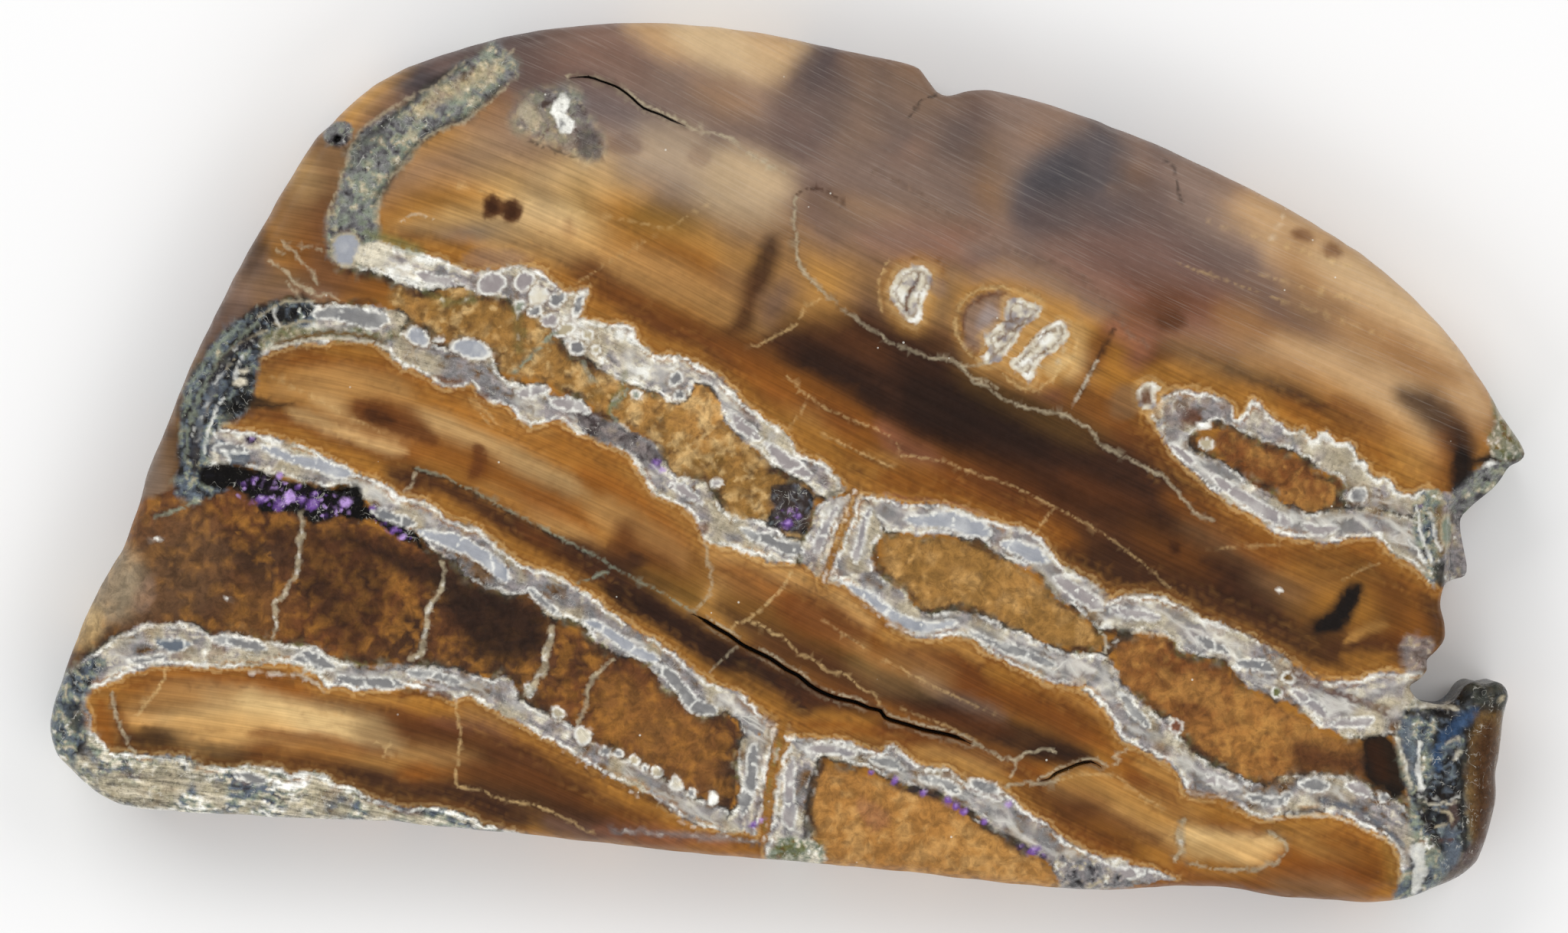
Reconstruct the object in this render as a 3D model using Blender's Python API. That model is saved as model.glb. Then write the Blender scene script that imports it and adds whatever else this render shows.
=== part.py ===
# A polished slice of a woolly mammoth molar, lying on its back face with the show face up.
# Metres, +Z up. The origin is on the resting face, under the middle of the outline's box;
# +X runs along the length of the slice and +Y towards its arched edge.

import math

import bmesh
import bpy
from mathutils import Vector, noise
from mathutils.geometry import delaunay_2d_cdt

MM = 0.001

# Driving sizes, in millimetres
THICKNESS = 7.0
BACK_ROUNDING = 0.8
SAMPLE_STEP = 0.75
RING_ANGLES_FRONT = (35.0, 62.0, 90.0)
RING_ANGLES_BACK = (45.0, 90.0)
FLAT_GRID = 2.6
BROKEN_GRID = 0.45
BROKEN_BOX = (33.5, -7.5, 39.0, 1.0)
BROKEN_DEPTH = 2.1
BROKEN_REACH = 3.0
BROKEN_ROUGHNESS = 0.35
BROKEN_GRAIN = 1.3
RIM_RIPPLE = 0.05
CLEAR_OF_EDGE = 0.3

# The outline, anticlockwise from the lowest left lobe: x, y, and how far the show face rounds
# over into the wall there, all in millimetres. A smooth closed curve runs through the points.
OUTLINE = [
    (-38.6, -13.8, 1.2), (-38.5, -14.6, 1.2), (-38.2, -15.3, 1.2), (-37.4, -16.15, 1.2),
    (-36.5, -16.95, 1.1), (-35.5, -17.6, 1.0), (-34.3, -18.0, 0.9), (-33.0, -18.15, 0.9),
    (-30.0, -18.35, 0.9), (-25.0, -18.6, 0.9), (-20.5, -18.75, 0.9), (-19.0, -18.95, 0.9),
    (-15.0, -19.3, 0.9), (-10.0, -19.85, 1.0), (-5.0, -20.4, 1.2), (0.0, -20.85, 1.4),
    (5.0, -21.3, 1.5), (10.0, -21.85, 1.5), (13.0, -22.15, 1.4), (16.0, -22.35, 1.2),
    (18.0, -22.3, 1.0), (20.0, -22.15, 1.0), (23.0, -22.2, 1.0), (25.5, -22.65, 1.1),
    (28.0, -22.85, 1.2), (30.5, -23.0, 1.3), (32.5, -22.8, 1.6), (34.0, -22.3, 2.0),
    (35.5, -21.6, 2.2), (36.2, -21.0, 2.2), (36.7, -19.9, 2.2), (37.1, -18.5, 2.2),
    (37.3, -17.2, 2.1), (37.25, -16.3, 2.1), (37.4, -15.5, 2.1), (37.5, -14.5, 2.0),
    (37.6, -13.5, 1.8), (37.7, -12.8, 1.4), (37.8, -12.2, 1.0), (37.6, -11.7, 0.7),
    (37.2, -11.45, 0.7), (36.6, -11.55, 0.8), (36.0, -11.45, 0.8), (35.5, -11.7, 0.9),
    (35.1, -12.3, 1.0), (34.5, -12.65, 1.0), (33.6, -12.55, 1.0), (33.0, -12.3, 0.8),
    (32.6, -11.7, 0.6), (33.1, -11.3, 0.5), (33.5, -10.8, 0.5), (33.5, -10.3, 0.5),
    (34.0, -9.8, 0.5), (34.4, -9.2, 0.5), (34.4, -8.4, 0.5), (34.2, -7.4, 0.5),
    (34.4, -6.4, 0.4), (35.0, -6.1, 0.4), (35.6, -5.9, 0.5), (35.75, -5.4, 0.6),
    (35.6, -4.6, 0.6), (35.45, -3.6, 0.6), (35.4, -2.9, 0.5), (36.2, -2.1, 0.5),
    (37.0, -1.4, 0.5), (37.4, -0.9, 0.5), (37.8, -0.2, 0.5), (38.4, 0.1, 0.5),
    (38.6, 0.5, 0.6), (38.35, 1.1, 0.8), (37.75, 2.0, 0.9), (37.0, 3.3, 1.0),
    (36.05, 4.85, 1.1), (34.8, 6.55, 1.2), (33.3, 8.2, 1.2), (31.9, 9.5, 1.2),
    (30.0, 11.05, 1.2), (27.5, 12.6, 1.2), (25.0, 14.0, 1.1), (20.0, 16.4, 1.1),
    (15.0, 18.35, 1.0), (12.0, 19.25, 1.0), (10.4, 19.55, 0.9), (9.5, 19.45, 0.8),
    (8.4, 19.2, 0.7), (7.9, 19.4, 0.7), (7.4, 20.0, 0.7), (6.9, 20.65, 0.7),
    (6.2, 20.95, 0.8), (5.0, 21.2, 0.9), (0.0, 22.25, 1.0), (-3.0, 22.75, 1.0),
    (-6.0, 23.0, 1.0), (-8.0, 23.05, 1.0), (-10.0, 22.95, 1.0), (-13.0, 22.65, 1.0),
    (-15.0, 22.25, 1.0), (-17.5, 21.55, 1.1), (-20.0, 20.65, 1.2), (-21.5, 19.85, 1.2),
    (-23.0, 18.65, 1.2), (-23.9, 17.75, 1.1), (-24.55, 17.15, 1.1), (-26.0, 14.95, 1.3),
    (-27.5, 12.35, 1.4), (-29.0, 9.7, 1.5), (-30.0, 7.75, 1.6), (-31.3, 5.0, 1.6),
    (-32.5, 2.0, 1.6), (-33.35, 0.0, 1.6), (-33.75, -1.3, 1.6), (-34.0, -2.2, 1.6),
    (-34.35, -3.2, 1.6), (-34.9, -4.6, 1.7), (-35.25, -5.15, 1.8), (-35.8, -6.05, 1.8),
    (-36.4, -7.15, 1.8), (-37.45, -9.8, 1.6), (-38.05, -11.5, 1.4), (-38.5, -13.0, 1.3),
]

# The broken ground at the right end lies left of this brink, along the line as listed: x, y and
# how steeply the surface falls away from the show face there, until it is BROKEN_DEPTH below it.
BRINK = [
    (38.45, 0.2, 1.0), (37.8, 0.1, 1.1), (36.9, 0.1, 1.2), (36.3, -0.45, 1.3), (35.6, -0.9, 1.5),
    (35.0, -1.5, 2.0), (34.55, -2.2, 3.5), (34.5, -3.0, 6.0), (34.45, -4.2, 6.0), (34.4, -5.4, 6.0),
    (34.25, -6.0, 4.0), (34.1, -6.6, 0.0),
]

# Open cracks in the show face: the line each follows, its widest half width and its depth
CRACKS = {
    "plate_crack": {
        "line": [(-4.9, -7.9), (-3.7, -8.6), (-2.3, -9.5), (-0.8, -10.25), (0.6, -11.1), (1.9, -12.0),
                 (3.6, -12.5), (4.9, -12.95), (5.7, -13.5), (7.2, -13.95), (8.8, -14.3), (9.6, -14.65)],
        "half_width": 0.19, "depth": 0.9,
    },
    "branch_crack": {
        "line": [(13.3, -16.6), (14.1, -16.2), (14.9, -15.85), (15.9, -15.6), (16.4, -15.85)],
        "half_width": 0.16, "depth": 0.7,
    },
    "upper_crack": {
        "line": [(-11.3, 20.1), (-10.3, 20.15), (-9.0, 19.7), (-8.0, 19.0), (-7.5, 18.55),
                 (-6.6, 18.2), (-5.3, 17.6)],
        "half_width": 0.17, "depth": 0.7,
    },
}

# Small open pits in the show face: centre, the two half lengths, the turn in degrees and the depth
PITS = {
    "rim_hole": {"at": (-23.5, 16.95), "half": (0.34, 0.24), "turn": 30.0, "depth": 0.8},
    "white_pocket": {"at": (-11.75, 18.95), "half": (0.5, 0.3), "turn": 75.0, "depth": 0.45},
    "vug": {"at": (-23.2, -1.3), "half": (0.55, 0.32), "turn": 10.0, "depth": 0.5},
}
PIT_SIDES = 10
PIT_FLOOR = 0.55


def smooth_loop(points, step):
    """The closed curve through the points, sampled about every step, as lists of numbers."""
    samples = []
    count = len(points)
    for i in range(count):
        before, here, after, beyond = (points[(i + k) % count] for k in (-1, 0, 1, 2))
        parts = max(1, round(math.dist(here[:2], after[:2]) / step))
        for k in range(parts):
            t = k / parts
            samples.append([
                0.5 * (2 * b + (c - a) * t + (2 * a - 5 * b + 4 * c - d) * t * t + (3 * b - a - 3 * c + d) * t ** 3)
                for a, b, c, d in zip(before, here, after, beyond)
            ])
    return samples


def inward(loop, i):
    """The unit direction into the slice at one sample of the outline."""
    x0, y0 = loop[i - 1][:2]
    x1, y1 = loop[(i + 1) % len(loop)][:2]
    length = math.dist((x0, y0), (x1, y1))
    return -(y1 - y0) / length, (x1 - x0) / length


def to_segment(x, y, start, end):
    """A point's distance to a segment, its side (above 0 is left) and the share along it."""
    dx, dy = end[0] - start[0], end[1] - start[1]
    along = ((x - start[0]) * dx + (y - start[1]) * dy) / (dx * dx + dy * dy)
    along = min(1.0, max(0.0, along))
    away = math.dist((x, y), (start[0] + along * dx, start[1] + along * dy))
    left = dx * (y - start[1]) - dy * (x - start[0])
    return away, left, along


def edge_state(x, y, loop):
    """The distance to the outline, and the front rounding at the nearest place on it."""
    best = (1e9, 0.0)
    for i in range(len(loop)):
        start, end = loop[i - 1], loop[i]
        away, _, along = to_segment(x, y, start, end)
        if away < best[0]:
            best = (away, start[2] + along * (end[2] - start[2]))
    return best


def rounding_drop(distance, radius):
    """How far a quarter-round edge lies below the face, at a distance in from the outline."""
    if distance >= radius:
        return 0.0
    return radius - math.sqrt(max(0.0, radius ** 2 - (radius - distance) ** 2))


def broken_drop(x, y):
    """How far the broken ground lies below the show face at a place."""
    nearest = (BROKEN_REACH, 0.0, 0.0)
    for start, end in zip(BRINK, BRINK[1:]):
        away, left, along = to_segment(x, y, start, end)
        if away < nearest[0]:
            nearest = (away, left, start[2] + along * (end[2] - start[2]))
    away, left, slope = nearest
    if left <= 0:
        return 0.0
    fall = min(BROKEN_DEPTH, away * slope)
    return fall + BROKEN_ROUGHNESS * min(1.0, fall) * noise.noise(Vector((x, y, 0)) * BROKEN_GRAIN)


def front_height(x, y, distance, radius):
    """The height of the show face at a place, before cracks and pits."""
    return THICKNESS - max(rounding_drop(distance, radius), broken_drop(x, y))


class FacePoints:
    """Collects the points and fixed lines of one face of the slice, for its triangulation."""

    def __init__(self, loop, heights):
        self.xy = [(p[0], p[1]) for p in loop]
        self.z = list(heights)
        self.lines = [(i, (i + 1) % len(loop)) for i in range(len(loop))]

    def add(self, x, y, z):
        self.xy.append((x, y))
        self.z.append(z)
        return len(self.xy) - 1

    def add_line(self, points, closed=False):
        ids = [self.add(*p) for p in points]
        self.lines += list(zip(ids, ids[1:]))
        if closed:
            self.lines.append((ids[-1], ids[0]))

    def near(self, x, y, limit):
        return any(abs(x - a) < limit and math.dist((x, y), (a, b)) < limit for a, b in self.xy)


def add_rings(face, loop, angles, radius_at, height_at):
    """Points round the edge that carry its rounding, left out where a tight corner crowds them."""
    for angle in angles:
        share = 1 - math.cos(math.radians(angle))
        for i, sample in enumerate(loop):
            nx, ny = inward(loop, i)
            inset = radius_at(sample) * share
            x, y = sample[0] + nx * inset, sample[1] + ny * inset
            distance, radius = edge_state(x, y, loop)
            if distance > 0.93 * inset and not face.near(x, y, 0.3 * SAMPLE_STEP):
                face.add(x, y, height_at(x, y, distance, radius))


def add_crack(face, crack):
    """A V-shaped groove: two lips in the face and a floor line between them."""
    line, last = crack["line"], len(crack["line"]) - 1
    lips = {-1: [], 1: []}
    floor = []
    for i, (x, y) in enumerate(line):
        x0, y0 = line[max(i - 1, 0)]
        x1, y1 = line[min(i + 1, last)]
        length = math.dist((x0, y0), (x1, y1))
        open_share = math.sin(math.pi * i / last) ** 0.5
        for side, lip in lips.items():
            shift = side * crack["half_width"] * open_share
            if 0 < i < last:
                lip.append((x - (y1 - y0) / length * shift, y + (x1 - x0) / length * shift, THICKNESS))
        floor.append((x, y, THICKNESS - crack["depth"] * open_share))
    face.add_line(floor)
    face.add_line(lips[-1])
    face.add_line(lips[1])


def add_pit(face, pit):
    """A small oval pit with a rim in the face and a narrower floor."""
    turn = math.radians(pit["turn"])
    for share, drop in ((1.0, 0.0), (PIT_FLOOR, pit["depth"])):
        ring = []
        for k in range(PIT_SIDES):
            a = 2 * math.pi * k / PIT_SIDES
            u, v = pit["half"][0] * share * math.cos(a), pit["half"][1] * share * math.sin(a)
            x = pit["at"][0] + u * math.cos(turn) - v * math.sin(turn)
            y = pit["at"][1] + u * math.sin(turn) + v * math.cos(turn)
            ring.append((x, y, THICKNESS - drop))
        face.add_line(ring, closed=True)


def add_broken_ground(face, loop):
    """The brink of the broken ground as a fixed line, and a scatter of points over what lies below."""
    face.add_line([(x, y, THICKNESS) for x, y, _ in BRINK if edge_state(x, y, loop)[0] > CLEAR_OF_EDGE])
    left, bottom, right, top = BROKEN_BOX
    for i in range(int((right - left) / BROKEN_GRID) + 1):
        for j in range(int((top - bottom) / BROKEN_GRID) + 1):
            x = left + (i + 0.35 * noise.noise(Vector((i, j, 3)) * 0.7)) * BROKEN_GRID
            y = bottom + (j + 0.35 * noise.noise(Vector((i, j, 9)) * 0.7)) * BROKEN_GRID
            if broken_drop(x, y) > 0 and inside(x, y, loop) and not face.near(x, y, 0.22):
                distance, radius = edge_state(x, y, loop)
                if distance > CLEAR_OF_EDGE:
                    face.add(x, y, front_height(x, y, distance, radius))


def add_flat_grid(face, loop, height):
    """A wide grid of points on the flat of a face, so that no triangle there is long and thin."""
    for i in range(-int(39 / FLAT_GRID), int(39 / FLAT_GRID) + 1):
        for j in range(-int(24 / FLAT_GRID), int(24 / FLAT_GRID) + 1):
            x, y = (i + 0.5 * (j % 2)) * FLAT_GRID, j * FLAT_GRID
            if inside(x, y, loop) and not face.near(x, y, 0.45 * FLAT_GRID):
                if broken_drop(x, y) == 0 and edge_state(x, y, loop)[0] > 0.9 * FLAT_GRID:
                    face.add(x, y, height)


def inside(x, y, loop):
    """Whether a place is inside the outline."""
    crossings = 0
    for i in range(len(loop)):
        (x0, y0), (x1, y1) = loop[i - 1][:2], loop[i][:2]
        if (y0 > y) != (y1 > y) and x < x0 + (y - y0) / (y1 - y0) * (x1 - x0):
            crossings += 1
    return crossings % 2 == 1


def triangulate(face):
    """The face's triangles inside its outline, as triples of indices into its points."""
    flat = [Vector(p) for p in face.xy]
    _, _, triangles, sources, _, _ = delaunay_2d_cdt(flat, face.lines, [], 1, 1e-6)
    return [[sources[v][0] for v in triangle] for triangle in triangles]


def build_slice():
    """The whole slice: the show face, the wall and the resting face, sewn into one closed mesh."""
    loop = smooth_loop(OUTLINE, SAMPLE_STEP)
    for i, sample in enumerate(loop):
        ripple = RIM_RIPPLE * noise.noise(Vector((sample[0], sample[1], 0)) * 0.9)
        nx, ny = inward(loop, i)
        sample[0] += nx * ripple
        sample[1] += ny * ripple

    front = FacePoints(loop, [front_height(p[0], p[1], 0.0, p[2]) for p in loop])
    for crack in CRACKS.values():
        add_crack(front, crack)
    for pit in PITS.values():
        add_pit(front, pit)
    add_rings(front, loop, RING_ANGLES_FRONT, lambda sample: sample[2], front_height)
    add_broken_ground(front, loop)
    add_flat_grid(front, loop, THICKNESS)

    def back_height(x, y, distance, radius):
        return rounding_drop(distance, BACK_ROUNDING)

    back = FacePoints(loop, [BACK_ROUNDING] * len(loop))
    add_rings(back, loop, RING_ANGLES_BACK, lambda sample: BACK_ROUNDING, back_height)
    add_flat_grid(back, loop, 0.0)

    mesh = bmesh.new()
    front_verts = [mesh.verts.new((x * MM, y * MM, z * MM)) for (x, y), z in zip(front.xy, front.z)]
    back_verts = [mesh.verts.new((x * MM, y * MM, z * MM)) for (x, y), z in zip(back.xy, back.z)]
    for triangle in triangulate(front):
        mesh.faces.new([front_verts[i] for i in triangle])
    for triangle in triangulate(back):
        mesh.faces.new([back_verts[i] for i in reversed(triangle)])
    for i in range(len(loop)):
        j = (i + 1) % len(loop)
        mesh.faces.new((back_verts[i], back_verts[j], front_verts[j], front_verts[i]))
    bmesh.ops.triangulate(mesh, faces=[f for f in mesh.faces if len(f.verts) > 3])
    bmesh.ops.recalc_face_normals(mesh, faces=mesh.faces)
    data = bpy.data.meshes.new("tooth_slice")
    mesh.to_mesh(data)
    mesh.free()
    data.shade_smooth()
    data.set_sharp_from_angle(angle=math.radians(40))
    return data


def polished_tooth():
    """Brown fossil dentine under a satin polish, the colour that fills most of the face."""
    material = bpy.data.materials.new("polished_tooth")
    material.use_nodes = True
    shader = material.node_tree.nodes["Principled BSDF"]
    shader.inputs["Base Color"].default_value = (0.23, 0.11, 0.04, 1.0)
    shader.inputs["Roughness"].default_value = 0.3
    shader.inputs["Metallic"].default_value = 0.0
    return material


def main():
    for old in list(bpy.data.objects):
        bpy.data.objects.remove(old)
    data = build_slice()
    data.materials.append(polished_tooth())
    piece = bpy.data.objects.new("tooth_slice", data)
    bpy.context.scene.collection.objects.link(piece)


main()
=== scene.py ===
import math
import bpy
import bmesh
import numpy as np
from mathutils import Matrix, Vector
from mathutils.bvhtree import BVHTree
from mathutils.geometry import delaunay_2d_cdt


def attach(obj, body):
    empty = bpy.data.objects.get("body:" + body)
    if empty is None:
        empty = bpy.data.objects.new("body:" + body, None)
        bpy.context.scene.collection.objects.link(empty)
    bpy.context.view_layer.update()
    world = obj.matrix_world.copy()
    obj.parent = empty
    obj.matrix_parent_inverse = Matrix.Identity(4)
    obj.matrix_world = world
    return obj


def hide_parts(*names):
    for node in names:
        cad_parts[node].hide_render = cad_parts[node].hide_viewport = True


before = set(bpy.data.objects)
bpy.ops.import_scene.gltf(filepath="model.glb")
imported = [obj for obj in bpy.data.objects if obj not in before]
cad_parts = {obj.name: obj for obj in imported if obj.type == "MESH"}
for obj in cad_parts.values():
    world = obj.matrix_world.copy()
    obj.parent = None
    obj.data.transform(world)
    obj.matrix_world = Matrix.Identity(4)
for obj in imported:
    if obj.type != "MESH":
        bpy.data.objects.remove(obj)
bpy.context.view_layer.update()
mm = 0.001

# colours of the real slice, as a painter would mix them: red, green, blue from 0 to 255
pigments = {
    "straw": (212, 178, 122), "tan": (196, 152, 92), "honey": (180, 130, 66), "gold": (164, 110, 44),
    "amber": (142, 84, 28), "rust": (116, 64, 26), "chestnut": (92, 54, 28), "umber": (66, 40, 26),
    "coffee": (46, 29, 21), "soot": (27, 22, 20), "clay": (134, 100, 66), "taupe": (142, 114, 94),
    "mauve": (112, 88, 78), "slate": (76, 70, 74), "ink": (44, 43, 50), "rose": (150, 96, 70),
    "ochre": (168, 114, 52), "olive": (130, 94, 40), "russet": (108, 60, 26), "bark": (66, 36, 18),
    "moss": (116, 118, 66), "chalk": (230, 228, 218), "cream": (210, 200, 176), "bone": (186, 172, 142),
    "lavender": (162, 152, 150), "pewter": (136, 134, 133), "steel": (108, 118, 130), "cobalt": (66, 96, 134),
    "sage": (142, 150, 130), "char": (50, 47, 42), "violet": (118, 78, 158), "lilac": (184, 150, 210),
    "plum": (66, 46, 72), "mist": (164, 166, 172),
}


def toLinear(name):  # the shader reckons with linear colours
    c = np.array(pigments[name]) / 255.0
    return np.where(c <= 0.04045, c / 12.92, ((c + 0.055) / 1.055) ** 2.4)


def smooth(low, high, value):  # a soft step, 0 at low and 1 at high
    t = np.clip((value - low) / (high - low + 1e-9), 0.0, 1.0)
    return t * t * (3 - 2 * t)


def latticeValue(ix, iy, seed):  # a number from -1 to 1 for each place of a grid, the same every time
    n = ix.astype(np.int64) * 374761393 + iy.astype(np.int64) * 668265263 + seed * 974634777
    n = (n ^ (n >> 13)) & 0xFFFFFFFF
    n = (n * 1274126177) & 0xFFFFFFFF
    return ((n ^ (n >> 16)) & 0xFFFF) / 32767.5 - 1.0


def grain(x, y, size, seed=0):  # smooth noise from -1 to 1 with lumps about size across
    x, y = x / size, y / size
    ix, iy = np.floor(x), np.floor(y)
    fx, fy = x - ix, y - iy
    fx, fy = fx * fx * (3 - 2 * fx), fy * fy * (3 - 2 * fy)
    a, b = latticeValue(ix, iy, seed), latticeValue(ix + 1, iy, seed)
    c, d = latticeValue(ix, iy + 1, seed), latticeValue(ix + 1, iy + 1, seed)
    return (a + (b - a) * fx) * (1 - fy) + (c + (d - c) * fx) * fy


def cloud(x, y, size, seed=0, layers=3):  # grain of several sizes laid over each other
    total, weight = 0.0, 0.0
    for k in range(layers):  # each layer is turned, so that no grid shows
        c, s = math.cos(0.6 + 1.1 * k + seed), math.sin(0.6 + 1.1 * k + seed)
        total = total + grain(c * x - s * y, s * x + c * y, size / 2 ** k, seed + 17 * k) * 0.6 ** k
        weight += 0.6 ** k
    return total / weight


def curve(points, closed=False, step=0.35):  # a smooth curve through points, or through a row of x, y, x, y
    p = np.asarray(points, float)
    if p.ndim == 1:
        p = p.reshape(-1, 2)
    n = len(p)
    out = []
    for i in range(n if closed else n - 1):
        if closed:
            a, b, c, d = p[i - 1], p[i], p[(i + 1) % n], p[(i + 2) % n]
        else:
            a, b, c, d = p[max(i - 1, 0)], p[i], p[i + 1], p[min(i + 2, n - 1)]
        parts = max(1, int(round(math.hypot(*(c - b)[:2]) / step)))
        for k in range(parts):
            t = k / parts
            out.append(0.5 * (2 * b + (c - a) * t + (2 * a - 5 * b + 4 * c - d) * t ** 2
                              + (3 * b - a - 3 * c + d) * t ** 3))
    if not closed:
        out.append(p[-1])
    return np.array(out)


def nearLine(x, y, line):
    # distance to the line, its side (left is above 0), length along, segment, share of it, whole length
    best = np.full(len(x), 1e9)
    side, along, index, share = (np.zeros(len(x)) for _ in range(4))
    length = 0.0
    for i in range(len(line) - 1):
        ax, ay = line[i][:2]
        dx, dy = line[i + 1][:2] - line[i][:2]
        size = math.hypot(dx, dy) + 1e-12
        px, py = x - ax, y - ay
        t = np.clip((px * dx + py * dy) / size ** 2, 0, 1)
        d = (px - t * dx) ** 2 + (py - t * dy) ** 2
        hit = d < best
        best = np.where(hit, d, best)
        side = np.where(hit, dx * py - dy * px, side)
        along = np.where(hit, length + t * size, along)
        index = np.where(hit, i, index)
        share = np.where(hit, t, share)
        length += size
    return np.sqrt(best), np.where(side >= 0, 1.0, -1.0), along, index.astype(int), share, length


def insideLoop(x, y, loop):  # which places lie inside a closed outline
    inside = np.zeros(len(x), bool)
    for i in range(len(loop)):
        (ax, ay), (bx, by) = loop[i - 1][:2], loop[i][:2]
        if ay != by:
            cross = (ay > y) != (by > y)
            inside ^= cross & (x < ax + (y - ay) / (by - ay) * (bx - ax))
    return inside


def fromEdge(x, y, loop):  # distance to a closed outline, below 0 inside it
    d = nearLine(x, y, np.vstack([loop, loop[:1]]))[0]
    return np.where(insideLoop(x, y, loop), -d, d)


class Canvas:  # the places that are painted, in millimetres, and what has been put on them so far
    def __init__(self, x, y):
        self.x, self.y = x, y
        wander, tremble = 0.16, 0.05  # how far the edges of strokes and patches wander
        self.wx = x + wander * cloud(x, y, 1.1, 5) + tremble * grain(x, y, 0.3, 6)
        self.wy = y + wander * cloud(x, y, 1.1, 25) + tremble * grain(x, y, 0.3, 26)
        self.colour = np.zeros((len(x), 3))
        # the enamel and cement masks, and where a sheen is painted over the top
        self.enamel, self.cement, self.paintedSheen = (np.zeros(len(x)) for _ in range(3))
        self.pods, self.fibre, self.crumb = (np.zeros(len(x)) for _ in range(3))

    def note(self, k, cover, **amounts):  # what the fine structure is like where something was laid
        for name, amount in amounts.items():
            values = getattr(self, name)
            values[k] += (amount - values[k]) * np.clip(cover, 0, 1)

    def near(self, points, reach):  # the places close enough to be painted
        p = np.asarray(points)
        return np.nonzero((self.x > p[:, 0].min() - reach) & (self.x < p[:, 0].max() + reach)
                          & (self.y > p[:, 1].min() - reach) & (self.y < p[:, 1].max() + reach))[0]

    def lay(self, which, name, mask):  # colour over what is there, as opaque as the mask says
        self.colour[which] += (toLinear(name) - self.colour[which]) * np.clip(mask, 0, 1)[:, None]

    def stroke(self, name, width, soft, strength, row):  # its ends are rounded
        line = curve(row, step=max(0.3, width / 3))
        k = self.near(line, width / 2 + soft)
        d, _, along, _, _, length = nearLine(self.wx[k], self.wy[k], line)
        ends = np.clip(np.minimum(along, length - along) / (width * 0.8 + 0.3) + 0.25, 0, 1)
        half = width / 2 * np.sqrt(ends)
        self.lay(k, name, strength * (1 - smooth(half - soft / 2, half + soft / 2, d)))

    def patch(self, name, soft, strength, row):  # an area of one colour with a soft edge
        loop = curve(row, True)
        k = self.near(loop, soft + 0.5)
        d = fromEdge(self.wx[k], self.wy[k], loop)
        self.lay(k, name, strength * (1 - smooth(-soft / 2, soft / 2, d)))


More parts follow.
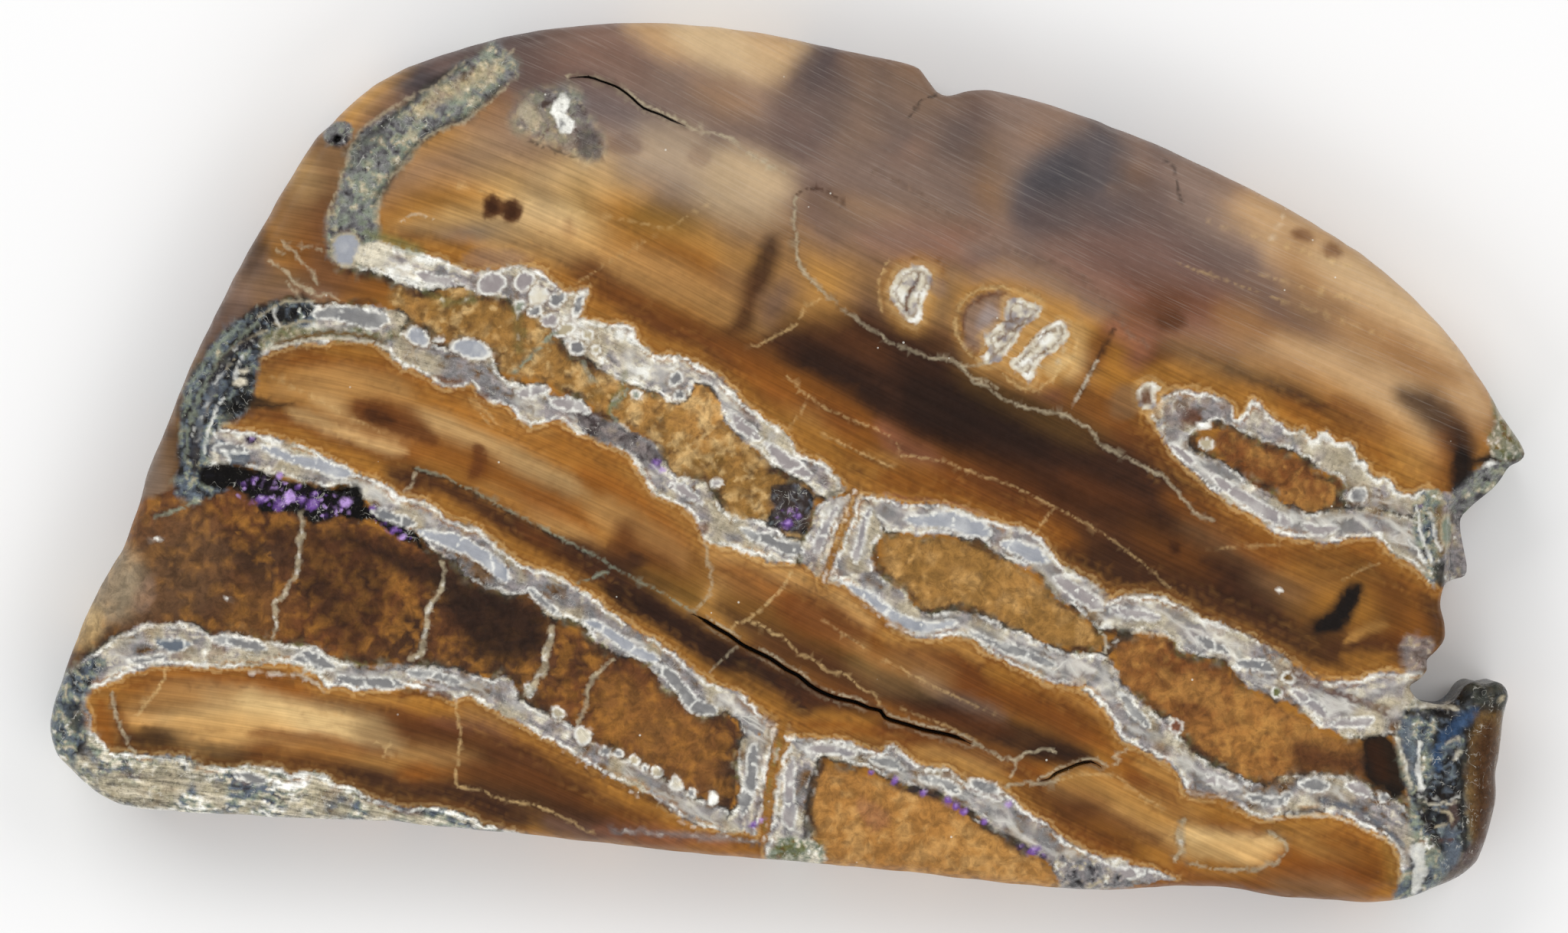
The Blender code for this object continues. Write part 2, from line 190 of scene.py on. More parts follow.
# dentine: soft strokes along the growth of the tooth, each with its width, softness, strength and path
dentineStrokes = [
    # the rim of the upper left
    ("clay", 9, 3, 1, [-21, 19, -25, 14, -28, 9, -31, 4, -33, -1]),
    ("mauve", 3.4, 2, .8, [-30.6, 6.5, -29, 8.8, -27.5, 9.8]),
    ("honey", 2.2, 1.4, .7, [-25.4, 15.6, -26, 14, -26.6, 12.4]),
    ("gold", 2.2, 1.4, .7, [-27, 12, -26, 11, -25.6, 12.6]),
    ("rust", 2.6, 2, .6, [-24.5, 14.4, -24.8, 12.2, -24.6, 10.6, -23, 9.7, -21, 9.5, -19.5, 9.3]),
    ("clay", 2.4, 1.6, .8, [-28, 9.6, -26.6, 8.9, -25.6, 9]),
    ("honey", 2.4, 1.5, .8, [-23.6, 17.9, -22, 18.7, -20.6, 19.8]),
    ("tan", 1.2, 1, .6, [-23, 18.4, -21, 19.8, -19.4, 20.6]),
    ("mauve", 1.8, 1.4, .7, [-22, 17.2, -20.4, 18.6, -18.6, 20]),
    ("slate", 2.6, 1.6, .9, [-19.6, 19.7, -17.4, 21, -15.4, 22, -13.6, 22.3, -12.4, 22]),
    ("mauve", 2.2, 1.8, .6, [-18.4, 21, -16.4, 21.8]),
    # the arched top, purple-brown with part of its satin sheen painted in, and a gold patch at the crown
    ("mauve", 7, 3, 1, [-14, 20.4, -10, 20.8, -6, 19.6, -2, 18, 3, 18.4, 8, 17.6]),
    ("taupe", 4.5, 3, .8, [-11, 21.6, -8, 21.4, -4, 19.4, 0, 18.2]),
    ("rose", 3, 3, .35, [-12, 20.6, -9.6, 21.6, -8, 20.8]),
    ("tan", 3.2, 1.6, .95, [-7.6, 23, -4.4, 22, -1.6, 21.2, .8, 20.8]),
    ("straw", 2.4, 1.6, .9, [-5.6, 22.6, -3, 21.6, -1, 21, 1, 21.4]),
    ("tan", 3, 2, .85, [-1.4, 22.4, -.6, 20.6, .2, 19.2]),
    ("taupe", 2.6, 2, .7, [-6, 20.4, -3.4, 19.6, -.6, 18.4, .4, 16.8]),
    ("honey", 2, 2, .4, [-4.4, 19.4, -2, 18.6]),
    ("mauve", 3.2, 1.8, .9, [2, 21.4, 1.2, 19.6, .8, 17.8, 2.4, 16.6]),
    ("slate", 1.6, 1.6, .55, [2.4, 21.6, 1.6, 20.4, 1, 19]),
    ("clay", 3, 2, .7, [3.8, 20.6, 4.4, 19.2, 3.8, 17.6, 3, 16]),
    ("slate", 2.2, 1.8, .6, [5.2, 20, 5.8, 18.4, 6.6, 17.4, 6, 16.9]),
    ("slate", 2, 1.8, .45, [2.9, 19.8, 2.7, 18.2, 2, 17.4]),
    ("clay", 2, 1.4, .6, [5.8, 20.6, 6.8, 19.6, 7.6, 19, 6.8, 18.2]),
    ("honey", 1.4, 1.2, .5, [7.8, 17.1, 7, 16.2, 6.7, 15.6]),
    ("rose", 1.8, 1.4, .5, [7.3, 16.8, 6.6, 15.8, 5.6, 15.4]),
    ("slate", 3.8, 2.4, .75, [11, 18.6, 9.8, 17.6, 9, 16.2, 8.4, 14.8, 8.8, 13.6]),
    ("mauve", 2.6, 2, .7, [8.6, 18.8, 10.2, 19, 12, 18.4]),
    ("taupe", 2.6, 1.6, .85, [11, 19.2, 13.2, 18.4, 15, 17.8, 17.6, 17, 20, 16.2]),
    ("taupe", 3, 2, .85, [11.2, 17.6, 12, 16, 12.6, 14.6, 11.6, 13]),
    ("clay", 3, 2.4, .6, [10.6, 16, 11, 14.2, 10.2, 12.6]),
    ("slate", 5.4, 2.2, .9, [16.4, 16.6, 15.2, 15, 14.8, 13.6, 16.6, 12.6]),
    ("slate", 3.4, 1.8, .9, [14.4, 15.4, 13.4, 14, 12.8, 12.6, 12.5, 11.8]),
    ("ink", 2.4, 2, .6, [14.9, 15.6, 14, 14.2, 13.4, 13]),
    ("ink", 1.6, 1.6, .4, [15.5, 15, 15.8, 13.4]),
    ("slate", 4, 3, .75, [17.4, 14.8, 18.6, 13, 18.8, 11.6, 20, 12]),
    ("mauve", 4, 2.4, .85, [19.6, 16, 20.4, 14, 21.4, 12.2, 23.4, 11]),
    ("taupe", 4.4, 2.6, .9, [20.8, 15.4, 22.4, 13.6, 24.4, 11.8, 26, 10]),
    ("mauve", 2.4, 2, .7, [20.6, 11, 21.8, 9.8, 24, 8.8, 26, 8.2, 28.4, 7, 29.4, 6.6]),
    ("rose", 2, 1.8, .4, [24, 13.8, 26, 12.4]),
    # the gold of the right shoulder
    ("tan", 3.4, 2, .95, [24.4, 13.4, 27, 11.4, 29.6, 9.4, 32.4, 7, 35, 4.6, 36.2, 3]),
    ("honey", 3, 2, .9, [26.4, 10.6, 28, 9, 30.4, 7, 32, 5.4, 33.4, 4]),
    ("straw", 2, 1.8, .75, [28, 10.6, 31, 9, 33.6, 7.2]),
    ("honey", 2, 1.6, .6, [31, 7.6, 33, 5.8, 35, 4.4]),
    ("straw", 2, 1.8, .6, [29.6, 4, 31.6, 3.6, 33.4, 2.6]),
    ("straw", 1.4, 1.6, .5, [31, 8.6, 33.8, 6.8, 35, 5.6]),
    ("gold", 1.6, 1.4, .5, [30.6, 6.8, 31.8, 6.4, 32.6, 6.2]),
    ("gold", 1.6, 1.4, .5, [31.6, 5.8, 33, 5.3, 34.6, 4.6]),
    ("clay", 1.6, 1.6, .5, [26.6, 9.2, 27, 8.2, 29, 8]),
    ("tan", 2.6, 1.8, .9, [27, 5.4, 29.4, 4.6, 31.4, 3.2, 33, 1.6, 34, -.2]),
    ("tan", 1.8, 1.6, .7, [24.6, 6.2, 26.6, 5.6, 28.6, 5.4]),
    ("clay", 1.2, 1.2, .6, [24.4, 6.4, 25, 5.8]),
    ("gold", 2.2, 1.6, .8, [32, 1.4, 32.6, 0, 32.6, -1]),
    ("honey", 1.6, 1.4, .6, [30, 2.8, 31.6, 1.4, 33, -.2, 33.8, -1.4]),
    ("umber", 1.7, 1.3, .85, [32.2, 3.6, 33.4, 3, 34.4, 2, 35.2, .8, 35.1, -.4]),
    ("coffee", 1.6, 1.2, .85, [34.8, 1.4, 35.2, .2, 34.9, -1, 34.4, -2]),
    ("amber", 1.6, 1.4, .6, [34.2, 1.2, 34.2, -.4, 33.9, -1.8]),
    ("clay", 2, 1.2, .9, [37.4, 2, 37.9, 1, 38, .5]),
    ("char", 1, .7, .85, [36.4, .1, 37.4, .3, 38.3, .5]),
    # rust above the island chain
    ("rose", 4, 2.4, .85, [16, 11.2, 18.6, 10, 20.6, 9.2, 22, 8.4]),
    ("chestnut", 2.4, 2, .8, [19.2, 8.2, 20, 7.6, 20.6, 7]),
    ("rust", 3.2, 2, .75, [17.4, 10, 19, 8.6, 21.4, 7.8, 22.6, 7.2]),
    ("rose", 2.6, 1.8, .8, [19.4, 6.6, 21.6, 6.4, 23.4, 5.8]),
    ("rust", 1.8, 1.4, .8, [19.6, 6, 22.4, 5.4, 25, 4.8, 27.6, 3.6]),
    ("gold", 2.2, 1.6, .7, [22.8, 7.8, 24.2, 7.2, 24.8, 6.8]),
    ("amber", 1, 1, .5, [24, 6.8, 25, 6.7]),
    ("chestnut", 1.6, 1.2, .85, [18.4, 5.6, 20.4, 5.4, 22.6, 4.8, 25.4, 4, 27.6, 3]),
    ("umber", 1.4, 1.2, .75, [22.2, 4.9, 24.4, 4.4, 26.4, 3.6, 28, 2.8]),
    ("umber", 1.6, 1.4, .6, [27, 2.9, 28.8, 2.2, 29.8, 1.6]),
    ("gold", 1.3, 1, .8, [19, 4.8, 21, 4.6, 23.4, 3.8, 25.6, 2.8, 28, 1.8]),
    ("amber", 1.2, 1, .6, [26, 3, 28.4, 1.6, 30.2, .8, 31.2, .2]),
    ("gold", 1.2, 1, .7, [24, 5.4, 26.6, 4.6, 29, 3.4, 31, 2, 32, .6]),
    ("rust", 1, 1, .6, [28.4, 3.2, 30, 2.4, 31, 1.4]),
    # the middle: the ground under the vein and the islands
    ("mauve", 5, 3, .9, [1.4, 15, 4, 13.6, 7, 13, 9.4, 12]),
    ("slate", 2.6, 2.2, .5, [4, 15.2, 6, 14, 8.4, 13.2]),
    ("taupe", 2, 1.6, .6, [.8, 15.2, 2.8, 15.4, 5, 14.4, 7, 13.4, 9, 12.2, 11.6, 11.6]),
    ("mauve", 4, 2.4, .9, [1.2, 12.6, 1.8, 11, 2.6, 9.6, 4.2, 8.2]),
    ("slate", 2, 1.8, .55, [1.2, 11.4, 1.8, 10.2, 2.8, 9]),
    ("clay", 3, 2, .8, [2.6, 13.6, 4.4, 12.4, 7, 12.4, 9.4, 11.6]),
    ("honey", 1.2, 1.2, .4, [3.4, 13.6, 4.6, 13, 6.4, 12.6]),
    ("rose", 2.6, 2, .7, [4.4, 11.6, 7.4, 11.4, 10.4, 10.8, 13, 10.2]),
    ("clay", 3.4, 2, .8, [3.6, 10.4, 5, 9.4, 5.4, 8]),
    ("taupe", 2.2, 1.6, .8, [9.6, 11.2, 12, 11, 14, 10.4, 16, 9.2, 17, 8]),
    ("mauve", 1.4, 1.2, .6, [8.8, 10, 11, 10.4, 13.4, 9.8, 15.4, 8.6]),
    ("rose", 2.4, 1.8, .6, [14, 11.2, 16, 10.2, 18, 8.6]),
    ("tan", 2.2, 1.4, .8, [6.8, 8.4, 8.4, 9, 8.2, 7.4, 7.2, 7]),
    ("clay", 2.6, 2, .8, [8.4, 10, 9, 8.4, 8.6, 6.8, 9.6, 5.6]),
    ("honey", 2.4, 1.6, .8, [9.6, 9, 11.4, 9.2, 13.4, 8.6, 15, 7.4]),
    ("taupe", 1, .9, .6, [9.8, 9.6, 12, 9.8, 14.4, 8.9, 16.2, 7.6]),
    ("honey", 3.4, 1.6, .9, [14.6, 7.6, 15.2, 6, 14.4, 4.6, 12.6, 4.2]),
    ("straw", 1.6, 1.2, .7, [15, 6.8, 15.4, 5.6, 14.8, 4.6]),
    ("gold", 1.8, 1.2, .8, [16, 6.2, 17, 5.2, 16.8, 4.6]),
    ("rust", 1.2, 1, .7, [16.9, 7.2, 16.4, 6, 15.6, 4.6]),
    ("rose", 2, 1.4, .8, [17.2, 7.2, 18.4, 6.4, 18.2, 5.4]),
    ("rust", 2, 1.4, .7, [13.6, 3.8, 15.4, 3.2, 17, 2.6, 18.8, 1.6, 20, .4]),
    ("rose", 1.4, 1.2, .7, [10, 5.2, 12, 4, 14, 3.4]),
    ("slate", 1.2, 1, .5, [8.8, 5.6, 10, 4.8, 10.8, 4.3]),
    ("chestnut", 1.6, 1.2, .7, [5.4, 6.6, 7.4, 6.6, 9, 6.2]),
    ("rust", 1.6, 1.2, .7, [17.4, 1.6, 19, .2, 20.6, -1]),
    # below the vein: the darkest dentine
    ("umber", 5.6, 2, 1, [-.6, 7, 2.4, 6, 5.6, 4.4, 9, 2.6, 12.6, .8, 16.6, -1.4, 20, -3.4, 24, -6]),
    ("chestnut", 2, 1.4, .7, [.6, 7.6, 3, 6.8, 5, 5.6]),
    ("coffee", 2, 1.8, .7, [0, 5.4, 2, 4.9, 4.2, 3.6]),
    ("coffee", 4.6, 2, .85, [6.8, 3.6, 8.8, 2.4, 11.4, 1, 12.6, .4]),
    ("coffee", 2.6, 1.6, .6, [9.6, 3.2, 12.4, 1.8, 15.4, .6]),
    ("chestnut", 2, 1.6, .6, [1.2, 3.2, 3.4, 2.4, 5.4, 1.8]),
    ("rust", 1.4, 1.2, .6, [3, 2, 5.4, 1.2, 7, .6]),
    ("olive", 1.4, 1.4, .3, [9, 5, 11, 3.6, 13, 2.6, 16, 1]),
    ("umber", 3, 2, .6, [14.4, 0, 17, -1.2, 19.4, -2.6]),
    ("rust", 1.3, 1.2, .5, [14.6, -.8, 17, -2, 18.6, -2.4]),
    ("coffee", 1.6, 1.4, .6, [16.6, -2.6, 18.6, -3.4, 19.6, -3.9]),
    ("chestnut", 3, 1.6, .85, [13, -2.8, 16, -4, 19, -5.2, 22, -6.4, 25, -8]),
    ("umber", 2.6, 1.6, .7, [15, -4.6, 18, -6, 21, -7.2, 24, -8.6, 27, -10]),
    ("rust", 2.2, 1.6, .6, [21, -4.4, 24, -5.2, 27, -6.4]),
    ("clay", 2, 1.6, .5, [21, -3.4, 23.4, -4.4, 26, -5.6, 28.6, -5.8]),
    ("amber", 1.6, 1.2, .6, [20, -1.8, 22.4, -2.9, 24.4, -4]),
    ("amber", 2, 1.4, .8, [24, -4.2, 27, -4.8, 30, -4.8, 32.4, -5.4, 33.6, -6.6]),
    ("gold", 1.6, 1.4, .7, [26, -5.7, 28.6, -5.6, 30.4, -6, 31.4, -7.2]),
    ("umber", 1.2, 1, .8, [21.6, -5, 23, -5.6, 24.4, -6.2]),
    ("clay", 2.2, 1.6, .6, [24.6, -6.4, 26.6, -7.2]),
    ("amber", 3, 1.8, .8, [31.4, -6.4, 32.4, -7.6, 32.8, -9, 31.6, -9.8]),
    ("rust", 2, 1.4, .8, [28.4, -9.8, 30.4, -9.6, 32, -9.4]),
    ("umber", 2, 1.4, .8, [25.6, -8.6, 28, -9.6, 30, -10, 32, -10.4]),
    ("gold", .9, .7, .8, [29.2, -10.2, 30.6, -10.3, 31.4, -10.1]),
    ("gold", .8, .6, .9, [29.2, -11.2, 30.6, -11, 32.2, -10.7]),
    ("honey", .5, .4, .9, [29.2, -9.3, 30, -8.9, 30.6, -8.6, 31.3, -8.5]),
    ("umber", 1.2, 1, .8, [33.4, -7, 33.9, -8.2, 34.1, -9.4]),
    ("gold", 1.4, 1, .8, [31.2, -4.6, 32.6, -5.2, 33.6, -6.2]),
    # amber between the enamel and the dark dentine, upper right loop
    ("gold", 1.6, 1, .9, [-.6, 2.4, 1.6, 1.2, 3.4, .2, 5, -.6]),
    ("honey", 1, .8, .7, [.4, 2.6, 2, 2.2, 3.6, 1.4, 4.6, .4]),
    ("amber", 2.2, 1.4, .9, [2.6, 2.2, 4.6, 1, 7, 0, 10, -.9, 13, -2.2]),
    ("rose", 1.4, 1, .7, [5, 1.8, 6, .8, 8, -.2]),
    ("honey", .9, .8, .6, [4.4, .4, 6.4, -.4, 8, -.6]),
    ("amber", 1.8, 1.2, .9, [5, -.9, 8, -1.2, 11, -2, 13.4, -3.2, 15, -4.6]),
    ("rust", 1.6, 1.2, .6, [8, -.4, 11, -1.4, 13.6, -2.6]),
    ("amber", .8, .6, .8, [12.4, -2.9, 14.4, -4.2, 15, -5]),
    ("umber", 1.2, 1, .8, [14, -4.6, 15.6, -5.4, 17.4, -6.2, 19.4, -6.6, 21.4, -7.4]),
    ("umber", 1.4, 1.2, .7, [17, -4.4, 20, -5.4, 23, -6.6, 26, -8.2]),
    # third loop, the bright upper left core
    ("honey", 6, 3, 1, [-21, 14, -18, 15, -14, 14.4, -10, 13, -6, 11.6, -2, 10.4, 2, 9.4]),
    ("gold", 3, 2, .7, [-21.6, 13, -19, 13.6, -17, 13.4]),
    ("honey", 2.4, 2, .7, [-20.4, 15.4, -18, 16.4, -16.4, 17]),
    ("straw", 3.6, 2.2, .85, [-15.4, 16, -13, 15, -11, 13.4, -10, 12.2]),
    ("straw", 2.4, 1.8, .8, [-13.6, 13.4, -12.4, 12.4, -10.4, 11.6]),
    ("tan", 3.2, 2, .8, [-16.4, 16.2, -12, 15.2, -8.4, 14.8]),
    ("tan", 2, 1.4, .8, [-17.4, 12.8, -14.4, 12.6, -12, 12, -9, 10.8, -6, 9.2]),
    ("clay", 2, 2, .5, [-13.6, 15.4, -12.6, 14]),
    ("gold", 3, 2, .7, [-9.6, 13.2, -8, 12, -6.4, 10.6, -4.6, 10.2]),
    ("amber", 2.2, 1.6, .6, [-7.4, 11, -5, 10.2, -3.6, 9.6]),
    ("olive", 2.8, 1.6, .8, [-7.4, 12.9, -5.6, 13.3, -3.8, 13.4]),
    ("chestnut", 1.6, 1.2, .5, [-6.4, 14, -4.8, 13.8, -3.6, 13.5]),
    ("olive", 1.6, 1.4, .5, [-11, 14.6, -10.4, 13.4]),
    ("amber", .8, .6, .7, [-11.4, 12.6, -11.4, 11.8]),
    ("taupe", 3, 2, .7, [-8, 15.4, -5, 15.2, -2, 14.8, 0, 14]),
    ("clay", 3.4, 2, .8, [-3.4, 14.4, -2, 12.6, -.6, 12, .2, 10.6]),
    ("tan", 1.8, 1.4, .7, [-9, 10.6, -6, 9.6, -3, 7.9, -1.4, 7.2]),
    ("clay", 3, 2, .7, [-3, 9.6, -1, 8.8, .4, 9]),
    ("umber", 1.2, .9, .85, [-.7, 11.6, -1.2, 10.2, -1.8, 8.8]),
    ("coffee", 1.2, .9, .85, [-2.1, 8.2, -2.4, 7.2, -2.9, 6.9]),
    ("chestnut", 1.8, 1.2, .5, [-1.8, 9.6, -2, 8.4]),
    ("mauve", 1.8, 1.4, .6, [-.2, 9, -1, 7.6]),
    # the dark seam that follows the third loop, and its warm edge
    ("chestnut", 1.5, 1, .8, [-20, 11.9, -17.4, 11.8, -15, 11.6, -12.6, 10.9, -10.4, 10, -8.6, 8.7,
        -6.4, 7.4, -4, 6.4, -1, 5]),
    ("mauve", 1, .8, .6, [-18, 11.9, -15.4, 11.6, -13.4, 11]),
    ("amber", 2, 1.2, .8, [-9.4, 8.6, -7.4, 7.4, -5, 6, -2.6, 4.8, 0, 4]),
    ("chestnut", 1.6, 1, .85, [-9.2, 8.2, -7.4, 7.2, -5.6, 6.2, -3.4, 5.2]),
    ("amber", 1.4, 1, .8, [-2, 5, 0, 4.2, 2, 3.6, 4, 2.6]),
    ("gold", 1.2, .8, .85, [-19.6, 11.2, -17.4, 11, -15, 11, -13, 10.4, -11.4, 9.6]),
    ("gold", 1.3, .8, .85, [-10.2, 8.2, -8.8, 7.4, -7, 6.2, -5, 5.4, -3.4, 4.2, -1.6, 3, 0, 1.8]),
    ("rust", 1.2, 1, .6, [-1.4, 3.6, .6, 3, 2.4, 2.4, 3.6, 2]),
    # second loop
    ("honey", 4.6, 2, 1, [-27.6, 4, -24, 3.8, -20, 2.6, -16, .8, -12, -1, -8.4, -3, -5, -5.4, -1, -7,
        3, -8.8]),
    ("chestnut", 1.4, 1, .8, [-28.2, 5.2, -26.4, 5.7, -24, 5.6, -22, 5.4, -20.6, 5]),
    ("amber", 1.4, 1, .8, [-25.6, 5.4, -22.4, 5.5, -20.4, 5, -17.6, 3.6, -14.4, 2.6, -11.6, 1.2, -9, 0]),
    ("gold", 1.2, .8, .8, [-24.4, 6.1, -22, 5.9, -20.6, 5.8]),
    ("tan", 1.6, 1.2, .85, [-26.6, 3.8, -24, 4.2, -21.6, 4, -19.6, 3.4]),
    ("straw", 1.2, 1, .7, [-24.6, 3.3, -22.6, 2.4, -20.6, 1.6, -19.4, 1.2]),
    ("gold", 2, 1.4, .8, [-19, 3.6, -16.4, 2.4, -13, 1.2, -10, -.4, -8, -1.6]),
    ("honey", 1, .8, .7, [-16.6, 3.2, -14.4, 2.2, -12.4, 1.6]),
    ("straw", 1.3, .9, .9, [-20, 2.6, -18, 1.8, -16, 1, -14, 0, -12, -1, -10.4, -1.8]),
    ("amber", 1.6, 1, .8, [-10.6, -.6, -8.6, -1.8, -7, -3, -5.6, -4.2]),
    ("tan", 1.5, 1, .9, [-10.6, -2, -8.6, -3, -6.6, -4.2, -5.2, -5.4, -3.6, -6.2, -1.6, -7.2, 0, -7.8]),
    ("amber", 1.6, 1.2, .85, [-20, 1.1, -18, .6, -16, -.2, -14, -1.4, -12, -2.4, -10.4, -3.4]),
    ("tan", 1, .9, .8, [-16.4, -1.2, -14, -2.2, -12, -3.2, -10, -4.4]),
    ("gold", 1, .8, .7, [-19.6, -.3, -18, -.6, -16, -1.4, -13.6, -2.6]),
    ("rust", 1.4, 1, .85, [-28.6, 2.2, -26, 2.2, -23.6, 1.6, -21.4, .9, -19.6, .2]),
    ("straw", .7, .6, .8, [-26, 2.7, -23.8, 1.9, -22, 1.2, -20, .6]),
    ("gold", .8, .6, .8, [-29, 2.1, -27, 1.8, -25, 1.2, -22.6, .2, -20.4, -.9]),
    ("russet", 1.8, 1, .9, [-22.6, 2.8, -21.4, 2.6, -20, 2.3, -19.2, 1.9]),
    ("bark", 1.1, .8, .8, [-21.6, 3, -21, 2.4, -20.6, 2.2]),
    ("russet", 1, .8, .8, [-16.2, .6, -16, -.2, -16.4, -.8]),
    ("rust", 1.6, 1.4, .5, [-13.6, -1.8, -12, -2.6]),
    # the dark band between the second loop's core and its lower enamel
    ("umber", 1.8, .9, 1, [-20.6, -.6, -18, -1.7, -15, -3.2, -12, -4.8, -9.4, -6.2, -7, -7.8, -4.4, -9.4,
        -1.6, -11, 1.4, -12.6, 5, -14, 9, -15.2]),
    ("rust", 1, .8, .8, [-20, -1.4, -17, -2.8, -14.4, -4.2, -12, -5.4]),
    ("rust", .8, .8, .6, [-14, -3.4, -11.6, -4.8, -9.4, -6]),
    ("coffee", 1.2, 1, .6, [-9.6, -6.4, -7, -8, -4, -9.6, -1.6, -11.2]),
    ("gold", 1, .7, .9, [-19, -1.7, -17, -2.8, -14.6, -4.3, -12.6, -5.3, -10.6, -6.5, -9.4, -7.4]),
    ("gold", 1, .7, .8, [-8.4, -8.1, -6.6, -9.4, -4.8, -10.6, -3.4, -11.4]),
    ("gold", 1.3, .7, .9, [-3.8, -11.3, -2.4, -11.6, -1, -12.4, -.1, -13.4, .4, -14.4]),
    ("umber", 1.8, 1.2, .9, [-8.4, -3.6, -8.2, -4.8, -6.8, -5.6, -5.4, -6.6]),
    ("coffee", 1, .9, .6, [-8.3, -4, -8.5, -5, -6, -6, -5.2, -6.8]),
    ("olive", 1.6, 1.2, .8, [-7.4, -5.6, -5.8, -6.4, -4.8, -7.2]),
    ("olive", 1.4, 1, .8, [-4.6, -4.6, -4.6, -6, -5, -7]),
    ("chestnut", 1.5, 1, .8, [-11.4, -4.3, -9.4, -5, -9, -4.2]),
    ("umber", 2, 1.2, .9, [-3.2, -7.4, -1.4, -8.2, .6, -9, 2.6, -10, 4.6, -11.2, 7, -12, 9.6, -13]),
    ("olive", 1.2, 1, .6, [-3.4, -6.8, -1.6, -7.6, .4, -8.4, 2.6, -9.4, 4.4, -10.6]),
    ("rust", 1.6, 1, .7, [0, -7.6, 2.4, -8.4, 5, -9.8, 8, -11.2, 11, -12.6]),
    ("chestnut", 1.6, 1.2, .85, [-1.6, -9.4, .6, -10.2, 3, -11.4, 4.6, -12.2]),
    # right of the upright enamel wall
    ("amber", 2.6, 1.4, .95, [-1, -5.6, 1, -6.4, 3, -7.6, 5.6, -9.4, 8, -10.2, 11, -11.2, 14, -12.4,
        16.4, -13.8]),
    ("tan", 1.5, 1, .85, [-4, -4.6, -2.4, -5, -.6, -5.8, 1.4, -6.4, 3, -7.4, 4.4, -8.4]),
    ("rust", 1.6, 1, .7, [-3.4, -5.6, -1.4, -6.4, .6, -7.2, 2.6, -8]),
    ("tan", 1, .9, .7, [.6, -7.6, 2.2, -8.4, 4, -9.6]),
    ("honey", .9, .6, .9, [5, -8.9, 7, -9.5, 9, -9.6, 10.2, -10.3]),
    ("rust", 1.8, 1.2, .85, [6, -10, 9, -11, 12, -12.2, 15, -13.4, 16.8, -14.6]),
    ("gold", 1.2, .7, .95, [10.6, -10.9, 13, -11.6, 15, -12.2, 16.2, -13.2, 17, -14, 17.4, -14.8]),
    ("honey", .5, .4, .8, [14.4, -12, 15.8, -12.8, 16.8, -13.8]),
    ("amber", 1.4, 1, .8, [11, -11.8, 13.6, -12.6, 15.6, -13.6, 16.8, -14.8]),
    ("umber", 1.8, 1, .9, [5, -11.6, 8, -12.7, 11, -14, 13.6, -14.9, 15.6, -15.4]),
    ("coffee", 1.6, 1.2, .7, [6.8, -12.2, 9, -13.2, 11.4, -14.2]),
    ("taupe", .7, .8, .5, [6.6, -11, 9, -12.4, 11.4, -13.3]),
    ("coffee", 1, .8, .8, [13, -15, 15, -15.4, 16.4, -16.4, 18, -17]),
    # the lower right loop
    ("gold", 1.3, .9, .95, [.6, -13.8, 3, -13.5, 5.4, -13.9, 7.4, -14.8, 9.6, -15.4, 11.4, -16.4]),
    ("amber", .7, .5, .8, [.4, -13.7, 2.8, -13.9, 5, -14.1, 6.6, -14.8]),
    ("rust", 1.2, .9, .9, [4.8, -13.9, 7, -14.5, 9.4, -15, 11.6, -15.8, 13.4, -16.4]),
    ("honey", 1, .7, .8, [6.6, -15, 8.4, -15.5, 10, -16.1, 11.4, -16.8]),
    ("amber", 5, 1.6, 1, [13.6, -17, 16, -18.2, 19, -19.6, 22, -20.6, 26, -21.4, 30, -21.6]),
    ("gold", 1.3, .9, .9, [12.2, -17, 13.6, -18, 15.6, -18.8, 18, -19.8, 20, -20.8]),
    ("rust", 1, .8, .8, [13.2, -18.3, 15.4, -19.3, 18, -20.2]),
    ("tan", 1.6, 1.2, .9, [14, -16.9, 16.4, -17.6, 19, -18.8, 21.6, -19.6, 24, -19.8]),
    ("rust", 1.1, .9, .7, [14.4, -17.9, 17, -18.7, 19.4, -19.7]),
    ("honey", 1.6, 1, .8, [14, -16.4, 16, -16.8, 18, -17.6, 20, -18.6]),
    ("amber", 1.5, 1, .85, [17.4, -15.4, 19, -16.2, 20.6, -17.4, 21.6, -18.4]),
    ("rust", 1, .8, .8, [18, -16.4, 19.4, -17.2, 20.6, -18.3]),
    ("honey", 1, .7, .8, [18.4, -15.6, 20, -16.4, 21.2, -17.6, 21.8, -18.6]),
    ("straw", 2, 1.2, .9, [21.2, -19.2, 22.4, -20.2, 24, -20, 25.4, -19.8]),
    ("tan", 2, 1.2, .7, [20.8, -20.4, 23, -20.6, 25, -20.3]),
    ("rust", 1, .8, .8, [21.4, -18.5, 23.4, -18.9, 25.4, -19]),
    ("gold", 1, .8, .8, [21.6, -18, 23.4, -18.5, 25, -18.7]),
    ("olive", 1.4, 1.2, .5, [25.4, -18.9, 26.4, -19.2]),
    ("gold", 1.2, .8, .9, [26.4, -18.5, 28.4, -18.6, 30, -19.1, 31.2, -20, 31.7, -21]),
    ("honey", 2, 1.4, .8, [26.8, -19.6, 28.4, -20, 29.6, -20.2]),
    ("amber", 1.6, 1.2, .8, [28, -19.6, 29.6, -19.8, 30.8, -20.6]),
    ("rust", 2, 1.4, .7, [26.4, -21.4, 28.4, -21.6, 30.4, -21.8]),
    ("clay", 1.6, 1.2, .7, [21, -22, 24, -22.1, 27, -22.4, 30, -22.6]),
    ("olive", .9, .7, .8, [31.3, -19.8, 31.8, -20.8, 31.7, -21.8]),
    ("amber", 1.4, 1, .8, [20.4, -21.2, 22.6, -21.8, 25, -22]),
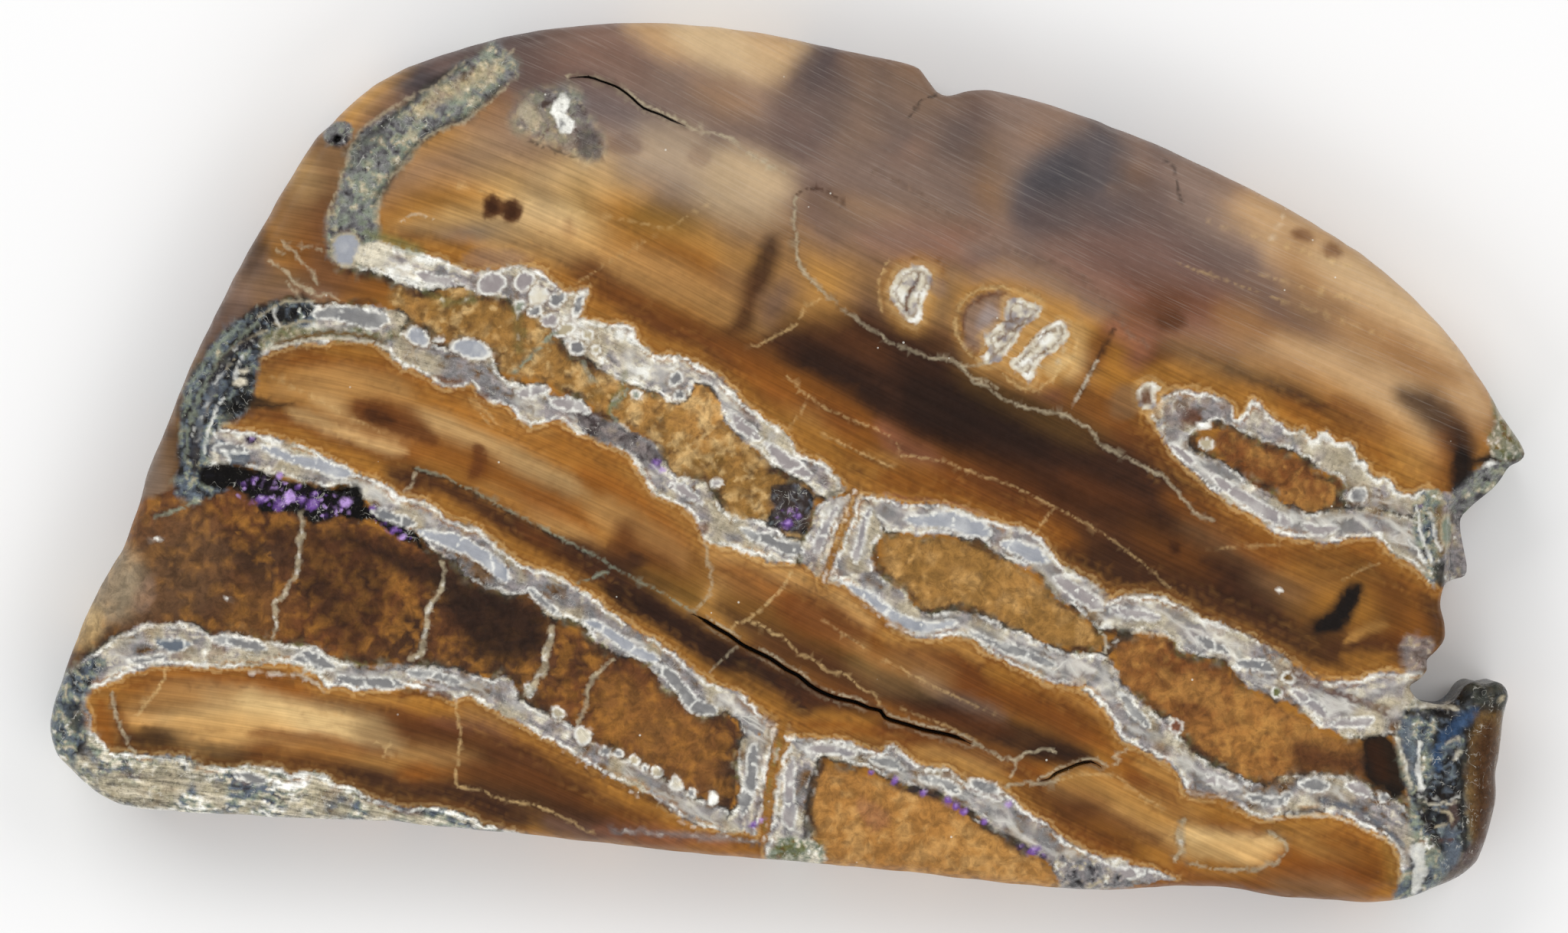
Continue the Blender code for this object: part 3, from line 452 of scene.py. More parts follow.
    ("gold", .8, .6, .8, [21.2, -20.9, 22.6, -21.3, 24.4, -21.4]),
    # bottom loop
    ("honey", 5, 2, 1, [-35, -13, -32, -13.2, -28, -13.4, -24, -14.2, -20, -15.4, -16, -16, -12, -17,
        -8, -18.6, -4, -20]),
    ("rust", 1.3, .9, .9, [-34.4, -11.6, -31.4, -11.4, -28, -11.6, -25.6, -12.3, -23, -13, -20, -13.4,
        -16, -13.8]),
    ("amber", 1, .7, .8, [-32.6, -10.9, -30, -10.9, -27, -11.3, -25, -12]),
    ("straw", 2, 1.3, .95, [-34, -12.9, -31.4, -12.6, -28.6, -12.8, -25.6, -13.4, -22.8, -14, -20.4, -14.6]),
    ("tan", 1.6, 1.2, .8, [-32.4, -14.1, -29, -13.7, -26, -14.1]),
    ("umber", .8, .8, .6, [-33.4, -13.9, -31.6, -14.1, -29.6, -14]),
    ("tan", .9, .7, .9, [-31.6, -14.5, -28, -14.6, -25, -14.8, -22, -15.1]),
    ("rust", .7, .6, .7, [-28, -14.1, -25, -14.3, -22.4, -14.9, -20.6, -15.3]),
    ("chestnut", 1.2, .9, .9, [-32, -15, -28.6, -15.1, -25, -15.3, -21.6, -15.9, -18, -16.4]),
    ("honey", .8, .7, .6, [-27, -15.2, -23, -15.4, -20, -15.9]),
    ("umber", 2, 1, .95, [-29.6, -15.9, -26, -16.1, -23, -16.6, -20, -17.3, -17, -17.9, -14, -18.7]),
    ("coffee", 1.6, 1, .9, [-35.4, -14.8, -33, -14.7, -30.6, -15.3, -28.4, -15.9]),
    ("amber", 1.2, .8, .8, [-35.8, -12.8, -35.7, -13.8, -35.4, -14.6]),
    ("chestnut", .9, .7, .8, [-35, -12.6, -34.8, -13.8, -34.4, -14.6]),
    ("rust", 1.6, 1.2, .8, [-20, -14, -17, -14.4, -14, -15.2, -11.4, -16.4]),
    ("rose", 1, .8, .6, [-18.4, -13.3, -16, -13.6, -14, -14.4]),
    ("tan", 1.2, 1, .6, [-20, -15.1, -17.6, -15.5, -15.4, -15.8]),
    ("chestnut", 1.8, 1.2, .85, [-15.6, -15.1, -12.6, -15.8, -10, -17.2, -7.4, -18.4]),
    ("amber", 1.2, .9, .8, [-20, -16.2, -16, -16.4, -13, -16.9, -10.6, -17.9, -8, -19.2]),
    ("rust", 1, .8, .7, [-17, -15.8, -14, -16.4, -11, -17.6]),
    ("gold", 1, .7, .95, [-19.6, -12.6, -17.4, -12.9, -15.2, -13.3, -13.2, -14.5, -11.4, -15.8,
        -9.4, -16.7, -7.2, -18.1, -5, -19.2]),
    ("umber", 2, 1.2, .9, [-19, -17.2, -15, -17.6, -12, -18.4, -9, -19.4]),
    ("mauve", 1.2, 1, .6, [-12.4, -18.9, -9.4, -19.5, -6.4, -19.9]),
    ("amber", 1.6, 1.1, .85, [-8.4, -18.6, -6.4, -19.6, -3.6, -20.1, -1, -20.4]),
    ("rose", .9, .8, .7, [-10, -19.1, -6.4, -19.5, -3, -20]),
    ("gold", .9, .8, .7, [-5.4, -20.4, -2.6, -20.6, .4, -20.9]),
    # left rim by the big cement pocket
    ("clay", 3, 2, .9, [-32.4, 0, -33, -2.2, -33.6, -4.6, -35, -7, -36.6, -9.6]),
    ("umber", 1.2, 1, .7, [-33, 1.3, -32, 1.4, -31.6, .2, -31.6, -1.4]),
    ("taupe", 1.6, 1.4, .7, [-34.6, -5, -35.8, -7, -36.8, -9]),
    ("chestnut", 1.4, 1, .8, [-37.4, -10.2, -36, -9.6, -34.4, -8.8]),
    ("char", .9, .7, .8, [-33.5, .2, -33.9, -1.8, -34.6, -3.8, -35.6, -5.6, -36.3, -6.8]),
    ("steel", .5, .5, .4, [-33.9, -2, -34.3, -3, -34.9, -4.4]),
]

# glazes: wide soft colours over the strokes, each with its softness, strength and outline
glazes = [
    ("amber", 2, .38, [-27, 5.6, -20, 5, -14, 2.6, -9, 0, -4, -3.4, -4.6, -6.6, -10, -4.4, -16, -2,
        -22, .6, -27, 2.6]),
    ("amber", 1.4, .3, [-3, -5, 0, -6.4, 4, -9, 3, -10, 0, -9, -3, -7.6, -4.4, -6]),
    ("rust", 1.5, .45, [0, -7, 3, -7.8, 4.4, -9, 3.4, -9.8, 1, -8.8, -.6, -8]),
    ("tan", 1.6, .3, [3.4, -10.2, 6, -9.8, 8.6, -10.8, 8, -12, 5.6, -12, 4, -11.4]),
    ("rust", 1.6, .3, [12, -12, 14.6, -11.8, 16.4, -13, 16, -14.4, 14, -13.8, 12, -13]),
    ("chestnut", 1.4, .6, [-22.5, -13.6, -18, -13.4, -13, -14.6, -10, -16, -11, -17.6, -15, -16.8,
        -19, -15.6, -22, -15]),
    ("amber", 1.4, .35, [-34.6, -11.8, -31, -11.6, -31, -12.8, -34, -13.4]),
    ("russet", 1.2, .6, [12, -16.9, 15, -16.8, 17, -17.8, 15.4, -18.6, 13, -18]),
    ("honey", 1.4, .5, [18.6, -17, 21, -17.6, 22, -18.8, 20, -19, 18.6, -18.2]),
    ("taupe", 2.4, .7, [-21.6, 13.6, -20.4, 15.6, -17.4, 16.8, -14, 17.6, -13, 16, -15.6, 15, -18.6, 14.6]),
    ("straw", 1.6, .35, [-20.4, 12.4, -17.6, 13.2, -16.4, 12.4, -18.4, 11.8]),
    ("bone", 2, .35, [-16, 11.6, -12, 11.4, -11, 12.4, -13, 13.6, -16, 12.8]),
    ("bone", 3, .3, [-13, 14.6, -8, 14.6, -2, 12.4, 0, 14.4, -4, 16.6, -8, 17.4, -12, 15.8]),
    ("straw", 2, .55, [-3.4, 15.2, -1, 14.2, 0, 15, -1.6, 16.2, -3.4, 16.4]),
    ("straw", 1.6, .5, [-5, 22.6, -1, 21.8, 0, 20.4, -2, 20, -5, 21.4]),
    ("taupe", 2.5, .3, [0, 19.6, 3, 19.6, 7, 19.6, 8.6, 16, 9, 13.4, 4, 14.4, 1.4, 16.6]),
    ("lavender", 2.5, .2, [-11, 20, -5, 17, -6, 15.6, -11, 17.6]),
    ("pewter", 2.5, .1, [12.6, 16.6, 16.6, 17, 17.4, 12.6, 14, 12.6, 11.4, 14.6]),
    ("lavender", 3, .06, [12, 18.6, 20, 16, 26, 11, 24, 9.4, 16, 10.4, 10, 13.6]),
    ("tan", 2, .35, [20, 6.6, 24, 6.8, 28.6, 5.2, 28, 4, 23, 4.6, 20.6, 5.2]),
    ("rust", 1.8, .35, [10.6, 0, 13, -.6, 14, -1.8, 12, -2, 10.4, -1]),
    ("amber", 2, .4, [18, -3, 22, -4.6, 22, -6, 19, -5.2]),
    ("umber", 2, .45, [26.6, -4.6, 30, -5, 32.6, -6, 32.6, -8.4, 30.6, -8.6, 30.4, -6.4, 28, -6]),
    ("umber", 1.6, .35, [24, -6.6, 28, -7.6, 27, -9, 24.4, -8]),
    ("umber", 1, .3, [-11, -4.6, -8, -5.4, -6, -6.4, -7, -7, -10, -5.8]),
    ("taupe", 1.6, .6, [-17.6, 17.6, -15, 18.8, -12, 17, -12, 15.6, -15, 16.6]),
    ("rust", 2.4, .38, [-13, 11.6, -8, 11.4, -3, 9, 0, 5.6, -2, 4, -6, 6.4, -9, 7.4, -12, 9.8]),
    ("rust", 1.2, .6, [0, -7.2, 2, -7.4, 4, -8.6, 2.6, -9.2, 0, -8.4]),
    ("rust", 1.6, .4, [-9, -3, -6, -3.6, -4.4, -4.8, -5, -5.8, -8, -4.8]),
    ("umber", 1, .5, [-12, -4.2, -9.6, -4.6, -8, -5.6, -10, -5.8]),
    ("clay", 1, .5, [-17, -12.6, -14.4, -12.8, -13, -13.6, -15, -14, -17, -13.6]),
    ("chestnut", 1.2, .5, [-12, -17.6, -9, -18, -6.6, -18.4, -8, -19.2, -12, -19]),
    ("amber", 1.4, .45, [-35.6, -11.8, -33, -11.4, -29, -11.4, -29, -12.6, -32, -13, -35, -13.2]),
    ("amber", 1.2, .35, [-28, -14.6, -24, -14.6, -22, -15, -24, -15.8, -28, -15.4]),
    ("chestnut", 1.6, .3, [10.4, .4, 13, -.4, 15, -1.4, 15, -2.6, 12, -2.2, 10, -1.2]),
    ("umber", 2, .35, [2, 5, 6, 2.6, 8, 2, 7, 4, 4, 5]),
    ("mauve", 2.2, .6, [12.4, 13.4, 16, 13.8, 20, 12.6, 24.4, 10.6, 22.6, 9.2, 19, 9.4, 15, 10.4,
        12.4, 11.4]),
    ("chestnut", 1.6, .5, [-21.4, -3.8, -17, -5.6, -14, -7.6, -13.4, -9, -16, -9, -19.4, -6.6, -22, -5]),
    ("rust", 1.4, .35, [10, .2, 13, -.6, 15.4, -1.8, 14.6, -2.8, 11.6, -2, 9.6, -1]),
    ("clay", 1.6, .4, [-27, 15, -25, 16.2, -24, 14.6, -25.4, 13]),
    ("tan", 1.4, .3, [7, -15, 9.4, -14.9, 11.4, -15.8, 10, -16.2, 7.6, -15.5]),
    ("taupe", 3, .3, [2, 13.6, 5, 12.8, 8, 11.4, 7, 10.4, 3.6, 11, 1.4, 12]),
    ("umber", 1.2, .5, [-12, -4, -9, -4.6, -8.4, -5.4, -10.6, -5.6]),
    ("coffee", 1.2, .45, [-4, -9.6, -2, -10.2, 0, -11.2, -1.4, -12, -4, -10.8]),
    ("rust", 1.4, .5, [.8, -7, 3, -7.8, 4.4, -9, 2.6, -9.3, .4, -8.2]),
    ("chestnut", 1.2, .35, [12.4, -16.8, 14.6, -17, 16.6, -18, 15, -18.6, 12.8, -17.8]),
    ("gold", 1.6, .3, [-35, -11.6, -32, -11.4, -30.6, -12.4, -33, -13.4, -35, -13]),
    ("bark", 2, .45, [6, 2.4, 9, 1.6, 12, .4, 15.4, -1.2, 14.6, -2.6, 11.6, -2, 8.6, -.4, 6, .6]),
    ("straw", 2.4, .5, [-4.4, 16, -1, 15.6, .4, 14.4, -1.4, 12.8, -4.4, 13.8]),
    ("tan", 1.8, .6, [-15.4, 12, -12.6, 12.6, -10.4, 11.4, -12.4, 10.2, -15, 10.6]),
    ("straw", 1.4, .3, [-26.4, 15.4, -25, 16, -24.2, 14.4, -25.6, 13.6]),
    ("bark", 1.8, .1, [12, .6, 16, -.9, 19.4, -3.6, 24, -6.2, 26.8, -8.4, 24.6, -8.6, 20, -6.4, 16, -4.6,
        12, -1.8]),
    ("clay", 1.6, .4, [5, 20.4, 9, 19.4, 8.6, 18, 5.4, 18.4]),
    ("taupe", 2, .35, [6, 15.6, 9.6, 15.2, 9.4, 13.4, 6.4, 13.6]),
    ("straw", 1.8, .35, [-7.6, 17.6, -4.6, 17.4, -4.4, 15.4, -7.4, 15.6]),
    ("tan", 1.4, .4, [-31.8, -13.4, -28.6, -13.6, -28.4, -15, -31.4, -15]),
    ("taupe", 2.4, .35, [3, 20.6, 6.4, 20.4, 9.6, 19, 9.2, 12.6, 4, 11.6]),
    ("rust", 1.2, .55, [1.6, -11.4, 5, -12.3, 8.6, -13, 11.4, -13.6, 11, -14.2, 7, -13.7, 3.4, -13,
        1.4, -12.2]),
    ("tan", 2, .35, [23, 14, 28, 13, 33, 9.4, 34, 6, 31, 7, 27, 10.4, 23, 12.2]),
    # the left rim, olive-grey and translucent
    ("clay", 2, .75, [-33.8, 1.4, -32.2, 1.6, -31.8, -1.6, -32.6, -2.4, -34.4, -2.4]),
    ("pewter", 1.2, .3, [-34, 1, -33, 1.4, -32.4, -1, -33.4, -2]),
    ("taupe", 1.6, .55, [-30.4, 9.6, -28.4, 11.8, -27.4, 10, -29, 8]),
    ("clay", 1.6, .55, [-28.4, 13.6, -26, 14.4, -25, 13, -26.4, 11.6]),
    ("mauve", 1.2, .5, [-27.4, 9, -25, 9.2, -23.6, 8.7, -26, 8.1]),
]

# enamel bands: the line on the dentine side, then the line on the cement side
enamelBands = {
    "thirdLoopLower": dict(
        fibre=.4, light=.16, stain=.5, glass=.25,
        dentine=[-22.8, 11.8, -22, 11.7, -21, 11.5, -20, 11.2, -19, 10.9, -18, 10.6, -17, 10.1, -15.5, 10,
            -14.5, 10.3, -12.8, 10, -12, 9.3, -11, 8.9, -10.3, 9.1, -10.7, 7.6, -9.5, 7.3, -8.3, 7.2,
            -7.8, 6.8, -7.9, 6.4, -6.8, 5.7, -5.5, 5.6, -4.5, 5.1, -3.8, 4.7, -3, 3.9, -2, 3, -1, 2.2,
            0, 1.4, .8, .3, 1.8, 0, 2.3, -.5, 3.3, -1.3],
        cement=[-23.4, 10.2, -22.2, 10, -21, 9.7, -20, 9.2, -19, 9, -17, 9.1, -16.2, 8.8, -15, 8.7,
            -14.4, 8.3, -13, 7.6, -12.3, 7, -11.8, 6.5, -11.4, 5.6, -10.5, 5.5, -9.8, 5, -9, 4.5, -8.2, 4,
            -7, 3.8, -6, 3.2, -5.2, 3.3, -4.8, 4.1, -4, 3.9, -3.5, 3.1, -3, 2, -2.3, 1.2, -1.5, .7, -1, 0,
            0, -.5, .9, -1, 1.5, -1.7, 2.3, -2]),
    "secondLoopUpper": dict(
        fibre=.3, light=0, stain=.9, glass=.45,
        dentine=[-30.2, 1.7, -29.8, 2.4, -29, 2.9, -28.3, 3.3, -28, 4.6, -27.8, 5.3, -27, 5.8, -26, 6.1,
            -25, 6.2, -23.5, 6.4, -22, 6.3, -20.9, 5.8, -20, 5, -19, 4.6, -18.5, 4.2, -17.5, 3.9,
            -16.5, 4.1, -16, 3.5, -15.2, 3.1, -14.4, 3, -14, 2.4, -13.3, 1.9, -12, 2.2, -11, 1.6, -10, 1.3,
            -9.3, .9, -8.5, .6, -8, .1, -7.7, -.5, -7.2, -1.2, -6.5, -1.9, -5.5, -2.3, -4.8, -3, -4.3, -4,
            -3.3, -4.4, -2.5, -4.6, -1.5, -5, 0, -5.2, 1.2, -5.4, 1.9, -5.6],
        cement=[-31.6, -.6, -31.5, 1.2, -31.5, 3, -31, 4.6, -30.6, 5.2, -30, 6, -29.2, 6.6, -28.3, 7.3,
            -27.5, 7.9, -26.5, 8.3, -25.5, 8.45, -24.5, 8.45, -22.5, 8.2, -20.8, 8.1, -20, 8, -19.7, 7.6,
            -20, 6.9, -19.3, 7.1, -18.8, 6.9, -18.5, 6.2, -17.8, 6.1, -17, 6.35, -16.2, 6.2, -15.5, 5.7,
            -15.2, 5.2, -15, 4.6, -14, 4.1, -12.5, 4.1, -12.3, 3.6, -11, 3.4, -10.4, 3.1, -10, 2.6,
            -9, 2.1, -8, 1.7, -7.2, 1.2, -6.6, .5, -6.2, -.2, -5.5, -.6, -4.8, -.8, -4, -1.2, -3.5, -2.1,
            -3, -2.6, -2, -2.9, -1, -3.2, 0, -3.8, 1.2, -4.2]),
    "secondLoopLower": dict(
        fibre=.2, light=-.12, stain=.8, glass=.4,
        dentine=[-30.4, 2, -28.5, 1.6, -27, 1.4, -25.5, 1, -24, .3, -22.5, -.5, -21, -1.2, -20, -1.8,
            -19, -2, -18, -2.6, -17, -3.1, -16, -3.4, -15.4, -4, -14.8, -4.7, -13.7, -5.3, -12.5, -5.7,
            -11.7, -6, -10.9, -6.5, -10, -7.1, -9, -7.9, -8, -8.6, -7, -9.1, -6.2, -9.6, -5.3, -10.4,
            -4.5, -11.1, -3.9, -11.6, -2.7, -11.9, -1.8, -12.6, -1, -13.3, -.4, -13.8],
        cement=[-31.4, -.3, -30.3, -.3, -28.5, -.1, -27, -.6, -25.5, -.9, -24.2, -1.3, -23, -1.2,
            -22.3, -1.6, -21.6, -2.3, -20.7, -3, -20, -3.4, -19.3, -3.6, -18.9, -4.2, -18.2, -4.8,
            -17.2, -5.2, -17, -5.8, -16.2, -6.3, -15.3, -6.7, -14.3, -6.9, -13.4, -6.8, -12.8, -7.3,
            -12.4, -8.2, -10.8, -8.4, -10.3, -9, -9.5, -9.8, -8.5, -10.1, -7.6, -10.2, -6.9, -10.8,
            -6.5, -11.7, -5.9, -12, -5.2, -12.6, -4.5, -13.2, -3.5, -13, -2.8, -13.2, -2.4, -13.8,
            -2.3, -14.5]),
    "firstLoopUpper": dict(
        fibre=.4, light=-.08, stain=.7, glass=.4,
        dentine=[-36.4, -14.2, -36.2, -13.3, -36.6, -12.4, -36.2, -11.7, -35.3, -11.4, -34.1, -11,
            -33.3, -10.7, -32.4, -10.6, -30, -10.7, -28, -10.6, -26, -10.5, -25.2, -10.8, -24.6, -11.1,
            -24, -11.8, -23.4, -11.7, -22.5, -11.9, -20.5, -11.8, -19, -11.8, -18, -12, -17.4, -12.4,
            -16.5, -12.3, -15.5, -12.8, -14.4, -13.3, -13, -14.2, -12, -14.7, -11, -15.4, -10, -16,
            -9, -16.5, -8, -16.9, -7, -17.5, -6, -18.2, -5, -18.8, -4, -19.1, -3, -19.3, -1.5, -19.2],
        cement=[-39, -14, -38.6, -12.4, -37.8, -11.2, -37, -10.4, -36, -9.7, -35, -9, -34, -8.6, -33, -8.3,
            -32.5, -8.5, -31.5, -8.3, -30.8, -8.4, -30.1, -8.9, -29, -8.8, -28, -9, -27, -9.3, -26, -9.5,
            -25, -9.5, -24.5, -9.7, -23.6, -10.1, -22, -10.5, -20, -10.5, -18.8, -10.5, -17, -10.8,
            -16, -11, -15.3, -11.2, -14.6, -11.1, -14.2, -11.7, -13.9, -12.3, -13.3, -12.7, -12.3, -13.1,
            -11.3, -13.7, -10, -14.7, -8, -15.6, -6.8, -16.2, -5, -17.3, -3.3, -17.9, -2.2, -18.6]),
    "firstLoopLower": dict(
        fibre=1, light=.02, ramp="fibres", stain=.5, glow=.4,
        dentine=[-36.4, -14, -36, -14.4, -35.3, -15, -34.3, -15.2, -31.5, -15.3, -30.5, -15.8, -27, -15.9,
            -26, -16.3, -25, -16.2, -24, -16.5, -23, -16.9, -22, -17.4, -21, -17.7, -20, -17.95,
            -18.5, -17.9, -17, -18.3, -16, -18.7, -15, -19.1, -14, -19.3],
        cement=[-39, -14, -38.6, -15.4, -37.2, -17, -35.5, -18, -33, -18.4, -30, -18.6, -25, -18.9,
            -20.5, -19, -19, -19.2, -15, -19.6, -13.6, -19.8]),
    "leftWall": dict(
        fibre=.4, light=.05, stain=.5,
        dentine=[-.4, -13.8, -.8, -15.2, -1.1, -17, -1.3, -18.4, -1.6, -19.6],
        cement=[-2.4, -14.4, -2.6, -15.4, -2.5, -16.6, -2.7, -17.8, -3.1, -18.6]),
    "rightWall": dict(
        fibre=.4, light=-.1, stain=.9,
        dentine=[.2, -13.9, -.1, -15.2, -.6, -17, -.9, -19, -1, -20.9],
        cement=[1.8, -15.4, 1.5, -16.2, 1.2, -17.4, 1.1, -18.6, 1.5, -20, 1.6, -21.2]),
    "upperWallLeft": dict(
        fibre=.3, light=.05,
        dentine=[3.5, -1.5, 2.9, -3, 2.4, -4.3, 2, -5.4, 1.7, -6],
        cement=[2.3, -1.8, 1.4, -2.4, 1.2, -3.5, .9, -4.2, .8, -5]),
    "upperWallRight": dict(
        fibre=.3, light=.05,
        dentine=[3.8, -1.6, 3.3, -3, 2.8, -4.4, 2.4, -5.6, 2.1, -6.3],
        cement=[5.3, -2.6, 5.1, -3.8, 4.5, -4.4, 4.5, -5.4, 4.7, -6.6]),
    "fourthPlateUpper": dict(
        fibre=0, light=-.08, stain=.5, podLength=2, glass=.7,
        dentine=[3.9, -1.7, 4.6, -1.7, 5.3, -1.8, 6.2, -2.1, 7.5, -2.1, 8.5, -2.2, 9.5, -2.6, 10.3, -2.8,
            11.1, -3.1, 12, -3.3, 12.8, -3.6, 13.4, -4.1, 14, -4.9, 14.4, -5.5, 15, -5.7, 15.7, -6,
            16.5, -6.6, 16.9, -7.1],
        cement=[5.1, -3.6, 6, -3.6, 7, -3.8, 8, -3.7, 9, -4, 10, -4.1, 10.7, -4.5, 11.3, -4.9, 12, -5.3,
            12.8, -5.7, 13.4, -6.1, 13.9, -6.8, 14.4, -7.2, 15, -7.5, 15.7, -8.1, 16.4, -8.8]),
    "fourthPlateLower": dict(
        fibre=.1, light=-.08, stain=.8, podLength=2, glass=.55,
        dentine=[1.9, -5.9, 2.5, -6.1, 3.5, -6.7, 4.2, -7.2, 5, -7.7, 5.5, -8.3, 6.2, -8.9, 7, -9.1,
            8, -9.1, 9, -9, 9.7, -9.3, 10.4, -9.8, 11.2, -10.2, 12, -10.6, 12.8, -11, 13.6, -11.4,
            14.6, -11.6, 15.3, -11.8],
        cement=[4.9, -5.6, 5.1, -5.9, 5.6, -6.3, 6.2, -6.6, 6.5, -7.2, 7.1, -7.7, 8, -7.8, 9, -7.7,
            10, -7.9, 11, -8.2, 11.8, -8.6, 12.7, -9, 13.3, -9.4, 14.2, -9.7, 15, -9.8, 16.8, -10.1]),
    "fifthPlateUpper": dict(
        fibre=.2, light=0, stain=.7, glass=.4,
        dentine=[16.7, -7.2, 17.5, -6.9, 19, -6.8, 20, -7.1, 21, -7.6, 22, -8.2, 23, -8.5, 24, -8.9,
            25, -9.5, 26, -10, 27, -10.7, 28, -11.3, 29, -11.4, 30.5, -11.1, 32, -10.9, 33.4, -10.8],
        cement=[16.4, -8.7, 17.5, -8.8, 19, -8.8, 20, -9.2, 20.5, -9.8, 21.5, -10, 22.3, -10.1, 23, -10.4,
            23.5, -11, 24.1, -11.7, 25, -12.1, 25.5, -12.4, 26.3, -12.6, 27, -13.1, 27.8, -13.7,
            28.7, -14.1, 29.3, -14.4, 30.3, -14.3, 31.5, -14.2, 32.2, -13.8, 33, -12.6]),
    "fifthPlateLower": dict(
        fibre=.3, light=-.2, stain=1, glass=.35,
        dentine=[15.3, -11.9, 16, -12.3, 16.6, -12.9, 17.1, -13.6, 17.6, -14.5, 18.5, -14.9, 19.3, -15.3,
            20, -15.8, 20.6, -16.6, 21, -17.3, 21.8, -17.5, 22.7, -17.6, 23.5, -18, 24.2, -18.4, 25, -18.6,
            26, -18.4, 28, -18.2, 29, -18.4, 30, -18.9, 31, -19.3, 31.9, -20.2, 32.2, -22],
        cement=[16.8, -10, 17.3, -10.8, 17.7, -11.7, 18.5, -12.3, 19, -12.9, 19.7, -13.3, 20.2, -13.3,
            20.8, -13.8, 20.6, -14.2, 21, -14.8, 21.6, -15.3, 22.4, -15.9, 23.3, -16.1, 24.2, -16.5,
            25.2, -16.7, 25.8, -16.4, 26.6, -16.2, 28.6, -16.2, 30, -16.4, 30.8, -17, 31.5, -17.2,
            32.4, -18, 33.2, -19.6, 33.4, -22.4]),
    "lowestPlate": dict(
        fibre=.2, light=-.25, stain=1,
        dentine=[-.2, -14.2, 1, -14.4, 3, -14.5, 3.8, -14.8, 5, -15, 5.4, -14.6, 5.9, -14.8, 6.3, -15.3,
            7, -15.7, 7.8, -15.9, 8.6, -16, 9, -16.4, 9.5, -16.6, 11.3, -17.1, 12, -17.6, 12.7, -18.3,
            13.4, -18.7, 14, -19.3, 15, -20, 16, -20.4, 17, -20.7, 18, -20.9, 19, -21.1, 20.4, -21.8],
        cement=[1.5, -15.8, 1.8, -15.4, 2.5, -15.6, 3.2, -15.8, 4.2, -15.9, 5, -16.4, 6, -16.7, 7, -17.1,
            8, -17.3, 8.8, -17.9, 9.6, -18.2, 10.3, -18.8, 11, -19.4, 12, -19.9, 12.9, -20.4, 13.6, -20.8,
            14.2, -21.4, 14.9, -22.3, 15, -22.8]),
    "islandUpper": dict(
        fibre=.1, light=-.02, stain=1, glass=.05,
        dentine=[19, 2.2, 19.2, 3, 19.8, 3.5, 20.5, 3.8, 21.5, 3.8, 22.5, 3.5, 23.3, 3, 23.6, 2.4,
            24.3, 3.2, 24.8, 3.1, 25.2, 2.5, 25.8, 2.1, 26.4, 1.7, 27, 1.8, 27.5, 1.3, 28.2, 1.8,
            28.7, 1.1, 29.4, 1.1, 29.8, .3, 30.3, .15, 30.5, -.5, 31.3, -.8, 31.7, -1.2, 32.6, -1.7,
            33.5, -1.4, 34.2, -1.9],
        cement=[21, 1, 21.3, 1.6, 22.3, 2.2, 23, 2.1, 23.6, 1.8, 24.2, 1.5, 25, 1, 25.6, 1, 26.5, .5,
            27.2, .1, 28, -.5, 28.9, -.9, 29, -1.8, 29.3, -2.6, 31, -3, 32.6, -3.3, 34.1, -4]),
    "islandLower": dict(
        fibre=.1, light=-.2, stain=.9, glass=.8,
        dentine=[19, 2.6, 19.2, 2.1, 19.8, 1.2, 20.5, 0, 21.2, -.5, 22, -1.2, 22.9, -1.9, 23.8, -2.5,
            24.9, -3.1, 25.5, -3.6, 26.5, -3.8, 27.4, -4, 28, -4.2, 29, -4.1, 30, -3.9, 31, -4, 31.6, -4.7,
            32.4, -5.2, 33, -5.6, 33.8, -6.4],
        cement=[21, 1.5, 21, .9, 22.3, .2, 22.8, 0, 23.6, -.4, 24.4, -1.1, 25.2, -1.5, 25.7, -2,
            26.5, -2.2, 27.3, -2.6, 28.5, -2.4, 29.3, -2.3, 30.3, -2.3, 32, -2.6, 33.2, -3, 34.3, -4.6]),
}

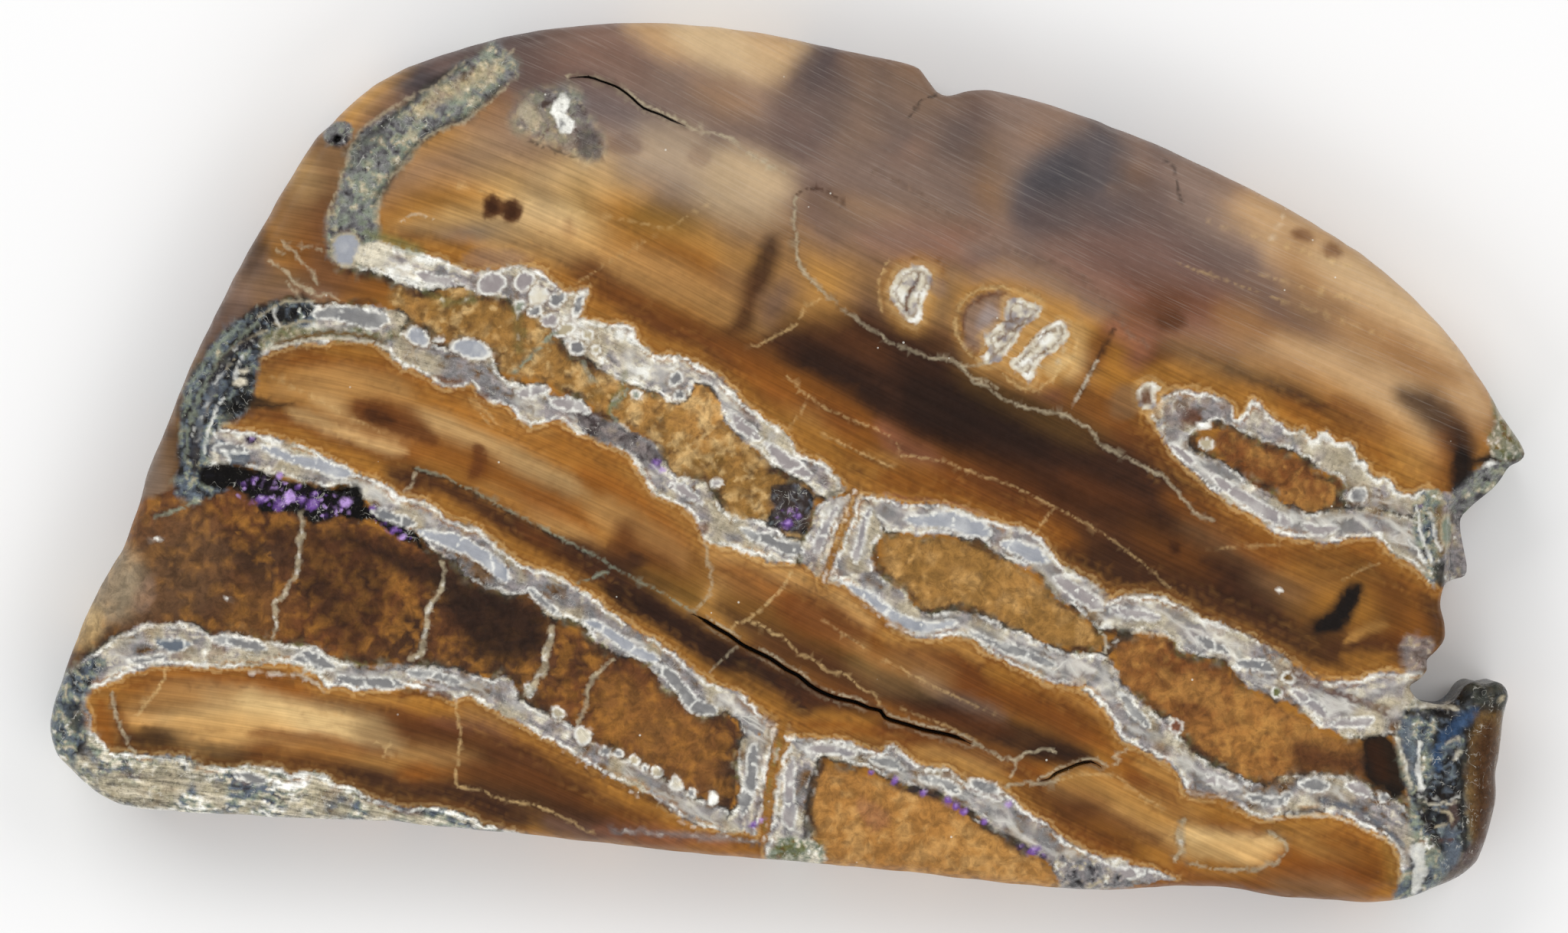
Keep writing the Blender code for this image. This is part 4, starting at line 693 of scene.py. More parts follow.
# cement pockets between the plates: outline, the two main colours, how dark its dots are
cementPockets = {
    "uppermost": dict(light="honey", dark="olive", bright="straw", depth=.7, loop=[-20.6, 9, -18, 9.3,
        -16, 9, -14.4, 8.5, -12.6, 7.5, -11.3, 6, -9.8, 5.2, -8.2, 4.4, -6, 3.4, -4.8, 4.3, -3.4, 3.2,
        -2.4, 1.4, -1, .2, .9, -.9, 1.4, -1.8, 1.2, -3.6, 0, -3.9, -2, -3, -3.5, -2.3, -4.2, -1.1, -6, -.5,
        -7, 1.2, -9, 2.2, -10.4, 3.2, -12.4, 4.1, -15, 4.8, -15.6, 5.9, -17, 6.5, -18.6, 6.6, -20, 7.2]),
    "great": dict(light="russet", dark="umber", bright="gold", loop=[-34.4, -2.5, -31.5, -1.2, -30.4, -1.2,
        -27, -1.6, -24, -2.4, -21, -3.6, -19, -4.4, -17.2, -5.4, -15.4, -6.8, -13, -7.2, -12.4, -8.4,
        -10.4, -9.1, -8.5, -10.2, -7, -10.8, -5.2, -12.6, -3, -13.4, -2.4, -14.6, -2.7, -17, -3.2, -18.1,
        -5, -17.4, -8, -15.7, -11, -14, -13.6, -12.6, -14.8, -11.2, -17, -10.9, -20, -10.6, -23.6, -10.2,
        -27, -9.4, -30.4, -8.9, -32.4, -8.6, -34.6, -8.9, -36.8, -10.2, -37.6, -9.6, -36, -5.8]),
    "fourth": dict(light="honey", dark="olive", bright="tan", depth=.6, mottle=.4, dots=.6, loop=[5.2, -3.9,
        7, -3.9, 10, -4.2, 12, -5.3, 14, -7.1, 16, -8.6, 16.7, -9.7, 14.5, -9.6, 12.5, -8.9, 11, -8.2,
        9, -7.7, 7.3, -7.7, 6.2, -6.7, 5.2, -5.8]),
    "fifth": dict(light="ochre", dark="rust", bright="honey", depth=.85, mottle=.5, dots=.7, loop=[17.2, -9.5,
        18.2, -8.9, 19, -8.9, 20, -9.3, 21, -10.1, 22.2, -10.4, 22.9, -10.7, 23.4, -11.3, 24.1, -11.9,
        25, -12.3, 26, -12.9, 27, -13.5, 28.2, -14.1, 29.5, -14.6, 30.2, -15.2, 30.2, -16.2, 29.5, -16.4,
        28, -16.2, 26.5, -16.3, 25.8, -16.7, 24.5, -16.6, 23, -16.1, 21.8, -15.7, 21, -15.1, 20.3, -14.2,
        19.7, -13.2, 19, -12.9, 18.1, -12, 17.4, -11.2]),
    "lowest": dict(light="honey", dark="ochre", bright="tan", depth=.8, mottle=.3, dots=.5, loop=[1.8, -15.9,
        4, -16.4, 7, -17.2, 9, -18.1, 11, -19.5, 13.3, -20.8, 14.4, -22, 14.4, -23, 8, -22.4, 1.5, -21.8,
        1.3, -18]),
    "island": dict(light="ochre", dark="rust", bright="honey", depth=.9, loop=[22.6, 1.7, 23.6, 1.9,
        24.3, 1.4, 25.2, .9, 26.2, .4, 27, 0, 27.8, -.6, 28.9, -.9, 29.1, -1.9, 28.5, -2.5, 27.5, -2.7,
        26, -2.1, 25.2, -1.7, 24.4, -1.2, 23.8, -.7, 23.2, -.1, 22.6, .6]),
}


def cells(u, v, seed, jitter=0.85):
    # distance to the nearest and to the next cell centre, and a number for the cell
    iu, iv = np.floor(u), np.floor(v)
    first, second, label = np.full(len(u), 9.0), np.full(len(u), 9.0), np.zeros(len(u))
    for du in (-1, 0, 1):
        for dv in (-1, 0, 1):
            cu, cv = iu + du, iv + dv
            px = cu + 0.5 + 0.5 * jitter * latticeValue(cu, cv, seed)
            py = cv + 0.5 + 0.5 * jitter * latticeValue(cu, cv, seed + 3)
            d = np.hypot(u - px, v - py)
            closer = d < first
            second = np.where(closer, first, np.minimum(second, d))
            label = np.where(closer, latticeValue(cu, cv, seed + 7) * 0.5 + 0.5, label)
            first = np.where(closer, d, first)
    return first, second, label


ramps = {  # from the darkest stain to the whitest enamel
    "white": ("umber", "clay", "pewter", "lavender", "cream", "chalk"),
    "grey": ("char", "slate", "pewter", "lavender", "bone", "chalk"),
    "mottled": ("ink", "char", "steel", "sage", "bone", "chalk"),
    "dark": ("soot", "ink", "char", "steel", "sage", "chalk"),
    "rope": ("char", "slate", "pewter", "sage", "bone", "cream"),
    "border": ("char", "umber", "clay", "moss", "bone", "sage"),
    "crystal": ("soot", "soot", "ink", "plum", "violet", "lilac"),
    "green": ("umber", "olive", "moss", "sage", "cream", "chalk"),
    "fibres": ("slate", "steel", "steel", "sage", "cream", "chalk"),
}


def rampColour(names, tone):  # colours from one end of a ramp to the other
    stops = np.array([toLinear(name) for name in names])
    t = np.clip(tone, 0, 1) * (len(stops) - 1)
    i = np.minimum(t.astype(int), len(stops) - 2)
    f = (t - i)[:, None]
    return stops[i] * (1 - f) + stops[i + 1] * f


def mixIn(canvas, k, colour, mask):  # like lay, with a colour of its own for every place
    canvas.colour[k] += (colour - canvas.colour[k]) * np.clip(mask, 0, 1)[:, None]


def seamLine(x, y, size, seed, width):  # thin wandering lines, 1 on the line
    turned = grain(0.8 * x - 0.6 * y, 0.6 * x + 0.8 * y, size, seed)
    return 1 - smooth(width * 0.4, width, np.abs(turned))


def ringLine(canvas, k, name, strength, d, middle, half):  # a line that keeps its distance to an edge
    canvas.lay(k, name, strength * (1 - smooth(half * 0.3, half, np.abs(d - middle))))


warmLayers = [  # lines in the dentine beside the enamel: colour, strength, distance, half width, where
    ("straw", 1.0, 0.14, 0.11, "everywhere"),
    ("russet", 0.9, 0.3, 0.11, "everywhere"),
    ("honey", 0.6, 0.48, 0.1, "everywhere"),
    ("chestnut", 0.55, 0.7, 0.09, "everywhere"),
    ("ochre", 0.45, 0.9, 0.1, "everywhere"),
    ("chestnut", 0.7, 1.2, 0.1, "in patches"),
    ("honey", 0.5, 1.4, 0.09, "in patches"),
    ("umber", 0.6, 1.05, 0.06, "between them"),
    ("russet", 0.6, 1.85, 0.1, "in patches"),
]


def paintEnamel(canvas, band, seed):  # warm layers, then the enamel with its pods, stains and both edges
    dentine, cement = curve(band["dentine"]), curve(band["cement"])
    loop = np.vstack([dentine, cement[::-1]])
    k = canvas.near(loop, 2.4)
    cx, cy = canvas.x[k], canvas.y[k]
    x = cx + 0.2 * cloud(cx, cy, 0.8, seed + 5) + 0.07 * grain(cx, cy, 0.26, seed + 6)
    y = cy + 0.2 * cloud(cx, cy, 0.8, seed + 25) + 0.07 * grain(cx, cy, 0.26, seed + 26)
    toDentine, _, along, _, _, _ = nearLine(x, y, dentine)
    toCement = nearLine(x, y, cement)[0]
    inside = insideLoop(x, y, loop)
    u = np.where(inside, toDentine / (toDentine + toCement + 1e-9), 0.0)
    edge = np.where(inside, np.minimum(toDentine, toCement), -np.minimum(toDentine, toCement))
    out = np.where(~inside & (toDentine < toCement), toDentine, 9)  # the warm layers in the dentine
    glow = band.get("glow", 0.55)
    canvas.lay(k, "gold", 0.8 * glow * (1 - smooth(0.0, 0.8, out)))
    patchy = 0.7 + 0.3 * cloud(cx, cy, 1.6, seed + 8)
    broken = smooth(-0.3, 0.3, cloud(cx, cy, 2.2, seed + 38))
    shares = {"everywhere": 1.0, "in patches": broken, "between them": 1 - broken}
    for name, strength, middle, half, where in warmLayers:
        ringLine(canvas, k, name, strength * shares[where] * glow * patchy, out, middle, half)
    cover = smooth(-0.03, 0.05, edge)
    lump, fine = cloud(cx, cy, 1.1, seed + 1), grain(cx, cy, 0.26, seed + 2)
    fibrous = band["fibre"]
    fibre = grain(along * (0.7 - 0.4 * fibrous), toDentine * 6, 0.8, seed + 40)
    rim = 1 - smooth(0.1, 0.36, u)
    crust = smooth(0.66, 0.9, u)
    middle = (1 - rim) * (1 - crust) * (1 - fibrous)
    tone = 0.56 + 0.20 * rim + 0.04 * crust + 0.7 * band["light"] + 0.46 * lump
    tone = tone + (0.35 * fibrous + 0.16) * fibre * (1 - 0.5 * middle) + 0.2 * fine * (1 - 0.5 * middle)
    mixIn(canvas, k, rampColour(ramps[band.get("ramp", "white")], tone), cover)
    wide = band.get("podLength", 1.5)
    podAlong = along / wide + 0.35 * cloud(x, y, 1.3, seed + 3)
    podAcross = toDentine / 0.8 + 0.3 * grain(x, y, 1.4, seed + 4)
    first, second, label = cells(podAlong, podAcross, seed)
    gap = second - first
    share = 0.5 - band.get("glass", 0.5)
    podded = smooth(share - 0.2, share + 0.2, cloud(cx, cy, 2.2, seed + 30)) * middle
    body = cover * podded * smooth(0.1, 0.22, gap)
    canvas.lay(k, "lavender", body * 0.6 * smooth(0.3, 0.4, label) * (1 - smooth(0.55, 0.65, label)))
    canvas.lay(k, "pewter", body * 0.6 * smooth(0.62, 0.72, label))
    stain = band.get("stain", 0.5)
    cracked = seamLine(x, y, 0.9, seed + 15, 0.1) * smooth(-0.1, 0.5, cloud(cx, cy, 1.8, seed + 16))
    canvas.lay(k, "clay", cover * stain * 0.8 * cracked)
    canvas.lay(k, "bone", cover * 0.8 * smooth(-0.05, 0.4, cloud(cx, cy, 1.5, seed + 36)) * (1 - podded))
    earthy = smooth(0.2, 0.5, cloud(cx, cy, 0.9, seed + 37))
    canvas.lay(k, "taupe", cover * 0.55 * earthy * (1 - smooth(0.2, 0.6, u)))
    green = smooth(0.3, 0.6, cloud(cx, cy, 0.7, seed + 32))
    canvas.lay(k, "olive", cover * stain * 0.5 * green * (1 - podded))
    rough = np.clip(0.2 + 0.5 * stain * np.maximum(crust, 0.4) + 0.3 * fibrous, 0, 1) * (1 - 0.7 * podded)
    canvas.note(k, cover, pods=podded, fibre=np.clip(0.15 + 0.8 * fibrous, 0, 1) * (1 - podded), crumb=rough)
    d = np.where(inside, toDentine, 9)
    ringLine(canvas, k, "umber", 0.35 * smooth(-0.1, 0.5, grain(x, y, 1.2, seed + 12)), d, 0.03, 0.07)
    ringLine(canvas, k, "chalk", 0.85 * smooth(-0.8, 0.1, grain(x, y, 1.0, seed + 18)), d, 0.14, 0.1)
    ringLine(canvas, k, "ochre", 0.6 * smooth(0.0, 0.5, grain(x, y, 1.6, seed + 13)), d, 0.3, 0.08)
    c = np.where(toCement < toDentine, np.where(inside, toCement, -toCement), 9)
    crumbs = rampColour(ramps["border"], 0.5 + 0.7 * cloud(cx, cy, 0.34, seed + 34, 2))
    ragged = smooth(-0.25, 0.35, cloud(cx, cy, 1.5, seed + 33))
    crumbly = ragged * (1 - smooth(0.12, 0.3, np.abs(c + 0.1)))
    mixIn(canvas, k, crumbs, 0.9 * crumbly * smooth(-0.5, 0, grain(x, y, 0.35, seed + 35)))
    ringLine(canvas, k, "umber", 0.7 * ragged, c, -0.2, 0.24)
    ringLine(canvas, k, "char", 0.8 * smooth(-0.4, 0.2, grain(x, y, 0.9, seed + 9)), c, 0.0, 0.1)
    ringLine(canvas, k, "chalk", 0.75 * smooth(-0.5, 0.3, grain(x, y, 0.8, seed + 19)), c, 0.16, 0.11)
    canvas.enamel[k] = np.maximum(canvas.enamel[k], cover)


def paintCement(canvas, pocket, seed):  # mottled brown fill with darker and lighter dots
    loop = curve(pocket["loop"], True)
    k = canvas.near(loop, 0.6)
    d = fromEdge(canvas.wx[k], canvas.wy[k], loop)
    cover = 1 - smooth(-0.1, 0.1, d)
    x, y = canvas.x[k], canvas.y[k]
    broad, fine = cloud(x, y, 4.5, seed), cloud(x, y, 1.1, seed + 2)
    tiny = cloud(x, y, 0.45, seed + 3, 2)
    canvas.lay(k, pocket["light"], cover)
    clouded = smooth(-0.5, 0.5, broad * 1.1 + 0.35 * fine)
    canvas.lay(k, pocket["dark"], cover * clouded * pocket.get("depth", 1))
    canvas.lay(k, "clay", cover * 0.12)
    mottled = smooth(0.05, 0.6, 0.5 * tiny + 0.8 * cloud(x, y, 1.6, seed + 5))
    canvas.lay(k, pocket["dark"], cover * pocket.get("mottle", 0.75) * mottled)
    canvas.lay(k, pocket["bright"], cover * 0.5 * smooth(0.1, 0.5, cloud(x, y, 0.9, seed + 11)))
    speck = cloud(x, y, 0.34, seed + 9, 2)
    canvas.lay(k, pocket["bright"], cover * 0.6 * smooth(0.0, 0.5, 0.5 * fine + 0.8 * speck - 0.35 * broad))
    dotted = smooth(0.3, 0.6, cloud(x, y, 0.3, seed + 4, 2))
    canvas.lay(k, "umber", cover * 0.5 * dotted * pocket.get("dots", 1))
    canvas.lay(k, "umber", cover * 0.3 * (1 - smooth(0.05, 0.4, -d)) * smooth(-0.3, 0.3, fine))
    canvas.cement[k] = np.maximum(canvas.cement[k], cover)
    canvas.note(k, cover, crumb=0.22)


def pod(canvas, x, y, halfLong, halfShort, turn, fill, ring, strength=1.0):  # an oval, with or without a rim
    rim = 0.1
    k = np.nonzero((abs(canvas.x - x) < halfLong + 0.6) & (abs(canvas.y - y) < halfLong + 0.6))[0]
    a = math.radians(turn)
    px, py = canvas.wx[k] - x, canvas.wy[k] - y
    lx, ly = px * math.cos(a) + py * math.sin(a), -px * math.sin(a) + py * math.cos(a)
    d = (np.sqrt((lx / halfLong) ** 2 + (ly / halfShort) ** 2) - 1) * min(halfLong, halfShort) * 1.1
    if ring:
        canvas.lay(k, "clay", 0.35 * strength * (1 - smooth(0.02, 0.14, np.abs(d - 0.06))))
        canvas.lay(k, ring, 0.85 * strength * (1 - smooth(-0.05, 0.05, d)))
        canvas.lay(k, fill, strength * (1 - smooth(-0.06, 0.04, d + rim)))
        canvas.note(k, 1 - smooth(-0.05, 0.05, d), pods=0, fibre=0, crumb=0.05, enamel=1)
        milky = smooth(0.0, 0.6, cloud(px + x, py + y, 0.6, 7))
        canvas.lay(k, "chalk", 0.35 * strength * (1 - smooth(-0.1, 0.0, d + rim)) * milky)
    else:
        canvas.lay(k, fill, strength * (1 - smooth(-0.08, 0.08, d)))


def strip(canvas, name, width, row):  # a long grey pod in the enamel, crossed by thin white seams
    line = curve(row)
    k = canvas.near(line, width)
    d, _, along, _, _, length = nearLine(canvas.wx[k], canvas.wy[k], line)
    x, y = canvas.x[k], canvas.y[k]
    ends = np.sqrt(np.clip(np.minimum(along, length - along) / width + 0.12, 0, 1))
    half = width / 2 * ends * (1 + 0.25 * grain(along, along * 0 + width, 0.9, 61))
    half = half + 0.05 * grain(x, y, 0.6, 65)
    canvas.lay(k, "chalk", 0.8 * (1 - smooth(half + 0.02, half + 0.13, d)))
    fill = 1 - smooth(half - 0.07, half + 0.02, d)
    canvas.lay(k, name, fill * 0.95)
    canvas.lay(k, "chalk", fill * 0.3 * smooth(-0.1, 0.6, cloud(x, y, 0.9, 62)))
    canvas.lay(k, "steel", fill * 0.3 * smooth(0.1, 0.6, cloud(x, y, 1.3, 63)))
    canvas.note(k, fill, pods=0, fibre=0.1, crumb=0.05)
    seam = np.abs(np.sin(along * 1.7 + 1.6 * grain(x, y, 1.5, 64) + width * 40))
    canvas.lay(k, "chalk", fill * 0.85 * (1 - smooth(0.03, 0.13, seam)))


def vein(canvas, name, width, row, strength=0.9, waver=0.1):  # a thin crisp line
    line = curve(row, step=0.25)
    k = canvas.near(line, width + 0.4)
    x, y = canvas.x[k], canvas.y[k]
    bend = waver * min(1, width / 0.12)
    bentX, bentY = x + bend * grain(x, y, 0.35, 31), y + bend * grain(x, y, 0.35, 32)
    d, _, along, _, _, _ = nearLine(bentX, bentY, line)
    swell = width / 2 * (1 + 0.45 * grain(along, along * 0 + width, 0.6, 33))
    patchy = 0.75 + 0.25 * grain(x, y, 0.5, 34)
    if width > 0.12:
        canvas.lay(k, "umber", 0.45 * strength * (1 - smooth(swell, swell + 0.14, d)))
    canvas.lay(k, name, strength * patchy * (1 - smooth(swell - 0.03, swell + 0.05, d)))
    canvas.note(k, 1 - smooth(swell, swell + 0.05, d), pods=0, crumb=0.2)
    if width > 0.18:
        heart = (1 - smooth(swell * 0.2, swell * 0.8, d)) * smooth(0.1, 0.5, grain(x, y, 0.3, 35))
        canvas.lay(k, "chalk", 0.6 * strength * heart)


def speckle(canvas, ramp, light, contrast, row, seed, soft=0.2, strength=1.0):  # a crumbly area
    loop = curve(row, True)
    k = canvas.near(loop, soft + 0.5)
    cx, cy = canvas.x[k], canvas.y[k]
    x, y = cx + 0.3 * cloud(cx, cy, 0.9, seed + 3), cy + 0.3 * cloud(cx, cy, 0.9, seed + 4)
    d = fromEdge(x, y, loop)
    tone = light + contrast * (0.45 * cloud(x, y, 1.0, seed) + 0.55 * cloud(cx, cy, 0.32, seed + 1, 2))
    tone = tone + 0.5 * contrast * seamLine(x, y, 0.4, seed + 5, 0.2)
    tone = tone - 0.5 * contrast * smooth(0.3, 0.7, cloud(cx, cy, 0.36, seed + 6, 2))
    cover = strength * (1 - smooth(-soft / 2, soft / 2, d))
    mixIn(canvas, k, rampColour(ramps[ramp], tone), cover)
    canvas.note(k, cover, pods=0, fibre=0.12, crumb=0.6, enamel=1)


def sprinkle(canvas, names, size, share, row, seed):  # small spots scattered over an area
    loop = curve(row, True)
    k = canvas.near(loop, 0.2)
    x, y = canvas.x[k], canvas.y[k]
    inside = smooth(0.0, 0.15, -fromEdge(x, y, loop))
    first, _, label = cells(x / size, y / size, seed, 0.9)
    for i, name in enumerate(names):
        low, high = 1 - share * (i + 1) / len(names), 1 - share * i / len(names)
        picked = (label > low) & (label <= high)
        ragged = first + 0.2 * grain(x, y, size / 2, seed + 9)
        canvas.lay(k, name, inside * picked * (1 - smooth(0.2, 0.42, ragged)))


# long grey pods that lie in the enamel: colour, width, path
greyStrips = [
    ("pewter", .42, [-29.9, .75, -29.2, .75, -28.3, .55]),
    ("mist", .5, [-27.4, .75, -26.4, .4, -25.2, .1, -24, -.2, -22.8, -.6]),
    ("pewter", .5, [-21.6, -2.6, -20.6, -2.9, -19.6, -3.2]),
    ("mist", .62, [-19.2, -3.6, -18, -3.9, -17, -4.2, -16.2, -4.7, -15.4, -5.3, -14.6, -6.1]),
    ("pewter", .3, [-13.4, -6.6, -12.6, -7.4, -11.8, -7.9]),
    ("mist", .5, [-10.6, -8.2, -9.6, -8.6, -8.6, -9.3, -7.6, -9.9, -6.8, -10.3]),
    ("pewter", .6, [-6.9, -10.7, -6.1, -11.1, -5.4, -11.9, -4.7, -12.7, -3.8, -12.9]),
    ("steel", .8, [-32.9, -9.4, -32.2, -9.5, -31.2, -9.4]),
    ("pewter", .5, [-30, -9.2, -29, -9.3, -28, -9.5, -27.4, -9.6]),
    ("pewter", .3, [-34.4, -10.4, -33.4, -10.3, -32.4, -10.1]),
    ("pewter", .4, [-25.8, -10.2, -25, -10.2, -24.2, -10.8]),
    ("pewter", .5, [-25.2, -9.9, -24.4, -10.3, -23.7, -10.6]),
    ("pewter", .5, [-23.4, -11.2, -22.4, -11.4, -21.2, -11.5, -20.2, -11.6]),
    ("pewter", .35, [-19.8, -10.9, -18.4, -11.1, -17.2, -11.4]),
    ("pewter", .45, [-28.8, -16.3, -28, -16.4, -27.2, -16.6]),
    ("lavender", .5, [-19.4, 9.9, -18.4, 9.6, -17.4, 9.6]),
    ("lavender", .45, [-2.9, 2.6, -2.2, 1.8, -1.4, 1.3]),
    ("lavender", .6, [-1.1, 1, -.4, .4, .4, -.2, 1.2, -.7]),
    ("lavender", .55, [-14, 3.7, -13.2, 3.7, -12.5, 3.8]),
    ("lavender", .6, [-12.2, 3.2, -11.2, 3, -10.4, 2.7]),
    ("lavender", .4, [-6, -1.1, -5.2, -1.5, -4.4, -2]),
    ("pewter", .5, [-2.4, -3.4, -1.4, -3.9, -.4, -4.3, .8, -4.6]),
    ("mist", .75, [6.2, -3, 7.4, -3, 8.6, -3, 9.8, -3.4, 10.6, -3.6]),
    ("mist", .85, [11.4, -4.3, 12.2, -4.4, 13, -4.8, 13.6, -5.1]),
    ("lavender", .75, [14.1, -6, 15, -6.6, 15.8, -7.2, 16.4, -7.6]),
    ("mist", .5, [3.2, -6.4, 4.4, -7, 5.4, -7.8, 6.4, -8.4, 7.6, -8.6, 8.8, -8.3]),
    ("pewter", .35, [9.6, -8.8, 11, -9.4, 12.4, -10, 14, -10.6]),
    ("lavender", .5, [17, -7.8, 18.2, -7.8, 19.3, -8.1]),
    ("pewter", .5, [21.4, -9.1, 22.4, -9.6, 23, -9.9]),
    ("pewter", .6, [23.7, -10.5, 24.6, -10.5, 25.4, -10.7]),
    ("lavender", .5, [26.4, -11.8, 27.2, -12.4, 28.2, -13.1]),
    ("lavender", .5, [28.6, -13.6, 29.6, -13.6, 30.6, -13.4]),
    ("pewter", .5, [17.4, -12, 18.2, -13, 19, -13.7]),
    ("lavender", .55, [21.9, -16.6, 22.7, -16.6, 23.4, -16.9]),
    ("pewter", .4, [24, -17.4, 25.4, -17.7, 26.4, -17.3]),
    ("pewter", .7, [26.9, -16.8, 27.6, -16.8, 28.3, -16.8]),
    ("lavender", .6, [29.2, -16.8, 29.9, -17, 30.4, -17.4]),
    ("lavender", .4, [.8, -15, 2.2, -15, 3.6, -15.2]),
    ("pewter", .7, [4.5, -15.5, 5.2, -15.6, 6, -16]),
    ("pewter", .4, [7, -16.4, 8.2, -16.7, 9, -17.2]),
    ("lavender", .5, [9.6, -17, 10.4, -17.2, 11.2, -17.6]),
    ("lavender", .5, [15.4, -20.9, 17, -21.3, 18.6, -21.5]),
    ("lavender", .5, [20.1, .9, 20.7, .4, 21.2, 0]),
    ("lavender", .55, [22.2, -.7, 23.2, -1.4, 24.2, -2, 25.2, -2.7, 26.3, -3.1]),
    ("lavender", .45, [26.9, -3.2, 27.8, -3.5, 28.8, -3.3]),
    ("pewter", .6, [-1.7, -14.8, -1.8, -15.8, -2, -17, -2.2, -18.2]),
    ("lavender", .5, [.3, -15.4, .1, -16.6, .1, -17.8, .2, -19]),
    ("lavender", .4, [2.6, -2.3, 2, -3.4, 1.5, -4.6]),
    ("lavender", .4, [4.3, -2.4, 3.9, -3.6, 3.6, -5]),
]

# fibres that follow the turn of the second loop
leftArcFibres = [
    ("sage", .16, [-31.4, .2, -31.3, 1.6, -30.9, 3, -30.3, 4.3, -29.5, 5.5, -28.6, 6.5, -27.6, 7.3]),
    ("bone", .1, [-31, -.8, -30.8, .8, -30.5, 2.2, -30.1, 3.4, -29.6, 4.5, -28.8, 5.5]),
    ("steel", .36, [-30.8, 1, -30.6, 2.4, -30.1, 3.7, -29.5, 4.8]),
    ("chalk", .1, [-30.4, .4, -30.2, 1.6, -29.9, 2.6, -29.4, 3.4]),
    ("bone", .12, [-29.7, 5.1, -28.9, 6, -28, 6.6, -27.2, 6.9]),
    ("ink", .34, [-30, 4.4, -29.3, 5.4, -28.5, 6.1, -27.7, 6.5]),
    ("chalk", .09, [-28.9, 4.6, -28.5, 5.4, -28, 6]),
    ("sage", .12, [-31.5, 2.4, -31.1, 3.9, -30.5, 5.1, -29.6, 6.3, -28.4, 7.4]),
    ("ink", .3, [-31.1, 1.9, -30.9, .9, -30.9, -.2]),
    ("steel", .8, [-29.7, .9, -29.1, .6, -28.5, .3]),
    ("chalk", .1, [-29.9, 1.6, -29.6, 1, -29.2, .3, -28.9, -.3]),
    ("chalk", .14, [-26.8, 8.1, -26.7, 7.6, -26.5, 7.2]),
    ("bone", .12, [-26.7, 7.3, -26, 7.1, -25.4, 7.4, -24.8, 7.3]),
    ("bone", .1, [-27.6, 7.7, -26.8, 8.2, -25.8, 8.5, -24.6, 8.4]),
    ("chalk", .12, [-28.6, 4, -28.9, 4.4, -28.7, 4.7]),
    ("olive", .16, [-26.6, 6.3, -25, 6.7, -23.4, 6.8, -22, 6.6, -21, 6.3]),
    ("cream", .14, [-26.9, 6, -25.4, 6.4, -23.6, 6.5, -22, 6.4, -20.9, 6]),
]

# single pods and beads: x, y, half length, half width, turn, fill, ring
singlePods = [
    (-23, 11.2, .8, .9, 0, "mist", "bone"), (-21.6, 10.9, .9, .6, 10, "cream", None),
    (-15.5, 9.4, .8, .6, 10, "lavender", "chalk"), (-13.8, 9.5, .6, .5, 30, "lavender", "chalk"),
    (-13, 8.7, .55, .45, 0, "cream", "chalk"), (-12, 8.5, .5, .42, 40, "pewter", "chalk"),
    (-13.1, 8, .4, .32, 0, "pewter", "chalk"), (-12.3, 7.5, .48, .4, 10, "lavender", "chalk"),
    (-14, 8.2, .35, .3, 60, "sage", "chalk"), (-11.6, 6.9, .6, .34, 20, "bone", "chalk"),
    (-10.4, 6.7, .34, .3, 0, "bone", "chalk"), (-11, 6, .42, .42, 0, "pewter", "chalk"),
    (-10, 5.9, .3, .28, 0, "bone", "chalk"), (-5.8, 4.4, .5, .35, 30, "pewter", "chalk"),
    (-5.6, 3.6, .38, .3, 0, "pewter", "chalk"), (-7.9, 3.6, .32, .26, 0, "sage", "chalk"),
    (-10.9, 8.3, .3, .7, -20, "pewter", "chalk"), (-18.2, 6.5, .28, .2, 0, "lavender", "chalk"),
    (-16.5, 5.9, 1.1, .5, -15, "mist", "chalk"), (-19.3, 6.6, .7, .5, -30, "mist", "chalk"),
    (-3.7, -1, .34, .26, 20, "lavender", "chalk"), (-12, -13.1, .42, .28, -20, "bone", "chalk"),
    (-10.6, -14.2, .5, .46, -40, "cream", "chalk"), (-9.4, -15.1, .3, .26, 0, "pewter", "chalk"),
    (-8.8, -15.2, .26, .26, 0, "pewter", "chalk"), (-8, -15.6, .34, .3, 0, "bone", "chalk"),
    (-7.4, -15.9, .22, .22, 0, "pewter", "chalk"), (-6.8, -16.1, .3, .3, 0, "bone", "chalk"),
    (-5.8, -16.7, .34, .42, 0, "cream", "chalk"), (-5, -17.2, .26, .26, 0, "pewter", "chalk"),
    (-3.9, -17.5, .32, .36, 0, "chalk", "chalk"), (-13.4, -11.9, .36, .42, 20, "sage", "chalk"),
    (20.4, -13.8, .42, .4, 0, "rose", "chalk"), (31.2, -17.5, .3, .3, 0, "pewter", "chalk"),
    (29.9, -1.7, .55, .42, 10, "pewter", "chalk"), (21.8, 2, .4, .2, 10, "chalk", None),
    (22, 1, .4, .34, 0, "bone", "chalk"), (10.3, -16.9, .9, .36, -20, "pewter", "chalk"),
    (25.5, -11.9, .32, .28, 0, "moss", "chalk"), (26.2, -11.2, .4, .26, -20, "olive", "chalk"),
    (-28.3, 4.75, .3, .15, 10, "cream", None), (-28.6, 4.15, .35, .2, 10, "cream", None),
    (36.7, -.1, .3, .16, 0, "chalk", None), (25.7, -6.6, .2, .13, 0, "chalk", None),
    (-32.8, -4, .22, .08, 0, "chalk", None), (-29.3, -7.1, .1, .08, 0, "chalk", None),
    (34.6, -3.6, .5, 1.1, 0, "sage", "bone"),
]

